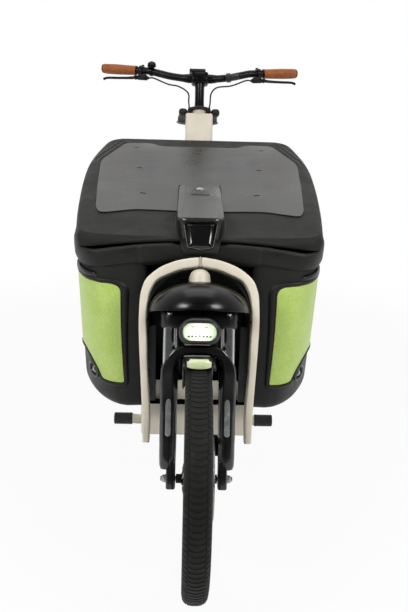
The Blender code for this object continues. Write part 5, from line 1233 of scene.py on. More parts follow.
def along_lid(back):
    """How far along the lid's slope a place is from the middle of the panel."""
    return (back - PANEL_BACK) / math.cos(LID_SLOPE)


def cut_sheet(name, outlines, low, high, place, edge, finish, body, slot, *stands_for):
    """A sheet cut from closed outlines, the inner ones holes, with eased edges."""
    curve = bpy.data.curves.new(name, "CURVE")
    curve.dimensions = "2D"
    curve.fill_mode = "BOTH"
    curve.extrude = (high - low) / 2 - edge
    curve.bevel_depth = edge
    curve.bevel_resolution = 1
    curve.offset = -edge
    for outline in outlines:
        spline = curve.splines.new("POLY")
        spline.points.add(len(outline) - 1)
        for point, (x, y) in zip(spline.points, outline):
            point.co = (x, y, 0.0, 1.0)
        spline.use_cyclic_u = True
    drawn = placed(name, curve)
    mesh = as_built(drawn)
    bpy.data.objects.remove(drawn)
    mesh.transform(place @ Matrix.Translation((0, 0, (low + high) / 2)))
    work = bmesh.new()
    work.from_mesh(mesh)
    for face in work.faces:
        face.material_index = 0
    return piece(name, work, finish, body, slot, *stands_for, sharp=8)


half = [(0.0572, 0.598, 0.004), (0.0572, 0.4065, 0.004), (0.110, 0.4100, 0.05)]
half += [(0.1655, 0.4125, 0.03), (0.205, 0.3975, 0.02), (0.2500, 0.3840, 0.016)]
half += [(0.2635, 0.420, 0.02), (0.280, 0.600, 0.05), (0.294, 0.810, 0.03)]
half += [(0.235, 0.998, 0.022), (0.1555, 1.0025, 0.02), (0.119, 0.969, 0.02)]
outline = eased(whole([(x, along_lid(back), radius) for x, back, radius in half]))
slots = []
for x, back in ((0.151, 0.530), (0.174, 0.745), (0.197, 0.947)):
    for side in (-1, 1):
        middle = Vector((side * x, along_lid(back)))
        reach = Vector((side * 0.0078, 0.0022))
        wide = Vector((-reach.y, reach.x)).normalized() * 0.0028
        spots = (reach + wide, wide - reach, -reach - wide, reach - wide)
        slots.append(eased([(*(middle + spot), 0.0026) for spot in spots], 5))
cut_sheet(
    "gloss_lid_panel", [outline, *slots], 0.0003, 0.0030, on_lid(PANEL_BACK), 0.0008, grey_sheet,
    "lid", "grey_gloss_panel", "lid_top_panel",
)
work = bmesh.new()
for slot in slots:
    slab(work, slot, 0.0001, 0.0009, on_lid(PANEL_BACK))
piece("strap_slot_floors", work, pull_black, "lid", "black_plastic")
cap_slope = math.atan((0.8195 - 0.7905) / 0.338)
cap_place = Matrix.Translation(at(0, 0.43, nose_top(0.43))) @ Matrix.Rotation(cap_slope, 4, "X")
half = [(0.0330, -0.1848, 0.004), (0.0405, -0.1830, 0.004), (0.0418, -0.175, 0.004)]
half += [(0.0418, -0.12, 0.01), (0.0418, 0.150, 0.01), (0.036, 0.172, 0.012)]
cut_sheet(
    "nose_cap", [eased(whole(half))], -0.0008, 0.0014, cap_place, 0.0008, grey_sheet, "lid",
    "grey_gloss_panel",
)


def swelling(work, line, low, high, sides):
    """A low ridge along a line, highest in its middle."""
    last = len(line) - 1
    radii = [low + high * math.sin(math.pi * i / last) ** 0.5 for i in range(len(line))]
    pipe(work, line, radii, sides)


# A low swelling where the nose runs out into the panel, and the ribs beside the rear corners.
work = bmesh.new()
swell = [(0.0660, 0.530), (0.0655, 0.552), (0.0600, 0.573), (0.0500, 0.587), (0.0350, 0.5965)]
swell += [(0.0150, 0.600)]
line = flowing([at(x, back, lid_plane(back) + 0.0018) for x, back in whole(swell)], 4)
swelling(work, line, 0.0008, 0.0016, 10)
for side in (-1, 1):
    for run in (
        ((0.3045, 0.795), (0.3000, 0.835), (0.2470, 1.0020), (0.2280, 1.0120)),
        ((0.3140, 0.825), (0.3085, 0.865), (0.2600, 1.0180), (0.2440, 1.0300)),
    ):
        run = [at(side * x, back, lid_height(x, back) + 0.0003) for x, back in run]
        swelling(work, flowing(run, 5), 0.0004, 0.0012, 8)
piece("panel_swellings", work, grey_sheet, "lid", "grey_gloss_panel", sharp=60)
plate_black = substance("plate_satin", "#121212", "#1A1A1A", (0.22, 0.34), 16, 0.4, 0.01)
outline = eased(whole([(0.0245, 0.112, 0.003), (0.0245, 0.050, 0.003)]))
cut_sheet(
    "bare_plate", [outline], 0.0014, 0.0026, cap_place, 0.0004, plate_black, "lid", "gloss_black"
)

# The key lock: a chromed zinc barrel with a slotted plug and a steel cam under the lid.
chrome = substance("chrome", "#C4C6C8", "#D6D8DA", (0.05, 0.11), 9, 0.5, 0.002, Metallic=1.0)
LOCK = on_lid(0.550)
work = bmesh.new()
profile = [(0, 0.0106), (0.0052, 0.0108), (0.0060, 0.0100), (0.0064, 0.0108), (0.0082, 0.0116)]
profile += [(0.0094, 0.0108), (0.0095, 0.0093), (0.0095, -0.030), (0, -0.030)]
lathe(work, profile, LOCK, 40)
key_hole = bmesh.new()
block(key_hole, (0.0018, 0.0072, 0.010), (0, 0, 0.0123), LOCK, 0.0004, 2)
work = carve(work, key_hole)
block(work, (0.012, 0.034, 0.003), (0, -0.011, -0.0275), LOCK, 0.0010)
piece("key_lock", work, chrome, "lock", "chrome", "lock_cylinder")

# The fork: a forged crown clamps two chromed stanchions that slide in cast magnesium lowers, which
# are joined by an arch over the tyre. The steerer runs up through the pulley into the head tube.
fork_gloss = substance(
    "fork_gloss_paint", "#0B0B0C", "#131314", (0.16, 0.26), 40, 1.1, 0.012, Coat_Weight=0.5,
    Coat_Roughness=0.08,
)
crown_satin = substance("crown_satin", "#101010", "#181818", (0.26, 0.38), 30, 0.8, 0.02)


LEG_X, LEG_FOOT = 0.064, -0.014559


def on_leg(side, along):
    """A place on a leg's axis, so far along the steering axis from the floor of the frame."""
    return STEER @ Matrix.Translation((side * LEG_X, -RAKE, along))


def leg_line(x, along, forward=0.0):
    """A place at x, so far along from the legs' feet and forward of their axes."""
    return STEER @ Vector((x, -RAKE - forward, along + LEG_FOOT))


work = bmesh.new()
lobe = [(0.0, -0.054), (0.020, -0.0545), (0.036, -0.056), (0.048, -0.0585)]
lobe += arc((LEG_X, -RAKE), 0.0212, -105, 78, 15)
lobe += [(0.048, -0.012), (0.036, 0.004), (0.026, 0.018), (0.015, 0.0245), (0.0, 0.026)]
slab(work, whole(lobe), 0.3134, 0.3550, STEER, 0.0045)
profile = [(0, -0.004), (0.0165, -0.004), (0.0165, -0.0002), (0.0152, 0.0010), (0.0, 0.0012)]
for side in (-1, 1):
    lathe(work, profile, on_leg(side, 0.355), 36)
piece("fork_crown_forging", work, crown_satin, "fork", "black_fork_paint", "fork_crown", sharp=35)
work = bmesh.new()
top_cap = [(0, 0.0035), (0.0045, 0.0035), (0.0052, 0.0042), (0.0096, 0.0040), (0.0105, 0.0030)]
top_cap += [(0.0118, 0.0004), (0, 0.0002)]
acorn_nut = [(0, 0.0062), (0.0024, 0.0056), (0.0040, 0.0038), (0.0046, 0.0012), (0.0056, 0.0010)]
acorn_nut += [(0.0056, -0.0010), (0, -0.0010)]
for side in (-1, 1):
    pipe(work, [leg_line(side * LEG_X, s) for s in (0.135, 0.20, 0.27, 0.334)], 0.0160, 48)
    lathe(work, top_cap, on_leg(side, 0.3562), 36)
    acorn = Matrix.Translation((side * 0.0655, -0.0600, 0.3455))
    lathe(work, acorn_nut, STEER @ acorn @ Matrix.Rotation(math.pi / 2, 4, "X"), 24)
pipe(work, [STEER @ Vector((0, 0, s)) for s in (0.345, 0.39, 0.438)], 0.0143, 32)
piece("chromed_stanchions", work, chrome, "fork", "chrome", "fork_crown")

# Lowers: glossy black castings with a square-shouldered arch, dust wipers at the top of each leg,
# a reflecting strip let into the front of each and dropouts for the axle.
work = bmesh.new()
profile = [(0, 0.098), (0.0167, 0.098), (0.0167, 0.2425), (0.0176, 0.2425), (0.0196, 0.2395)]
profile += [(0.0200, 0.2300), (0.0196, 0.2250), (0.0192, 0.2100), (0.0189, 0.12), (0.0186, 0.05)]
profile += [(0.0178, 0.030), (0.0150, 0.0215), (0.0100, 0.0195), (0, 0.0190)]
for side in (-1, 1):
    lathe(work, profile, on_leg(side, LEG_FOOT), 40)
    block(work, (0.0203, 0.034, 0.064), (side * 0.05615, -RAKE, -0.004559), STEER, 0.0045)
# The arch swells out of the front of each leg, shoulders over and crosses above the tyre.
half_arch = [(0.0640, 0.1450, 0.0010, 0.0180, 0.0172), (0.0650, 0.1800, 0.0050, 0.0180, 0.0165)]
half_arch += [(0.0660, 0.2100, 0.0110, 0.0172, 0.0148), (0.0652, 0.2360, 0.0170, 0.0150, 0.0130)]
half_arch += [(0.0600, 0.2560, 0.0205, 0.0124, 0.0118), (0.0500, 0.2710, 0.0220, 0.0112, 0.0112)]
half_arch += [(0.0360, 0.2782, 0.0220, 0.0112, 0.0110), (0.0180, 0.2798, 0.0220, 0.0112, 0.0110)]
half_arch += [(0.0, 0.2800, 0.0220, 0.0112, 0.0110)]
middles = flowing(whole([row[:3] for row in half_arch]), 4)
thick = [(wide, deep, 0) for _, _, _, wide, deep in half_arch]
thick = flowing(thick + thick[-2::-1], 4)
rings = []
for i, (middle, size) in enumerate(zip(middles, thick)):
    ahead = middles[min(i + 1, len(middles) - 1)] - middles[max(i - 1, 0)]
    away = Vector((-ahead.y, ahead.x, 0)).normalized()
    ring = []
    for u, v in rounded(size.x, size.y, min(size.x, size.y) * 0.55, 5):
        spot = middle + away * u
        ring.append(leg_line(spot.x, spot.y, spot.z + v))
    rings.append(ring)
skin(work, rings)
block(work, (0.0065, 0.032, 0.046), (0.0500, -0.017, 0.052), STEER, 0.0015)
piece("fork_castings", work, fork_gloss, "fork_lower", "gloss_black", "fork_lowers", sharp=35)
wiper_rubber = substance("wiper_rubber", "#141414", "#1C1C1C", (0.5, 0.65), 12, 0.5, 0.03)
work = bmesh.new()
profile = [(0.0164, 0.2475), (0.0172, 0.2480), (0.0186, 0.2450), (0.0190, 0.2427), (0.0164, 0.2427)]
for side in (-1, 1):
    lathe(work, profile, on_leg(side, LEG_FOOT), 36)
piece("dust_wipers", work, wiper_rubber, "fork_lower", "black_rubber")
strip_silver = substance(
    "reflecting_strip", "#8F9190", "#A9ABA9", (0.18, 0.3), 14, 0.6, 0.01, Coat_Weight=0.6,
    Coat_Roughness=0.06, Metallic=0.3,
)
tree, where, sockets = inside(strip_silver)
# Prism cells 2.2 mm across under the strip's clear face.
cells = put(
    tree, "ShaderNodeTexVoronoi", {"Scale": 1000 / 2.2, "Randomness": 0.0}, {"Vector": where}
)
prisms = put(
    tree, "ShaderNodeBump", {"Strength": 0.7, "Distance": 0.0002},
    {"Height": cells.outputs["Distance"]},
)
tree.links.new(prisms.outputs[0], sockets["Normal"])
work = bmesh.new()
for side in (-1, 1):
    rings = []
    for lift, grow in ((0.0004, 1.0), (0.0014, 1.0), (0.0019, 0.9), (0.0020, 0.7)):
        ring = []
        for u, v in rounded(0.0056, 0.0440, 0.0054, 5):
            reach, turn = 0.0189 + lift, u * grow / 0.0189
            along = 0.1370 + v * (1 - (1 - grow) * 0.12)
            x = side * LEG_X + reach * math.sin(turn)
            ring.append(leg_line(x, along, reach * math.cos(turn)))
        rings.append(ring)
    skin(work, rings)
piece("leg_reflectors", work, strip_silver, "fork_lower", "bright_steel", sharp=50)

# Steering pulley and its cover: a grooved alloy disc on the crown that the cables turn, under a
# glossy pressed dome which is open behind for the gooseneck.
work = bmesh.new()
profile = [(0.0150, 0.3713), (0.0725, 0.3713), (0.0740, 0.3700), (0.0740, 0.3680), (0.0660, 0.3640)]
profile += [(0.0660, 0.3626), (0.0740, 0.3586), (0.0740, 0.3566), (0.0725, 0.3553)]
profile += [(0.0150, 0.3553)]
lathe(work, profile, STEER, 72)
piece("fork_pulley_disc", work, alloy_black, "fork", "black_anodised", "fork_pulley")
dome_gloss = substance(
    "dome_gloss", "#050505", "#0A0A0A", (0.17, 0.25), 45, 1.6, 0.01, Specular_IOR_Level=0.35
)
work = bmesh.new()
section = [(0.0281, 0.4180), (0.0320, 0.4187), (0.0420, 0.4172), (0.0550, 0.4140), (0.0680, 0.4085)]
section += [(0.0790, 0.4020), (0.0890, 0.3935), (0.0965, 0.3845), (0.1025, 0.3735)]
section += [(0.1065, 0.3620), (0.1082, 0.3535), (0.1080, 0.3500), (0.1066, 0.3490)]
section += [(0.1050, 0.3500), (0.1042, 0.3545), (0.1010, 0.3660), (0.0945, 0.3790)]
section += [(0.0860, 0.3900), (0.0760, 0.3982), (0.0640, 0.4050)]
section += [(0.0500, 0.4105), (0.0281, 0.4145)]
# It is open for 152 degrees behind, and drawn in a little at the two cut edges.
count = 73
rings = []
for k in range(count):
    turn = math.radians(mix(166, 374, k / (count - 1)))
    ease = min(1.0, min(k, count - 1 - k) / 3)
    ring = []
    for r, s in section:
        if r > 0.05:
            r *= (1 + 0.065 * clamp((r - 0.035) / 0.065)) * (1 - 0.006 * (1 - ease))
        ring.append(STEER @ Vector((r * math.cos(turn), r * math.sin(turn), s)))
    rings.append(ring)
skin(work, rings)
piece("pulley_dome", work, dome_gloss, "frame", "gloss_black", "steering_pulley_cover", sharp=50)

# Steering cables: two housings of black plastic over steel, from the stop behind the pulley down
# the gooseneck and along the beam to the column's foot, with a black alloy adjuster at each end.
work = bmesh.new()
ends = []
for side in (-1, 1):
    run = [(0.0690, 0.2440, 0.5760), (0.0680, 0.270, 0.558), (0.0600, 0.300, 0.515)]
    run += [(0.0480, 0.320, 0.450), (0.0430, 0.331, 0.380), (0.0440, 0.345, 0.330)]
    run += [(0.0490, 0.372, 0.286), (0.0526, 0.440, 0.265), (0.0526, 0.650, 0.265)]
    run += [(0.0526, 0.860, 0.265), (0.0526, 0.900, 0.285), (0.0516, 0.935, 0.342)]
    line = flowing([at(side * x, back, height) for x, back, height in run], 6)
    pipe(work, line, 0.0040, 12)
    ends += [(line[0], line[3]), (line[-1], line[-4])]
piece("steering_cable_housings", work, hose_black, "frame", "black_plastic", "steering_cables")
work = bmesh.new()
block(work, (0.150, 0.010, 0.014), (0, 0.083, 0.3665), STEER, 0.002)
for tip, inward in ends:
    along = (inward - tip).normalized()
    for reach, radius, sides in ((0.010, 0.0056, 6), (0.016, 0.0050, 16)):
        pipe(work, [tip, tip + along * reach], radius, sides)
piece("cable_adjusters", work, alloy_black, "frame", "black_anodised", "steering_cables")

# Headlight: a rounded plastic housing on the crown's bracket. Behind its clear oval lens a bright
# reflector is lit by its diodes; a strap of the housing arches over the lens.
oval_place = STEER @ Matrix(((1, 0, 0, 0), (0, 0, -1, 0), (0, 1, 0, 0.3035), (0, 0, 0, 1)))


def oval(wide, high, steps=14):
    """An upright oval with straight top and bottom, in X and Y."""
    straight = wide - high
    return whole(arc((straight, 0), high, -90, 90, steps))


work = bmesh.new()
rings = []
for forward, wide, high in (
    (0.0860, 0.0300, 0.0190), (0.0880, 0.0370, 0.0255), (0.0940, 0.0425, 0.0305),
    (0.1040, 0.0446, 0.0322), (0.1130, 0.0448, 0.0320), (0.1200, 0.0440, 0.0304),
    (0.1255, 0.0422, 0.0274), (0.1284, 0.0400, 0.0238), (0.1292, 0.0380, 0.0210),
    (0.1284, 0.0362, 0.0190), (0.1262, 0.0356, 0.0184), (0.1180, 0.0345, 0.0176),
):
    # Its underside is cut away above the guard's way up.
    low = -0.0260 + 0.35 * max(0.0, 0.104 - forward)
    rings.append([oval_place @ Vector((x, max(y, low), forward)) for x, y in oval(wide, high)])
skin(work, rings)
block(work, (0.024, 0.0466, 0.008), (0, -0.0777, 0.3220), STEER, 0.0015)
piece("light_housing", work, satin_black, "fork", "black_plastic", "headlight_housing", sharp=35)


def bare(name, colour, rough):
    """A finish with an even colour and roughness, for the lamp. It comes as substance's do."""
    made = bpy.data.materials.new(name)
    made.use_nodes = True
    put(made.node_tree, "ShaderNodeTexCoord", {"name": "where"})
    sockets = made.node_tree.nodes["Principled BSDF"].inputs
    sockets["Base Color"].default_value = linear(colour)
    sockets["Roughness"].default_value = rough
    return made


glow = bare("lit_reflector", "#C9CFC4", 0.25)
tree, where, sockets = inside(glow)
# Cells 3.4 mm across, brightest in the lamp's middle, dimmer and greener toward its rim.
facets = put(
    tree, "ShaderNodeTexVoronoi", {"Scale": 1000 / 3.4, "Randomness": 0.35}, {"Vector": where}
)
lamp_middle = STEER @ Vector((0, -0.1215, 0.3035))
away = put(
    tree, "ShaderNodeVectorMath", {"operation": "DISTANCE", 1: lamp_middle}, {0: where}
).outputs["Value"]
falloff = put(
    tree, "ShaderNodeMapRange", {"From Max": 0.034, "To Min": 2.2, "To Max": 0.30}, {"Value": away}
)
facet_light = put(
    tree, "ShaderNodeMapRange", {"From Max": 0.85, "To Min": 1.0, "To Max": 0.40},
    {"Value": facets.outputs["Distance"]},
)
level = put(
    tree, "ShaderNodeMath", {"operation": "MULTIPLY"},
    {0: falloff.outputs[0], 1: facet_light.outputs[0]},
)
rimward = put(
    tree, "ShaderNodeMapRange", {"From Min": 0.012, "From Max": 0.034}, {"Value": away}
)
tinted = put(
    tree, "ShaderNodeMix", {"data_type": "RGBA", 6: linear("#FFFFFF"), 7: linear("#C4E69A")},
    {0: rimward.outputs[0]},
)
tree.links.new(tinted.outputs[2], sockets["Emission Color"])
tree.links.new(level.outputs[0], sockets["Emission Strength"])
work = bmesh.new()
rings = []
for forward, share in (
    (0.1262, 1.0), (0.1235, 0.93), (0.1215, 0.72), (0.1208, 0.40), (0.1212, 0.08),
):
    cup = oval(0.0355, 0.0183)
    rings.append([oval_place @ Vector((x * share, y * share, forward)) for x, y in cup])
bowl(work, rings)
piece("light_reflector", work, glow, "fork", "clear_lens", sharp=60)
work = bmesh.new()
for x in (-0.0228, -0.0156, -0.0082, 0.0, 0.0082, 0.0156, 0.0228):
    holder = (x, -0.0092 + 0.0008 * (x == 0), 0.1236)
    block(work, (0.0042, 0.0030, 0.0024), holder, oval_place, 0.0006, 2)
for x in (-0.0130, 0.0130):
    block(work, (0.0090, 0.0012, 0.0020), (x, 0.0105, 0.1234), oval_place, 0.0004, 2)
piece("light_diode_holders", work, satin_black, "fork", "black_plastic", sharp=35)
clear = bare("clear_polycarbonate", "#F4F8F0", 0.03)
tree, where, sockets = inside(clear)
sockets["Transmission Weight"].default_value = 1.0
sockets["IOR"].default_value = 1.10
# Moulded flutes 1.8 mm wide down the lens; a wave repeats every pi / 10 of its vector.
flutes = put(
    tree, "ShaderNodeTexWave", {"Scale": 1000 / 1.8 / 20 * 6.283, "bands_direction": "X"},
    {"Vector": where},
)
fluted = put(
    tree, "ShaderNodeBump", {"Strength": 0.3, "Distance": 0.0001}, {"Height": flutes.outputs["Fac"]}
)
tree.links.new(fluted.outputs[0], sockets["Normal"])
work = bmesh.new()
rings = []
for forward, share in (
    (0.1272, 0.995), (0.1302, 0.985), (0.1322, 0.955), (0.1332, 0.88), (0.1337, 0.60),
    (0.1338, 0.20),
):
    face = oval(0.0352, 0.0180)
    rings.append([oval_place @ Vector((x * share, y * share, forward)) for x, y in face])
skin(work, rings)
piece("light_lens", work, clear, "fork", "clear_lens", "headlight_lens", sharp=60)

# Front mudguard: a black moulded blade under the arch, with a broad blunt nose. A patch of pale
# lime reflecting tape is let into the nose's front edge.
def guard_shell(work, place, radius, start, end, count, half, skirt):
    """A rounded U swept round the wheel, its angles from the rear in degrees."""
    wall = 0.003
    out = [(half, -skirt), (half, -0.0085), (half - 0.0012, -0.0045), (half - 0.0040, -0.0015)]
    out += [(half - 0.0090, -0.0002), (half * 0.45, 0.0), (0.0, 0.0004)]
    under = [(half - wall, -skirt)]
    under += [(x * (1 - wall / half), min(d, -wall * 0.4) - wall * 0.6) for x, d in out[1:]]
    section = whole(out) + whole(under)[::-1]
    rings = []
    for i in range(count):
        turn = math.radians(start + (end - start) * i / (count - 1))
        narrow = 0.978 if i in (0, count - 1) else 1.0
        ring = []
        for x, depth in section:
            y, z = (radius + depth) * math.cos(turn), (radius + depth) * math.sin(turn)
            ring.append(place @ Vector((x * narrow, y, z)))
        rings.append(ring)
    skin(work, rings)


work = bmesh.new()
guard_shell(work, FRONT_AXLE, 0.2665, 27, 92, 31, 0.036, 0.012)
nose = FRONT_AXLE @ Matrix.Translation((0, 0, 0.2700))
rings = []
for y, wide, low, high in (
    (0.0050, 0.0258, -0.0080, 0.0070), (0.0044, 0.0266, -0.0088, 0.0088),
    (0.0030, 0.0271, -0.0090, 0.0098), (0.0005, 0.0272, -0.0092, 0.0104),
    (-0.0040, 0.0271, -0.0094, 0.0102), (-0.0105, 0.0268, -0.0094, 0.0088),
    (-0.0135, 0.0262, -0.0088, 0.0066), (-0.0148, 0.0250, -0.0076, 0.0030),
):
    ring = []
    for u, v in rounded(wide, (high - low) / 2, min(0.0045, (high - low) / 2.2), 4):
        bow = 0.0060 * (u / 0.027) ** 2 * (y < 0.0)
        ring.append(nose @ Vector((u, y + bow, (high + low) / 2 + v)))
    rings.append(ring)
skin(work, rings)
# A raised rail along each edge of the nose's top.
for side in (-1, 1):
    rail = ((0.0252, 0.0030, 0.0094), (0.0256, 0.0, 0.0106), (0.0250, -0.0060, 0.0100))
    rail = [nose @ Vector((side * x, y, z)) for x, y, z in rail]
    pipe(work, flowing(rail, 4), 0.0015, 8)
piece("front_guard", work, satin_black, "fork_lower", "black_plastic", "front_mudguard", sharp=45)
tape = substance(
    "lime_tape", "#DCEBAE", "#EAF4C8", (0.3, 0.42), 16, 0.9, 0.02, Coat_Weight=0.4,
    Coat_Roughness=0.15,
)
work = bmesh.new()
side_line = [(-0.0148, -0.0082), (-0.0154, -0.0030), (-0.0153, 0.0034), (-0.0142, 0.0071)]
side_line += [(-0.0110, 0.0094), (-0.0060, 0.0105)]
rings = []
for k in range(25):
    x = mix(-0.0252, 0.0252, k / 24)
    bow = 0.0060 * (x / 0.027) ** 2
    drawn = 1 - 0.30 * (abs(x) / 0.0252) ** 4
    ring = [(y + bow, z * drawn) for y, z in side_line]
    for y, z in side_line[::-1]:
        ring.append((y + bow + 0.0012, z * drawn - (0.0010 if z > 0.003 else 0)))
    rings.append([nose @ Vector((x, y, z)) for y, z in ring])
skin(work, rings)
piece("guard_tape", work, tape, "fork_lower", "lime_panel", sharp=60)

# The wheels: tubeless-looking commuter tyres with a barred tread on black double-wall rims, laced
# to turned hubs. A node tree sets out the copies of tread bar, spoke, tooth, screw and stitch.
copies = bpy.data.node_groups.new("copies_at_places", "GeometryNodeTree")
copies.interface.new_socket("Places", in_out="INPUT", socket_type="NodeSocketGeometry")
shape_socket = copies.interface.new_socket(
    "Shape", in_out="INPUT", socket_type="NodeSocketObject"
)
finish_socket = copies.interface.new_socket(
    "Finish", in_out="INPUT", socket_type="NodeSocketMaterial"
)
copies.interface.new_socket("Copies", in_out="OUTPUT", socket_type="NodeSocketGeometry")
given, result = put(copies, "NodeGroupInput"), put(copies, "NodeGroupOutput")
model = put(copies, "GeometryNodeObjectInfo", None, {"Object": given.outputs["Shape"]})
facing = put(
    copies, "GeometryNodeInputNamedAttribute", {"data_type": "FLOAT_VECTOR", "Name": "turn"}
)
strewn = put(
    copies, "GeometryNodeInstanceOnPoints", None,
    {
        "Points": given.outputs["Places"], "Instance": model.outputs["Geometry"],
        "Rotation": facing.outputs[0],
    },
)
solid = put(copies, "GeometryNodeRealizeInstances", None, {"Geometry": strewn.outputs["Instances"]})
painted = put(
    copies, "GeometryNodeSetMaterial", None,
    {"Geometry": solid.outputs["Geometry"], "Material": given.outputs["Finish"]},
)
copies.links.new(painted.outputs["Geometry"], result.inputs["Copies"])


def strew(work, shape, places, finish):
    """Adds a copy of a small shape at each of the places."""
    small, spots = bpy.data.meshes.new("shape"), bpy.data.meshes.new("spots")
    bmesh.ops.recalc_face_normals(shape, faces=shape.faces)
    shape.to_mesh(small)
    shape.free()
    spots.from_pydata([place.translation for place in places], [], [])
    turns = spots.attributes.new("turn", "FLOAT_VECTOR", "POINT")
    for spot, place in zip(turns.data, places):
        spot.vector = place.to_euler()
    sample, host = placed("shape", small), placed("spots", spots)
    laying = host.modifiers.new("copies", "NODES")
    laying.node_group = copies
    laying[shape_socket.identifier] = sample
    laying[finish_socket.identifier] = finish
    work.from_mesh(as_built(host))
    for one in (sample, host):
        bpy.data.objects.remove(one)
    for face in work.faces:
        face.material_index = 0


def round_axle(place, count, phase=0.0):
    """Evenly turned places about the X axis of a place, the first one at a phase in degrees."""
    turns = [math.radians(phase + 360 * i / count) for i in range(count)]
    return [place @ Matrix.Rotation(turn, 4, "X") for turn in turns]


ON_AXLE = Matrix.Rotation(math.pi / 2, 4, "Y")
tyre_rubber = substance(
    "tyre_rubber", "#0D0D0B", "#161613", (0.60, 0.78), 22, 0.35, 0.05, Specular_IOR_Level=0.3
)
spoke_steel = substance(
    "stainless_spoke", "#8E9091", "#B5B6B6", (0.22, 0.34), 30, 0.4, 0.01, Metallic=1.0
)
rotor_steel = substance(
    "ground_rotor", "#9A9B9A", "#C2C2C0", (0.24, 0.38), 12, 0.25, 0.02, Metallic=1.0
)
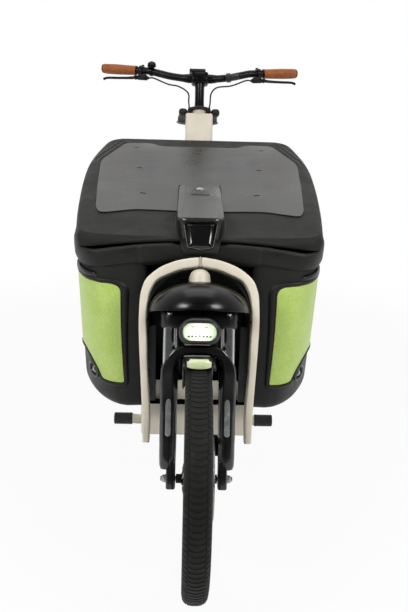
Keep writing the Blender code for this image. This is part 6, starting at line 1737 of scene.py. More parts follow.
# Half width and depth below the tread's top, from the crown down to the bead.
carcass = [(0.0, 0.0014), (0.006, 0.0015), (0.011, 0.0021), (0.0155, 0.0034), (0.0195, 0.0057)]
carcass += [(0.0230, 0.0094), (0.0256, 0.0138), (0.0273, 0.0186), (0.0282, 0.0240)]
carcass += [(0.0281, 0.0290), (0.0276, 0.0312), (0.0278, 0.0322), (0.0270, 0.0352)]
carcass += [(0.0255, 0.0385), (0.0232, 0.0418), (0.0224, 0.0424), (0.0222, 0.0436)]
carcass += [(0.0196, 0.0456), (0.0165, 0.0470)]
for word, place, radius, hub_half, body, bars in (
    ("front", FRONT_AXLE, FRONT_RADIUS, 0.0452, "front_wheel", 122),
    ("rear", REAR_AXLE, REAR_RADIUS, 0.0657, "rear_wheel", 158),
):
    work = bmesh.new()
    lathe(work, both_sides([(radius - d, x) for x, d in carcass[::-1]]), place @ ON_AXLE, 160)
    bar_shape = bmesh.new()
    pitch = 2 * math.pi * radius / bars
    for stations, lift, wide, stagger in (
        ((-15.6, -13.5, -9, -4.5, 0, 4.5, 9, 13.5, 15.6), 0.00130, 0.40, 0.0),
        ((17.4, 19.4, 22.2, 25.0, 26.4), 0.00115, 0.36, 0.5),
        ((-17.4, -19.4, -22.2, -25.0, -26.4), 0.00115, 0.36, 0.5),
    ):
        rings = []
        for i, millimetres in enumerate(stations):
            x = millimetres / 1000
            lag = pitch * stagger - 0.0052 * min(1.0, (x / 0.0156) ** 2)
            away = Vector((math.copysign(max(0.0, abs(x) - 0.012) / 0.0144, x), 1.0)).normalized()
            rise = lift * (0.35 if i in (0, len(stations) - 1) and abs(x) > 0.026 else 1.0)
            ring = []
            for share, up in ((-1, -0.0008), (-0.86, rise), (0.86, rise), (1, -0.0008)):
                turn = (lag + share * wide * pitch) / radius
                reach = radius - reading(carcass, abs(x)) + up * away.y
                ring.append((x + up * away.x, reach * math.cos(turn), reach * math.sin(turn)))
            rings.append(ring)
        skin(bar_shape, rings)
    strew(work, bar_shape, round_axle(place, bars), tyre_rubber)
    piece(
        f"{word}_tyre_and_tread", work, tyre_rubber, body, "tyre_rubber", f"{word}_tyre", sharp=38
    )

    work = bmesh.new()
    bead_r, well = radius - 0.0474, radius - 0.0660
    wall = [(bead_r, 0.0134), (bead_r - 0.0006, 0.0140), (bead_r - 0.0060, 0.0139)]
    wall += [(bead_r - 0.0110, 0.0130), (well + 0.0028, 0.0106), (well + 0.0006, 0.0072)]
    wall += [(well, 0.0040), (well, 0.0)]
    lathe(work, both_sides(wall), place @ ON_AXLE, 144)
    end = hub_half - 0.0003
    half_hub = [(0.0060, end), (0.0092, end), (0.0100, end - 0.0008), (0.0100, 0.0345)]
    half_hub += [(0.0125, 0.0325), (0.0155, 0.0312), (0.0228, 0.0305), (0.0240, 0.0298)]
    half_hub += [(0.0240, 0.0268), (0.0230, 0.0260), (0.0175, 0.0254), (0.0150, 0.0225)]
    half_hub += [(0.0140, 0.0160), (0.0136, 0.0)]
    lathe(work, both_sides(half_hub), place @ ON_AXLE, 40)
    piece(f"{word}_rim_and_hub", work, alloy_black, body, "black_anodised", f"{word}_rim", sharp=35)
    work, lace = bmesh.new(), bmesh.new()
    for k, (side, lean) in enumerate(((1, 45), (-1, 45), (1, -45), (-1, -45))):
        on_rim, in_hub = math.radians(11.25 * k), math.radians(11.25 * k + lean)
        out = Vector((side * (0.0021 if lean > 0 else -0.0021), 0, 0))
        y, z = 0.0212 * math.cos(in_hub), 0.0212 * math.sin(in_hub)
        hub_spot = Vector((side * 0.0283, y, z))
        y, z = (well + 0.001) * math.cos(on_rim), (well + 0.001) * math.sin(on_rim)
        rim_spot = Vector((side * 0.0022, y, z))
        elbow = hub_spot + out
        pipe(lace, [hub_spot - out, elbow, rim_spot], 0.0012, 6)
        pipe(lace, [rim_spot + (elbow - rim_spot).normalized() * 0.013, rim_spot], 0.0021, 6)
    strew(work, lace, round_axle(place, 8, 5.6), spoke_steel)
    valve = place @ Matrix.Rotation(math.radians(112), 4, "X") @ Matrix.Translation((0, well, 0))
    profile = [(0, 0), (0.0032, 0), (0.0032, 0.018), (0.0042, 0.0185), (0.0042, 0.030)]
    profile += [(0.0030, 0.0315), (0, 0.0315)]
    lathe(work, profile, valve @ Matrix.Rotation(math.pi / 2, 4, "X"), 14)
    piece(f"{word}_spokes_and_valve", work, spoke_steel, body, "bright_steel", sharp=40)

    disc, offset = (0.090, 0.0365) if word == "front" else (0.080, 0.0450)
    wavy = []
    for i in range(144):
        turn = 2 * math.pi * i / 144
        reach = disc - 0.0010 * (1 - math.cos(12 * turn)) / 2 - 0.0002
        wavy.append((reach * math.cos(turn), reach * math.sin(turn)))
    cuts = [arc((0, 0), 0.0110, 0, 360, 25)[:-1]]
    for i in range(6):
        start = 60 * i + 9
        window = [(*spot, 0.003) for spot in arc((0, 0), disc - 0.0145, start, start + 42, 6)]
        window += [(*spot, 0.003) for spot in arc((0, 0), 0.0285, start + 36, start + 8, 4)]
        cuts.append(eased(window, 4))
    for i in range(36):
        turn, reach = math.radians(10 * i + 3), disc - (0.0040 if i % 2 else 0.0095)
        cuts.append(arc((reach * math.cos(turn), reach * math.sin(turn)), 0.0021, 0, 360, 11)[:-1])
    plane = place @ Matrix.Translation((offset, 0, 0)) @ SIDE_ON
    cut_sheet(
        f"{word}_brake_disc", [wavy, *cuts], -0.0009, 0.0009, plane, 0.0002, rotor_steel, body,
        "bright_steel", f"{word}_brake_rotor",
    )
    work, screw = bmesh.new(), bmesh.new()
    hex_bolt(screw, Matrix.Translation((offset + 0.0009, 0.0205, 0)) @ ON_AXLE, 0.0030, 0.0020)
    strew(work, screw, round_axle(place, 6, 20), black_bolt)
    piece(f"{word}_disc_screws", work, black_bolt, body, "black_anodised", sharp=30)

# Axles: steel rods with a nut on a washer outside each dropout.
washer = [(0.0052, 0), (0.0100, 0), (0.0100, 0.0012), (0.0092, 0.0018), (0.0052, 0.0018)]
for word, place, dropout, body in (
    ("front", FRONT_AXLE, 0.0665, "fork_lower"), ("rear", REAR_AXLE, 0.0741, "frame")
):
    work = bmesh.new()
    tip = dropout + 0.0120
    pipe(work, [place @ Vector((-tip, 0, 0)), place @ Vector((tip, 0, 0))], 0.0051, 20)
    for side in (-1, 1):
        end = place @ facing_out(side * (dropout + 0.0002))
        lathe(work, washer, end, 28)
        slab(work, arc((0, 0), 0.0092, 0, 300, 6), 0.0018, 0.0080, end, 0.0006)
    piece(f"{word}_axle_and_nuts", work, bolt_steel, body, "bright_steel", f"{word}_axle", sharp=30)

# Brake calipers: two-part black alloy bodies over the discs, ribbed for cooling, on two bolts each.
for word, centre, size, disc_at, disc_r, place, wheel_place, body in (
    (
        "front", Vector((0.0380, 0.0145, 0.052)), (0.0235, 0.030, 0.046), 0.0365, 0.0917, STEER,
        FRONT_AXLE, "fork_lower",
    ),
    (
        "rear", Vector((0.0478, -0.060, 0.048)), (0.0214, 0.034, 0.044), 0.0450, 0.0817,
        REAR_AXLE, REAR_AXLE, "frame",
    ),
):
    work, slot_tool = bmesh.new(), bmesh.new()
    block(work, size, centre, place, 0.0042)
    gap = [(0, -0.0016), (disc_r, -0.0016), (disc_r, 0.0016), (0, 0.0016)]
    lathe(slot_tool, gap, wheel_place @ Matrix.Translation((disc_at, 0, 0)) @ ON_AXLE, 96)
    work = carve(work, slot_tool)
    face = size[0] / 2
    for k in range(4):
        rib = centre + Vector((face + 0.0004, 0, 0.008 * k - 0.012))
        block(work, (0.0016, size[1] * 0.62, 0.0020), rib, place, 0.0005)
    for rise in (-0.017, 0.017):
        head = Matrix.Translation(centre + Vector((face + 0.0001, 0, rise)))
        hex_bolt(work, place @ head @ ON_AXLE, 0.0030, 0.0022)
    piece(
        f"{word}_caliper_body", work, alloy_black, body, "black_anodised",
        f"{word}_brake_caliper", sharp=30,
    )

# Rear mudguard: the same blade longer, with a wire stay to each dropout, and the lamp on it: a
# black base with a red lens.
work = bmesh.new()
guard_shell(work, REAR_AXLE, REAR_GUARD_RADIUS, -15, 165, 91, 0.034, 0.014)
for side in (-1, 1):
    foot = REAR_AXLE @ Vector((side * 0.0772, 0.004, 0.014))
    turn = math.radians(28)
    head = Vector((side * 0.0342, 0.3475 * math.cos(turn), 0.3475 * math.sin(turn)))
    head = REAR_AXLE @ head
    bend = foot.lerp(head, 0.12) + Vector((side * 0.0004, 0, 0))
    pipe(work, [foot, bend, foot.lerp(head, 0.5), head], 0.0024, 10)
    hex_bolt(work, Matrix.Translation(head) @ facing_out(side * 0.0018), 0.0028, 0.0022)
piece("rear_guard", work, satin_black, "frame", "black_plastic", "rear_mudguard", sharp=45)
turn = math.radians(41.25)
lamp_reach = REAR_GUARD_RADIUS * math.cos(math.radians(3.75)) + 0.0003
lamp = REAR_AXLE @ Matrix.Translation((0, lamp_reach * math.cos(turn), lamp_reach * math.sin(turn)))
lamp = lamp @ Matrix.Rotation(turn - math.pi / 2, 4, "X")
red_lens = substance(
    "red_lens", "#7E0D0D", "#A01413", (0.08, 0.15), 25, 1.8, 0.05, Coat_Weight=1.0,
    Coat_Roughness=0.04, Emission_Strength=0.12, Emission_Color=(0.6, 0.01, 0.01, 1),
    Subsurface_Weight=0.15,
)
work = bmesh.new()
block(work, (0.050, 0.036, 0.0085), (0, 0, 0.00465), lamp, 0.003)
piece("rear_lamp_base", work, satin_black, "frame", "black_plastic", "rear_light", sharp=35)
work = bmesh.new()
rings = []
for rise, shrink in (
    (0.0075, 0.0), (0.0170, 0.0004), (0.0200, 0.0016), (0.0218, 0.0045), (0.0225, 0.0085),
):
    face = rounded(0.0238 - shrink, 0.0168 - shrink, 0.006, 5)
    rings.append([lamp @ Vector((u, v, rise)) for u, v in face])
skin(work, rings)
piece("rear_lamp_lens", work, red_lens, "frame", "red_lens", sharp=45)

# The drive: a toothed rubber belt on the right runs from the crank's alloy sprocket to the hub's.
CRANK_SPROCKET, HUB_SPROCKET, BELT_X = 0.0660, 0.0400, -0.050
CRANK_AT, HUB_AT = Vector((CRANK_BACK, CRANK_HEIGHT)), Vector((WHEELBASE, REAR_RADIUS))
for word, place, radius, teeth, body, arms, bore, inner in (
    ("front", CRANK, CRANK_SPROCKET, 46, "crank", 5, 0.0098, 0.0210),
    ("rear", REAR_AXLE, HUB_SPROCKET, 28, "freewheel", 4, 0.0104, 0.0150),
):
    plane = place @ Matrix.Translation((BELT_X, 0, 0)) @ SIDE_ON
    outlines = [arc((0, 0), radius - 0.0026, 0, 360, 73)[:-1]]
    outlines += [arc((0, 0), bore, 0, 360, 25)[:-1]]
    for i in range(arms):
        start, wide = 360 * i / arms + 12, 360 / arms - 24
        window = [(*spot, 0.003) for spot in arc((0, 0), radius - 0.0105, start, start + wide, 7)]
        window += [(*spot, 0.003) for spot in arc((0, 0), inner, start + wide - 5, start + 5, 4)]
        outlines.append(eased(window, 4))
    stands = ("rear_sprocket",) if word == "rear" else ()
    cut_sheet(
        f"{word}_sprocket_plate", outlines, -0.0026, 0.0026, plane, 0.0005, alloy_black, body,
        "black_anodised", *stands,
    )
    work, tooth = bmesh.new(), bmesh.new()
    block(tooth, (0.0058, 0.0034, 0.0040), (BELT_X, radius - 0.0019, 0), None, 0.0008, 2)
    strew(work, tooth, round_axle(place, teeth), alloy_black)
    piece(f"{word}_sprocket_teeth", work, alloy_black, body, "black_anodised", sharp=35)


def even_turns(start, end, count):
    return [mix(start, end, i / (count - 1)) for i in range(count)]


def belt_line():
    """The belt's line round both sprockets, and the way out of it at each point."""
    reach = HUB_AT - CRANK_AT
    slope = math.degrees(math.atan2(reach.y, reach.x))
    lean = math.degrees(math.acos((CRANK_SPROCKET - HUB_SPROCKET) / reach.length))
    found = []
    for centre, radius, start, end, count in (
        (CRANK_AT, CRANK_SPROCKET, slope + lean, slope + 360 - lean, 40),
        (HUB_AT, HUB_SPROCKET, slope - lean, slope + lean, 24),
    ):
        for turn in even_turns(start, end, count):
            out = Vector((math.cos(math.radians(turn)), math.sin(math.radians(turn))))
            found.append((centre + out * radius, out))
    return found


belt_rubber = substance("belt_rubber", "#121212", "#1B1B1A", (0.5, 0.66), 14, 0.3, 0.03)
work, tooth = bmesh.new(), bmesh.new()
line = belt_line()
section = [(-0.0049, 0.0022), (0.0049, 0.0022), (0.0051, 0.0030), (0.0047, 0.0046)]
section += [(-0.0047, 0.0046), (-0.0051, 0.0030)]
rings = []
for spot, out in line:
    ring = [(BELT_X + x, spot.x + out.x * rise, spot.y + out.y * rise) for x, rise in section]
    rings.append([at(*corner) for corner in ring])
skin(work, rings, closed=True)
block(tooth, (0.0096, 0.0050, 0.0016), (0, 0, 0.0015), None, 0.0006, 2)
places, carried = [], 0.0
for (spot, out), (following, out_then) in zip(line, line[1:] + line[:1]):
    stretch = (following - spot).length
    while carried < stretch:
        share = carried / stretch
        here, normal = spot.lerp(following, share), out.lerp(out_then, share).normalized()
        forward, away = Vector((0, normal.y, -normal.x)), Vector((0, normal.x, normal.y))
        places.append(squared(at(BELT_X, here.x, here.y), Vector((1, 0, 0)), forward, away))
        carried += 0.0110
    carried -= stretch
strew(work, tooth, places, belt_rubber)
piece("toothed_belt", work, belt_rubber, "frame", "tyre_rubber", "drive_belt", sharp=40)

# Cranks: forged alloy arms with a shallow groove, pressed on the axle by dust-capped bolts.
work = bmesh.new()
for side in (-1, 1):
    rings = []
    for along, wide in (
        (-0.0186, 0.0045), (-0.0172, 0.0105), (-0.0135, 0.0150), (-0.007, 0.0180), (0.0, 0.0187),
        (0.008, 0.0181), (0.018, 0.0158), (0.034, 0.0128), (0.070, 0.0113), (0.130, 0.0106),
        (0.152, 0.0118), (0.164, 0.0132), (0.171, 0.0134), (0.1775, 0.0112), (0.1815, 0.0074),
        (0.1832, 0.0028),
    ):
        ring = []
        for u, v in rounded(0.0064, wide, min(0.0040, wide * 0.8), 4):
            ring.append(CRANK @ Vector((side * (0.0675 + u), side * along, v)))
        rings.append(ring)
    skin(work, rings)
hole_tools = bmesh.new()
for side in (-1, 1):
    hole = [CRANK @ Vector((side * x, side * 0.170, 0)) for x in (0.055, 0.080)]
    pipe(hole_tools, hole, 0.0058, 24)
    block(hole_tools, (0.0030, 0.095, 0.0070), (side * 0.0745, side * 0.090, 0), CRANK, 0.0012)
work = carve(work, hole_tools)
pipe(work, [CRANK @ Vector((-0.060, 0, 0)), CRANK @ Vector((0.060, 0, 0))], 0.0118, 28)
profile = [(0, 0.0008), (0.0060, 0.0008), (0.0072, 0.0020), (0.0105, 0.0020), (0.0115, 0.0010)]
profile += [(0.0115, -0.001), (0, -0.001)]
for side in (-1, 1):
    lathe(work, profile, CRANK @ facing_out(side * 0.0738), 32)
piece("crank_arms", work, alloy_black, "crank", "black_anodised", "crankset", sharp=35)

# Pedals: moulded platforms with open cages, a knurled tread of pins and reflectors at both edges.
pin_steel = substance("pedal_pin", "#77797A", "#9C9E9E", (0.3, 0.45), 4, 0.3, 0.02, Metallic=1.0)
amber = substance(
    "amber_reflector", "#B2560B", "#CF6E14", (0.10, 0.2), 8, 1.2, 0.06, Coat_Weight=0.8
)
for word, side in (("left", 1), ("right", -1)):
    hinge = Matrix.Translation(at(side * 0.129, CRANK_BACK + side * 0.170, CRANK_HEIGHT))
    cage = [eased(four_corners(0.0480, 0.0440, 0.010))]
    for u in (-0.0255, 0.0255):
        for v in (-0.0250, 0.0250):
            cage.append(eased(four_corners(0.0150, 0.0105, 0.004, u, v), 5))
    cut_sheet(
        f"{word}_pedal_cage", cage, -0.0088, 0.0088, hinge, 0.0015, satin_black,
        f"{word}_pedal", "black_plastic", f"pedal_{word}",
    )
    work, pin = bmesh.new(), bmesh.new()
    profile = [(0, 0.0012), (0.0014, 0.0012), (0.0016, 0.0009), (0.0016, -0.0008), (0, -0.0008)]
    lathe(pin, profile, None, 8)
    spots = [(u, v) for u in (-0.040, -0.020, 0.0, 0.020, 0.040) for v in (-0.0395, 0.0395)]
    spots += [(u, v) for u in (-0.044, 0.044) for v in (-0.014, 0.014)]
    places = [hinge @ Matrix.Translation((u, v, 0.0088)) for u, v in spots]
    under = Matrix.Rotation(math.pi, 4, "X")
    places += [hinge @ Matrix.Translation((u, v, -0.0088)) @ under for u, v in spots]
    strew(work, pin, places, pin_steel)
    pipe(work, [hinge @ Vector((-side * x, 0, 0)) for x in (0.0660, 0.0475)], 0.0054, 20)
    profile = [(0, 0), (0.0085, 0), (0.0085, 0.0038), (0.0074, 0.0050), (0, 0.0050)]
    lathe(work, profile, hinge @ facing_out(-side * 0.0480), 24)
    piece(f"{word}_pedal_axle_and_pins", work, pin_steel, f"{word}_pedal", "bright_steel", sharp=35)
    work = bmesh.new()
    for v in (-1, 1):
        block(work, (0.050, 0.0022, 0.0105), (0, v * 0.0432, 0), hinge, 0.0007)
    piece(f"{word}_pedal_reflectors", work, amber, f"{word}_pedal", "brown_grip", sharp=35)

# Motor: a cast housing bolted into the frame in front of the seat tube, with a plastic cover on
# each side and cooling ribs below.
work = bmesh.new()
outline = arc((CRANK_BACK, CRANK_HEIGHT), 0.0735, 40, -120, 21)
outline += [(1.530, 0.2215), (1.514, 0.2275), (1.5120, 0.240), (1.5120, 0.300), (1.5150, 0.316)]
outline += [(1.526, 0.338), (1.540, 0.353), (1.560, 0.366), (1.579, 0.3715), (1.605, 0.3695)]
outline += [(1.631, 0.3640)]
plate(work, outline[::-1], 0.0, 0.0415, 0.006)
for k in range(7):
    turn = math.radians(-112 + 11 * k)
    back, height = CRANK_BACK + 0.0733 * math.cos(turn), CRANK_HEIGHT + 0.0733 * math.sin(turn)
    rib = Matrix.Translation(at(0, back, height)) @ Matrix.Rotation(turn, 4, "X")
    block(work, (0.060, 0.0022, 0.0022), (0, 0, 0), rib, 0.0006)
piece("motor_casting", work, alloy_black, "frame", "black_anodised", "motor_unit", sharp=35)
work = bmesh.new()
profile = [(0.0140, -0.0002), (0.0640, -0.0002), (0.0640, 0.0008), (0.0600, 0.0026)]
profile += [(0.0300, 0.0034), (0.0220, 0.0034), (0.0200, 0.0020), (0.0140, 0.0020)]
for side in (-1, 1):
    lathe(work, profile, CRANK @ facing_out(side * 0.0414), 64)
piece("motor_covers", work, satin_black, "frame", "black_plastic", sharp=30)
work = bmesh.new()
for side in (1, -1):
    screw = bmesh.new()
    hex_bolt(screw, Matrix.Translation((0, 0.0560, 0)) @ facing_out(side * 0.0440), 0.0028, 0.0014)
    strew(work, screw, round_axle(CRANK, 5, 25), black_bolt)
piece("motor_screws", work, black_bolt, "frame", "black_anodised", sharp=30)

# Battery: a moulded case in two halves on the rear beam's dock, with a rubber-lined carrying
# handle in its top, side panels and a row of level lamps.
work = bmesh.new()
case = Matrix.Translation(at(0, 1.300, 0.3593))
rings = []
for y, shrink in (
    (-0.1750, 0.010), (-0.1738, 0.0055), (-0.1705, 0.0022), (-0.165, 0.0004), (-0.158, 0.0),
    (0.158, 0.0), (0.165, 0.0004), (0.1705, 0.0022), (0.1738, 0.0055), (0.1750, 0.010),
):
    face = rounded(0.0430 - shrink, 0.0440 - shrink, 0.010 - shrink * 0.3, 6)
    rings.append([case @ Vector((u, y, v)) for u, v in face])
skin(work, rings)
tools = bmesh.new()
block(tools, (0.040, 0.090, 0.022), (0, 0.090, 0.044), case, 0.009, 4)
for side in (-1, 1):
    block(tools, (0.0030, 0.300, 0.0016), (side * 0.0436, 0, 0.0), case)
work = carve(work, tools)
for side in (-1, 1):
    for k in range(3):
        rib = (side * 0.0431, -0.010, 0.014 + 0.006 * k)
        block(work, (0.0012, 0.240, 0.0020), rib, case, 0.0005)
piece("battery_case", work, satin_black, "battery", "black_plastic", "battery_pack", sharp=30)
work = bmesh.new()
block(work, (0.018, 0.086, 0.010), (0, 0.090, 0.0375), case, 0.004, 4)
piece("battery_handle", work, wiper_rubber, "battery", "black_rubber", sharp=35)
level_green = substance(
    "level_lamp", "#5E8F2E", "#74A63C", (0.2, 0.3), 6, 0.8, 0.01, Emission_Strength=0.25,
    Emission_Color=(0.25, 0.6, 0.12, 1),
)
work, spot_lamp = bmesh.new(), bmesh.new()
profile = [(0, 0.0007), (0.0014, 0.0007), (0.0018, 0.0003), (0.0018, -0.0006), (0, -0.0006)]
lathe(spot_lamp, profile, None, 12)
places = [case @ Matrix.Translation((0.006 * k - 0.012, -0.120, 0.0440)) for k in range(5)]
strew(work, spot_lamp, places, level_green)
piece("battery_level_lamps", work, level_green, "battery", "clear_lens", sharp=35)

# The cockpit: an alloy stem in the column, a double-bend bar, leather grips, hydraulic brake
# levers, a bell, a motor remote and a small display on the stem's clamp.
BAR_MIDDLE = COLUMN.inverted() @ at(0, BAR_BACK, BAR_HEIGHT)


def handed(spot, side):
    """A place or way of the left half of the bar, taken to the side given."""
    return Vector((side * spot.x, spot.y, spot.z))


bar_black = substance(
    "bar_anodised", "#121213", "#1A1A1B", (0.24, 0.36), 30, 0.5, 0.01, Metallic=0.7
)
shafts = bmesh.new()
profile = [(0, -0.660), (0.0112, -0.660), (0.0120, -0.658), (0.0120, 0.030), (0, 0.030)]
lathe(shafts, profile, COLUMN, 32)
post_low, post_high = COLLAR_TOP + 0.0003, BAR_MIDDLE.z - 0.012
profile = [(0, post_low), (0.0165, post_low), (0.0165, post_low + 0.020)]
profile += [(0.0160, post_low + 0.024), (0.0160, post_high - 0.020)]
profile += [(0.0182, post_high - 0.010), (0.0182, post_high), (0, post_high)]
lathe(shafts, profile, COLUMN, 40)
work = bmesh.new()
rings = []
for rise, wide, deep in (
    (-0.0215, 0.0215, 0.0150), (-0.0200, 0.0262, 0.0190), (-0.0150, 0.0290, 0.0218),
    (0.0, 0.0300, 0.0230), (0.0130, 0.0292, 0.0224), (0.0178, 0.0272, 0.0202),
    (0.0200, 0.0240, 0.0170),
):
    ring = []
    for u, v in rounded(wide, deep, 0.0075, 5):
        ring.append(COLUMN @ Vector((u, BAR_MIDDLE.y + 0.002 + v, BAR_MIDDLE.z + rise)))
    rings.append(ring)
skin(work, rings)
seam_tool = bmesh.new()
block(seam_tool, (0.070, 0.0012, 0.050), (0, BAR_MIDDLE.y - 0.0105, BAR_MIDDLE.z), COLUMN)
work = carve(work, seam_tool)
add(work, shafts)
for u in (-0.021, 0.021):
    for rise in (-0.0115, 0.0115):
        face = Matrix.Translation((u, BAR_MIDDLE.y - 0.0208, BAR_MIDDLE.z + rise))
        hex_bolt(work, COLUMN @ face @ Matrix.Rotation(math.pi / 2, 4, "X"), 0.0029, 0.0026)
piece("stem_and_clamp", work, bar_black, "steering", "black_anodised", "stem", sharp=35)
work = bmesh.new()
pulley = COLUMN @ Matrix.Translation((0, 0, -0.684))
profile = [(0.0123, 0.007), (0.0440, 0.007), (0.0450, 0.0060), (0.0450, 0.0042), (0.0405, 0.0008)]
lathe(work, both_sides(profile), pulley, 56)
screw = bmesh.new()
hex_bolt(screw, Matrix.Translation((0.0210, 0, 0.0070)), 0.0032, 0.0024)
places = [pulley @ Matrix.Rotation(math.radians(90 * k), 4, "Z") for k in range(4)]
strew(work, screw, places, alloy_black)
piece(
    "handlebar_pulley_disc", work, alloy_black, "steering", "black_anodised", "handlebar_pulley",
    sharp=35,
)

work = bmesh.new()
half_bar = [at(0, BAR_BACK, BAR_HEIGHT), at(0.050, BAR_BACK, BAR_HEIGHT)]
half_bar += [at(0.100, BAR_BACK + 0.0080, BAR_HEIGHT + 0.0055)]
half_bar += [at(0.140, BAR_BACK + 0.0170, BAR_HEIGHT + 0.0135)]
half_bar += [GRIP_START + GRIP_ALONG * s for s in (-0.052, -0.030, 0.0, 0.040, 0.080, 0.116)]
bar_line = flowing([handed(p, -1) for p in half_bar[:0:-1]] + half_bar, 5)
pipe(work, bar_line, [mix(0.0155, 0.0125, clamp((abs(p.x) - 0.040) / 0.022)) for p in bar_line], 28)
piece("double_bend_bar", work, bar_black, "steering", "black_anodised", "handlebar", sharp=35)

# Grips: stitched brown leather over foam, waisted toward the inner end, a black cap at the outer.
leather = substance(
    "grip_leather", "#9E5624", "#B86A32", (0.46, 0.62), 28, 1.6, 0.16, Specular_IOR_Level=0.4,
    Sheen_Weight=0.08,
)
tree, where, sockets = inside(leather)
# Pebbles of the hide 1.6 mm across, with painted shade darkening the creases between them.
hide = put(
    tree, "ShaderNodeTexVoronoi", {"feature": "DISTANCE_TO_EDGE", "Scale": 1000 / 1.6},
    {"Vector": where},
)
crease = put(
    tree, "ShaderNodeMapRange", {"From Max": 0.12, "To Min": 0.72, "To Max": 1.0},
    {"Value": hide.outputs["Distance"]},
)
crease_shade = put(
    tree, "ShaderNodeMix", {"data_type": "RGBA", "blend_type": "MULTIPLY", 0: 1.0},
    {6: tree.nodes["shade"].outputs[2], 7: crease.outputs[0]},
)
tree.links.new(crease_shade.outputs[2], sockets["Base Color"])
thread = substance("waxed_thread", "#C08A55", "#D3A06A", (0.5, 0.65), 6, 0.3, 0.03)
for word, side in (("left", 1), ("right", -1)):
    start, end = handed(GRIP_START, side), handed(GRIP_END, side)
    # The profile is that of a grip 122.5 mm long.
    grown, way = (end - start).length / 0.1225, (end - start).normalized()
    place = across(way, start) @ Matrix.Diagonal((1, 1, grown, 1))
    below = Vector((0, 0.003, -1))
    swell = [(0.0157, 0.0048), (0.0156, 0.0100), (0.0160, 0.030), (0.0167, 0.055)]
    swell += [(0.0170, 0.075), (0.0166, 0.100), (0.0160, 0.1125)]
    profile = [(0.01275, 0.0010), (0.0142, 0.0), (0.0158, 0.0006), (0.0163, 0.0030), *swell]
    profile += [(0.0163, 0.1150), (0.0160, 0.1172), (0.0150, 0.1180), (0.01275, 0.1180)]
    work = bmesh.new()
    lathe(work, profile, place, 40)
    # The butt seam runs along the grip's underside.
    ridge = [start + way * s * grown + below.normalized() * (r - 0.0002) for r, s in swell]
    pipe(work, flowing(ridge, 3), 0.0009, 6)
    piece(f"grip_{word}_leather", work, leather, "steering", "brown_grip", f"grip_{word}", sharp=50)
    work, stitch = bmesh.new(), bmesh.new()
    loop = [(-0.0016, 0, 0), (-0.0008, 0, 0.0005), (0.0008, 0, 0.0005), (0.0016, 0, 0)]
    pipe(stitch, loop, 0.00032, 5)
    places = []
    for k in range(24):
        s = 0.010 + 0.0042 * k
        r = reading([(s1, r1) for r1, s1 in swell], s)
        for lean in (-0.19, 0.19):
            down = below + Vector((0, lean, 0))
            down = (down - way * down.dot(way)).normalized()
            sidewise = way.cross(down).normalized()
            spot = start + way * s * grown + down * (r + 0.0001)
            places.append(squared(spot, sidewise, down.cross(sidewise), down))
    strew(work, stitch, places, thread)
    piece(f"grip_{word}_stitches", work, thread, "steering", "brown_grip", sharp=50)
    work = bmesh.new()
    profile = [(0, 0.1225), (0.0110, 0.1225), (0.0138, 0.1216), (0.0148, 0.1200)]
    profile += [(0.0148, 0.1184), (0, 0.1184)]
    lathe(work, profile, place, 36)
    profile = [(0.01275, -0.0035), (0.0152, -0.0032), (0.0156, -0.0012), (0.0140, -0.0002)]
    profile += [(0.01275, -0.0002)]
    lathe(work, profile, place, 36)
    piece(f"grip_{word}_ends", work, bar_black, "steering", "black_anodised", sharp=35)

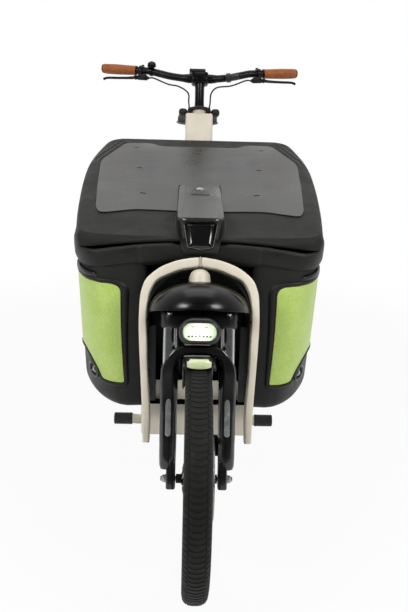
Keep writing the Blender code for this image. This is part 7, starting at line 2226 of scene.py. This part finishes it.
# Brakes: a split clamp, a master cylinder with its cap screws and hose barb, and a flat forged
# lever blade with a hooked tip for one finger more.
for word, side in (("left", 1), ("right", -1)):
    ring_at, way, drop = (handed(p, side) for p in (CONTROL_RING, GRIP_ALONG, CONTROL_DROP))
    normal = way.cross(drop).normalized()
    upright = -normal if normal.z < 0 else normal
    work = bmesh.new()
    profile = both_sides([(0.0129, 0.0066), (0.0166, 0.0070), (0.0175, 0.0062)])
    lathe(work, profile, across(way, ring_at), 36)
    for lean in (-0.0042, 0.0042):
        ear = squared(ring_at - drop * 0.0192 + normal * lean, normal, drop, way)
        block(work, (0.0035, 0.0078, 0.0100), (0, 0, 0), ear, 0.001)
    neck = ring_at + drop * 0.0155
    pipe(work, [neck, ring_at + drop * 0.024, ring_at + drop * 0.030], [0.0076, 0.0062, 0.0070], 18)
    cylinder = ring_at + drop * 0.031
    profile = [(0, -0.0358), (0.0040, -0.0358), (0.0052, -0.0345), (0.0052, -0.0310)]
    profile += [(0.0078, -0.0290), (0.0090, -0.0265), (0.0090, 0.0030), (0.0082, 0.0052)]
    profile += [(0.0060, 0.0058), (0, 0.0058)]
    lathe(work, profile, across(way, cylinder), 28)
    cap, beside = cylinder + upright * 0.0113, upright.cross(way)
    tank = squared(cylinder - way * 0.0130 + upright * 0.0078, way, beside, upright)
    block(work, (0.0270, 0.0130, 0.0070), (0, 0, 0), tank, 0.002)
    for s in (-0.0225, -0.0035):
        hex_bolt(work, squared(cap + way * s, way, beside, upright), 0.0014, 0.0008)
    piece(
        f"brake_{word}_cylinder", work, alloy_black, "steering", "black_anodised",
        f"brake_clamp_{word}", sharp=35,
    )
    pivot = ring_at + drop * 0.032 + way * 0.013
    work = bmesh.new()
    profile = both_sides([(0, -0.0055), (0.0058, -0.0055), (0.0065, -0.0048)])
    lathe(work, profile, across(upright, pivot), 24)
    run = [(0.000, 0.0, 0.0052, 0.0048), (0.012, 0.0028, 0.0050, 0.0046)]
    run += [(0.030, 0.0050, 0.0046, 0.0040), (0.050, 0.0066, 0.0044, 0.0036)]
    run += [(0.070, 0.0080, 0.0046, 0.0033), (0.090, 0.0089, 0.0046, 0.0031)]
    run += [(0.105, 0.0102, 0.0044, 0.0031), (0.1125, 0.0138, 0.0043, 0.0032)]
    run += [(0.1170, 0.0180, 0.0042, 0.0036)]
    path = [pivot + way * s + drop * d for s, d, _, _ in run]
    rings = []
    for i, (spot, (_, _, tall, thin)) in enumerate(zip(path, run)):
        ahead = (path[min(i + 1, len(path) - 1)] - path[max(i - 1, 0)]).normalized()
        away = ahead.cross(upright).normalized()
        ring = rounded(tall, thin, thin * 0.9, 4)
        rings.append([spot + upright * u + away * v for u, v in ring])
    skin(work, rings)
    hex_bolt(work, across(upright, pivot + upright * 0.0054), 0.0034, 0.0014)
    piece(
        f"brake_{word}_blade", work, bar_black, f"{word}_lever", "black_anodised",
        f"brake_lever_{word}", sharp=40,
    )

# Bell: a band on the bar and a turned dome with a sprung hammer. Remote: a pod with three keys on
# the other side. Both are black.
def on_bar(x):
    """The point of the bar's line that is nearest to an x, and the line's way there to the left."""
    near, next_to = sorted(bar_line, key=lambda p: abs(p.x - x))[:2]
    way = (near - next_to).normalized()
    return near, -way if way.x < 0 else way


spot, bar_way = on_bar(-0.168)
foot = spot + bar_way * ((-0.168 - spot.x) / bar_way.x)
work = bmesh.new()
profile = both_sides([(0.0127, 0.0046), (0.0156, 0.0050), (0.0160, 0.0044)])
lathe(work, profile, across(bar_way, foot), 32)
upward = Vector((0, -0.25, 1)).normalized()
stand_on = across(upward, foot)
profile = [(0, 0.0340), (0.0030, 0.0339), (0.0070, 0.0332), (0.0105, 0.0316), (0.0130, 0.0290)]
profile += [(0.0145, 0.0255), (0.0150, 0.0215), (0.0150, 0.0170), (0.0146, 0.0162)]
profile += [(0.0138, 0.0168), (0.0070, 0.0165), (0.0060, 0.0145), (0, 0.0145)]
lathe(work, profile, stand_on, 40)
profile = [(0, 0.0356), (0.0016, 0.0354), (0.0026, 0.0346), (0.0026, 0.0336), (0, 0.0336)]
lathe(work, profile, stand_on, 16)
arm = foot + upward * 0.0200 + Vector((0.0005, -0.0168, 0))
root = foot + upward * 0.0160 + Vector((0.0, -0.0090, 0))
pipe(work, [root, arm, arm + upward * 0.0050], 0.0012, 10)
profile = both_sides([(0, 0.0030), (0.0018, 0.0024), (0.0028, 0.0)])
lathe(work, profile, across(Vector((0, 1, 0)), arm + upward * 0.0055), 14)
piece("bell_and_hammer", work, bar_black, "steering", "black_anodised", "bell", sharp=35)
work = bmesh.new()
spot, pod_way = on_bar(0.098)
profile = both_sides([(0.0127, 0.0060), (0.0150, 0.0064), (0.0158, 0.0056)])
lathe(work, profile, across(pod_way, spot), 32)
up = Vector((0, 0, 1))
middle = spot + Vector((0.006, -0.0175, 0.0015))
pod = squared(middle, pod_way, up.cross(pod_way).normalized(), up)
block(work, (0.052, 0.0110, 0.0180), (0.006, 0, 0), pod, 0.0035)
piece("remote_pod", work, satin_black, "steering", "black_plastic", sharp=35)
work, key = bmesh.new(), bmesh.new()
block(key, (0.0115, 0.0020, 0.0080), (0, 0, 0), None, 0.0008)
places = [pod @ Matrix.Translation((0.006 + 0.0145 * k, -0.0056, 0)) for k in (-1, 0, 1)]
strew(work, key, places, wiper_rubber)
piece("remote_keys", work, wiper_rubber, "steering", "black_rubber", sharp=35)

# Display: a glossy slip of glass in a thin frame, on the clamp.
work = bmesh.new()
screen = COLUMN @ Matrix.Translation((-0.0085, BAR_MIDDLE.y + 0.002, BAR_MIDDLE.z + 0.0253))
block(work, (0.056, 0.036, 0.0095), (0, 0, 0), screen, 0.003)
piece("display_body", work, satin_black, "steering", "gloss_black", "display_unit", sharp=35)
glass = substance(
    "display_glass", "#08090A", "#0D0F10", (0.06, 0.10), 30, 2.0, 0.004, Coat_Weight=1.0,
    Coat_Roughness=0.04,
)
work = bmesh.new()
slab(work, eased(four_corners(0.0245, 0.0145, 0.003), 5), 0.0046, 0.0052, screen, 0.0003)
piece("display_glass_slip", work, glass, "steering", "gloss_black", sharp=20)

# Steering lock: a black horseshoe of moulded plastic round the column's neck, open in front.
work = bmesh.new()
rings = []
for k in range(41):
    turn = math.radians(-14 + 208 * k / 40)
    share = clamp(min(k, 40 - k) / 5)
    plump = math.sqrt(1 - (1 - share) ** 2) * 0.45 + 0.55 if share else 0.30
    ring = []
    for u, v in rounded(0.0155 * plump, 0.0125 * plump, 0.0100 * plump, 5):
        reach = 0.0560 + u
        x, y = reach * math.cos(turn), 0.006 + reach * math.sin(turn) * 0.86
        ring.append(COLUMN @ Vector((x, y, 0.0138 + v)))
    rings.append(ring)
skin(work, rings)
piece("neck_horseshoe", work, liner_black, "steering", "black_plastic", sharp=50)

# Seatpost: an anodised alloy tube with height rings, under a two-bolt head that holds the saddle's
# steel rails.
post_top = SEAT @ Vector((0, 0, 0.655))
work = bmesh.new()
profile = [(0, 0.340), (0.0142, 0.340), (0.0150, 0.342), (0.0150, 0.640), (0.0160, 0.650)]
profile += [(0.0160, 0.662), (0, 0.662)]
lathe(work, profile, SEAT, 36)
for k in range(9):
    s = 0.372 + 0.010 * k
    ring = [(0.0148, s + 0.0002), (0.01505, s + 0.0001), (0.01505, s - 0.0001)]
    lathe(work, [*ring, (0.0148, s - 0.0002)], SEAT, 36)
block(work, (0.058, 0.044, 0.012), post_top + Vector((0, 0, -0.0055)), None, 0.004)
block(work, (0.058, 0.040, 0.0085), post_top + Vector((0, 0, 0.0075)), None, 0.003)
for y in (-0.0155, 0.0155):
    hex_bolt(work, Matrix.Translation(post_top + Vector((0, y, 0.0116))), 0.0032, 0.0026)
piece("seatpost_and_head", work, alloy_black, "seat", "black_anodised", "seatpost", sharp=35)
work = bmesh.new()
low, high = post_top.z + 0.004, post_top.z + 0.0175
for side in (-1, 1):
    rail = [(0.012, -0.120, high + 0.006), (0.022, -0.100, high), (0.022, -0.070, low)]
    rail += [(0.022, -0.010, low), (0.022, 0.050, low), (0.029, 0.085, low + 0.008)]
    rail += [(0.040, 0.112, high + 0.006)]
    pipe(work, flowing([Vector((side * x, post_top.y + y, z)) for x, y, z in rail], 5), 0.0038, 14)
piece("saddle_rails", work, spoke_steel, "seat", "bright_steel", sharp=35)

# Saddle: foam under a stretched, stitched cover on a moulded shell. The foam is swelled as cloth
# under pressure from a slightly smaller form, then the seams are sewn on to it.
saddle_cover = substance(
    "saddle_cover", "#1B1A19", "#252423", (0.50, 0.68), 40, 1.4, 0.14, Specular_IOR_Level=0.4,
    Sheen_Weight=0.1,
)
under, nose_y, long = post_top.z + 0.0190, post_top.y - 0.133, 0.285
# Each station's share of the length, then its width and its crown as shares of the greatest.
form = [(0.012, 0.10, 0.56), (0.05, 0.19, 0.66), (0.12, 0.235, 0.74), (0.22, 0.27, 0.83)]
form += [(0.34, 0.33, 0.88), (0.46, 0.43, 0.91), (0.58, 0.60, 0.94), (0.68, 0.80, 0.965)]
form += [(0.78, 0.96, 0.985), (0.87, 1.0, 1.0), (0.94, 0.93, 0.99), (0.98, 0.72, 0.93)]
form += [(0.993, 0.45, 0.86)]
stations, UNDERSIZE = flowing(form, 3), 0.955


def saddle_ring(station):
    """The foam's outline across at a station, which is cut a little under the finished size."""
    share, width, crown = station
    half, top = 0.088 * width, 0.0605 * crown
    found = []
    for turn in range(0, 181, 12):
        u, v = math.cos(math.radians(turn)), math.sin(math.radians(turn))
        x = half * 1.04 * math.copysign(abs(u) ** 0.62, u)
        dip = 0.0045 * math.exp(-((x / 0.011) ** 2))
        dip = dip * clamp((share - 0.2) * 4) * clamp((0.97 - share) * 8)
        found.append((x, (0.014 + (top - 0.014) * v**0.70 - dip) * UNDERSIZE))
    found += [(-half * 1.02, 0.008), (-half * 0.86, 0.0015), (-half * 0.5, 0.0), (0, 0.0)]
    found += [(half * 0.5, 0.0), (half * 0.86, 0.0015), (half * 1.02, 0.008)]
    return [Vector((x * UNDERSIZE, nose_y + long * share, under + z)) for x, z in found]


foam = bmesh.new()
skin(foam, [saddle_ring(station) for station in stations])
bmesh.ops.recalc_face_normals(foam, faces=foam.faces)
mesh = bpy.data.meshes.new("saddle_foam")
foam.to_mesh(mesh)
foam.free()
cushion = placed("saddle_cushion", mesh)
remesh = cushion.modifiers.new("even", "REMESH")
remesh.mode = "VOXEL"
remesh.voxel_size = 0.0045
evened = as_built(cushion)
cushion.modifiers.remove(remesh)
cushion.data = evened
start_places = [v.co.copy() for v in evened.vertices]
pins = cushion.vertex_groups.new(name="shell")
pins.add([v.index for v in evened.vertices if v.co.z < under + 0.006], 1.0, "REPLACE")
cloth = cushion.modifiers.new("swell", "CLOTH")
cloth.settings.use_pressure = True
cloth.settings.uniform_pressure_force = 3.0
cloth.settings.vertex_group_mass = "shell"
cloth.settings.effector_weights.gravity = 0.0
cloth.point_cache.frame_start, cloth.point_cache.frame_end = 1, 16
for frame_number in range(1, 17):
    scene.frame_set(frame_number)
swelled = as_built(cushion)
scene.frame_set(1)
bpy.data.objects.remove(cushion)
# No point moves more than 4 mm from the form that the foam was cut to.
for v, start_at in zip(swelled.vertices, start_places):
    moved = v.co - start_at
    if moved.length > 0.004:
        v.co = start_at + moved.normalized() * 0.004
work = bmesh.new()
work.from_mesh(swelled)
every_way = {"use_axis_x": True, "use_axis_y": True, "use_axis_z": True}
bmesh.ops.smooth_vert(work, verts=work.verts, factor=0.5, **every_way)
bmesh.ops.subdivide_edges(work, edges=work.edges, cuts=1, use_grid_fill=True, smooth=0.0)
for _ in range(2):
    bmesh.ops.smooth_vert(work, verts=work.verts, factor=0.5, **every_way)
for face in work.faces:
    face.material_index = 0
cushion = piece("saddle_padding", work, saddle_cover, "seat", "saddle_cover", "saddle", sharp=80)
measure = bmesh.new()
measure.from_mesh(cushion.data)
cover_tree = BVHTree.FromBMesh(measure)
measure.free()


def on_saddle(x, share, out=0.0004):
    """A place on the cover above a spot, and the way out of it."""
    above = Vector((x, nose_y + long * share, under + 0.2))
    hit, normal, _, _ = cover_tree.ray_cast(above, Vector((0, 0, -1)))
    if hit is None:
        return None, None
    return hit + normal * out, normal


work, stitch, places = bmesh.new(), bmesh.new(), []
loop = [(-0.0017, 0, -0.0001), (-0.0008, 0, 0.0004), (0.0008, 0, 0.0004), (0.0017, 0, -0.0001)]
pipe(stitch, loop, 0.00035, 5)
for side in (-1, 1):
    spots = []
    for k in range(60):
        share = 0.05 + 0.89 * k / 59
        spot, normal = on_saddle(side * 0.088 * reading(form, share) * 0.60, share, 0.0002)
        if spot is not None:
            spots.append((spot, normal))
    pipe(work, [spot for spot, _ in spots], 0.0008, 6)
    for (spot, normal), (following, _) in zip(spots, spots[1:]):
        way = (following - spot).normalized()
        for lean in (-0.0022, 0.0022):
            sidewise = normal.cross(way).normalized()
            x, y = spot.x + sidewise.x * lean, spot.y + sidewise.y * lean
            beside, _ = on_saddle(x, (y - nose_y) / long, 0.0002)
            if beside is not None:
                places.append(squared(beside, way, sidewise, normal))
piece("saddle_seams", work, saddle_cover, "seat", "saddle_cover", sharp=50)
work = bmesh.new()
strew(work, stitch, places, hose_black)
piece("saddle_stitches", work, hose_black, "seat", "saddle_cover", sharp=50)
# The shell under the foam, with its turned-up rim.
work = bmesh.new()
rings = []
for station in stations:
    share, width, _ = station
    half = 0.088 * width
    y = nose_y + long * share
    ring = [(-1.045, 0.0100), (-1.055, 0.0060), (-0.98, 0.0), (-0.80, -0.0030), (-0.4, -0.0040)]
    ring += [(0.4, -0.0040), (0.80, -0.0030), (0.98, 0.0), (1.055, 0.0060), (1.045, 0.0100)]
    ring += [(0.96, 0.0060), (0.6, 0.0006), (0.0, 0.0002), (-0.6, 0.0006), (-0.96, 0.0060)]
    rings.append([Vector((half * u, y, under + z)) for u, z in ring])
skin(work, rings)
piece("saddle_shell", work, satin_black, "seat", "black_plastic", sharp=45)

# Centre stand: one tube bent to two splayed legs, welded to a cross tube on the frame's bolts, with
# ribbed rubber sleeves pushed on to the feet.
work = bmesh.new()
pipe(work, [STAND @ Vector((-0.095, 0, 0)), STAND @ Vector((0.095, 0, 0))], 0.0120, 28)
for side in (-1, 1):
    leg = [(0.080, 0.840, 0.209), (0.084, 0.836, 0.155), (0.104, 0.824, 0.088)]
    leg += [(0.132, 0.815, 0.040), (0.170, 0.812, 0.0195), (0.200, 0.812, 0.0195)]
    leg += [(0.230, 0.812, 0.0195), (0.2565, 0.812, 0.0195)]
    pipe(work, flowing([at(side * x, back, height) for x, back, height in leg], 6), 0.0158, 24)
piece("stand_legs", work, cream_paint, "stand", "cream_paint", "stand_frame", sharp=40)
for word, side in (("left", 1), ("right", -1)):
    work = bmesh.new()
    start = across(Vector((side, 0, 0)), at(side * 0.2015, 0.812, 0.0195))
    profile = [(0.0163, 0.0), (0.0180, 0.0), (0.0190, 0.0010)]
    for k in range(6):
        s = 0.006 + 0.0078 * k
        profile += [(0.0195, s), (0.0195, s + 0.0046), (0.0184, s + 0.0054), (0.0184, s + 0.0068)]
    profile += [(0.0195, 0.0538), (0.0192, 0.0572), (0.0180, 0.0592), (0.0155, 0.0600)]
    lathe(work, [(0, 0.0562), (0.0161, 0.0562)] + profile + [(0, 0.0600)], start, 32)
    piece(
        f"stand_{word}_sleeve", work, dock_rubber, "stand", "black_rubber",
        f"stand_foot_{word}", sharp=30,
    )
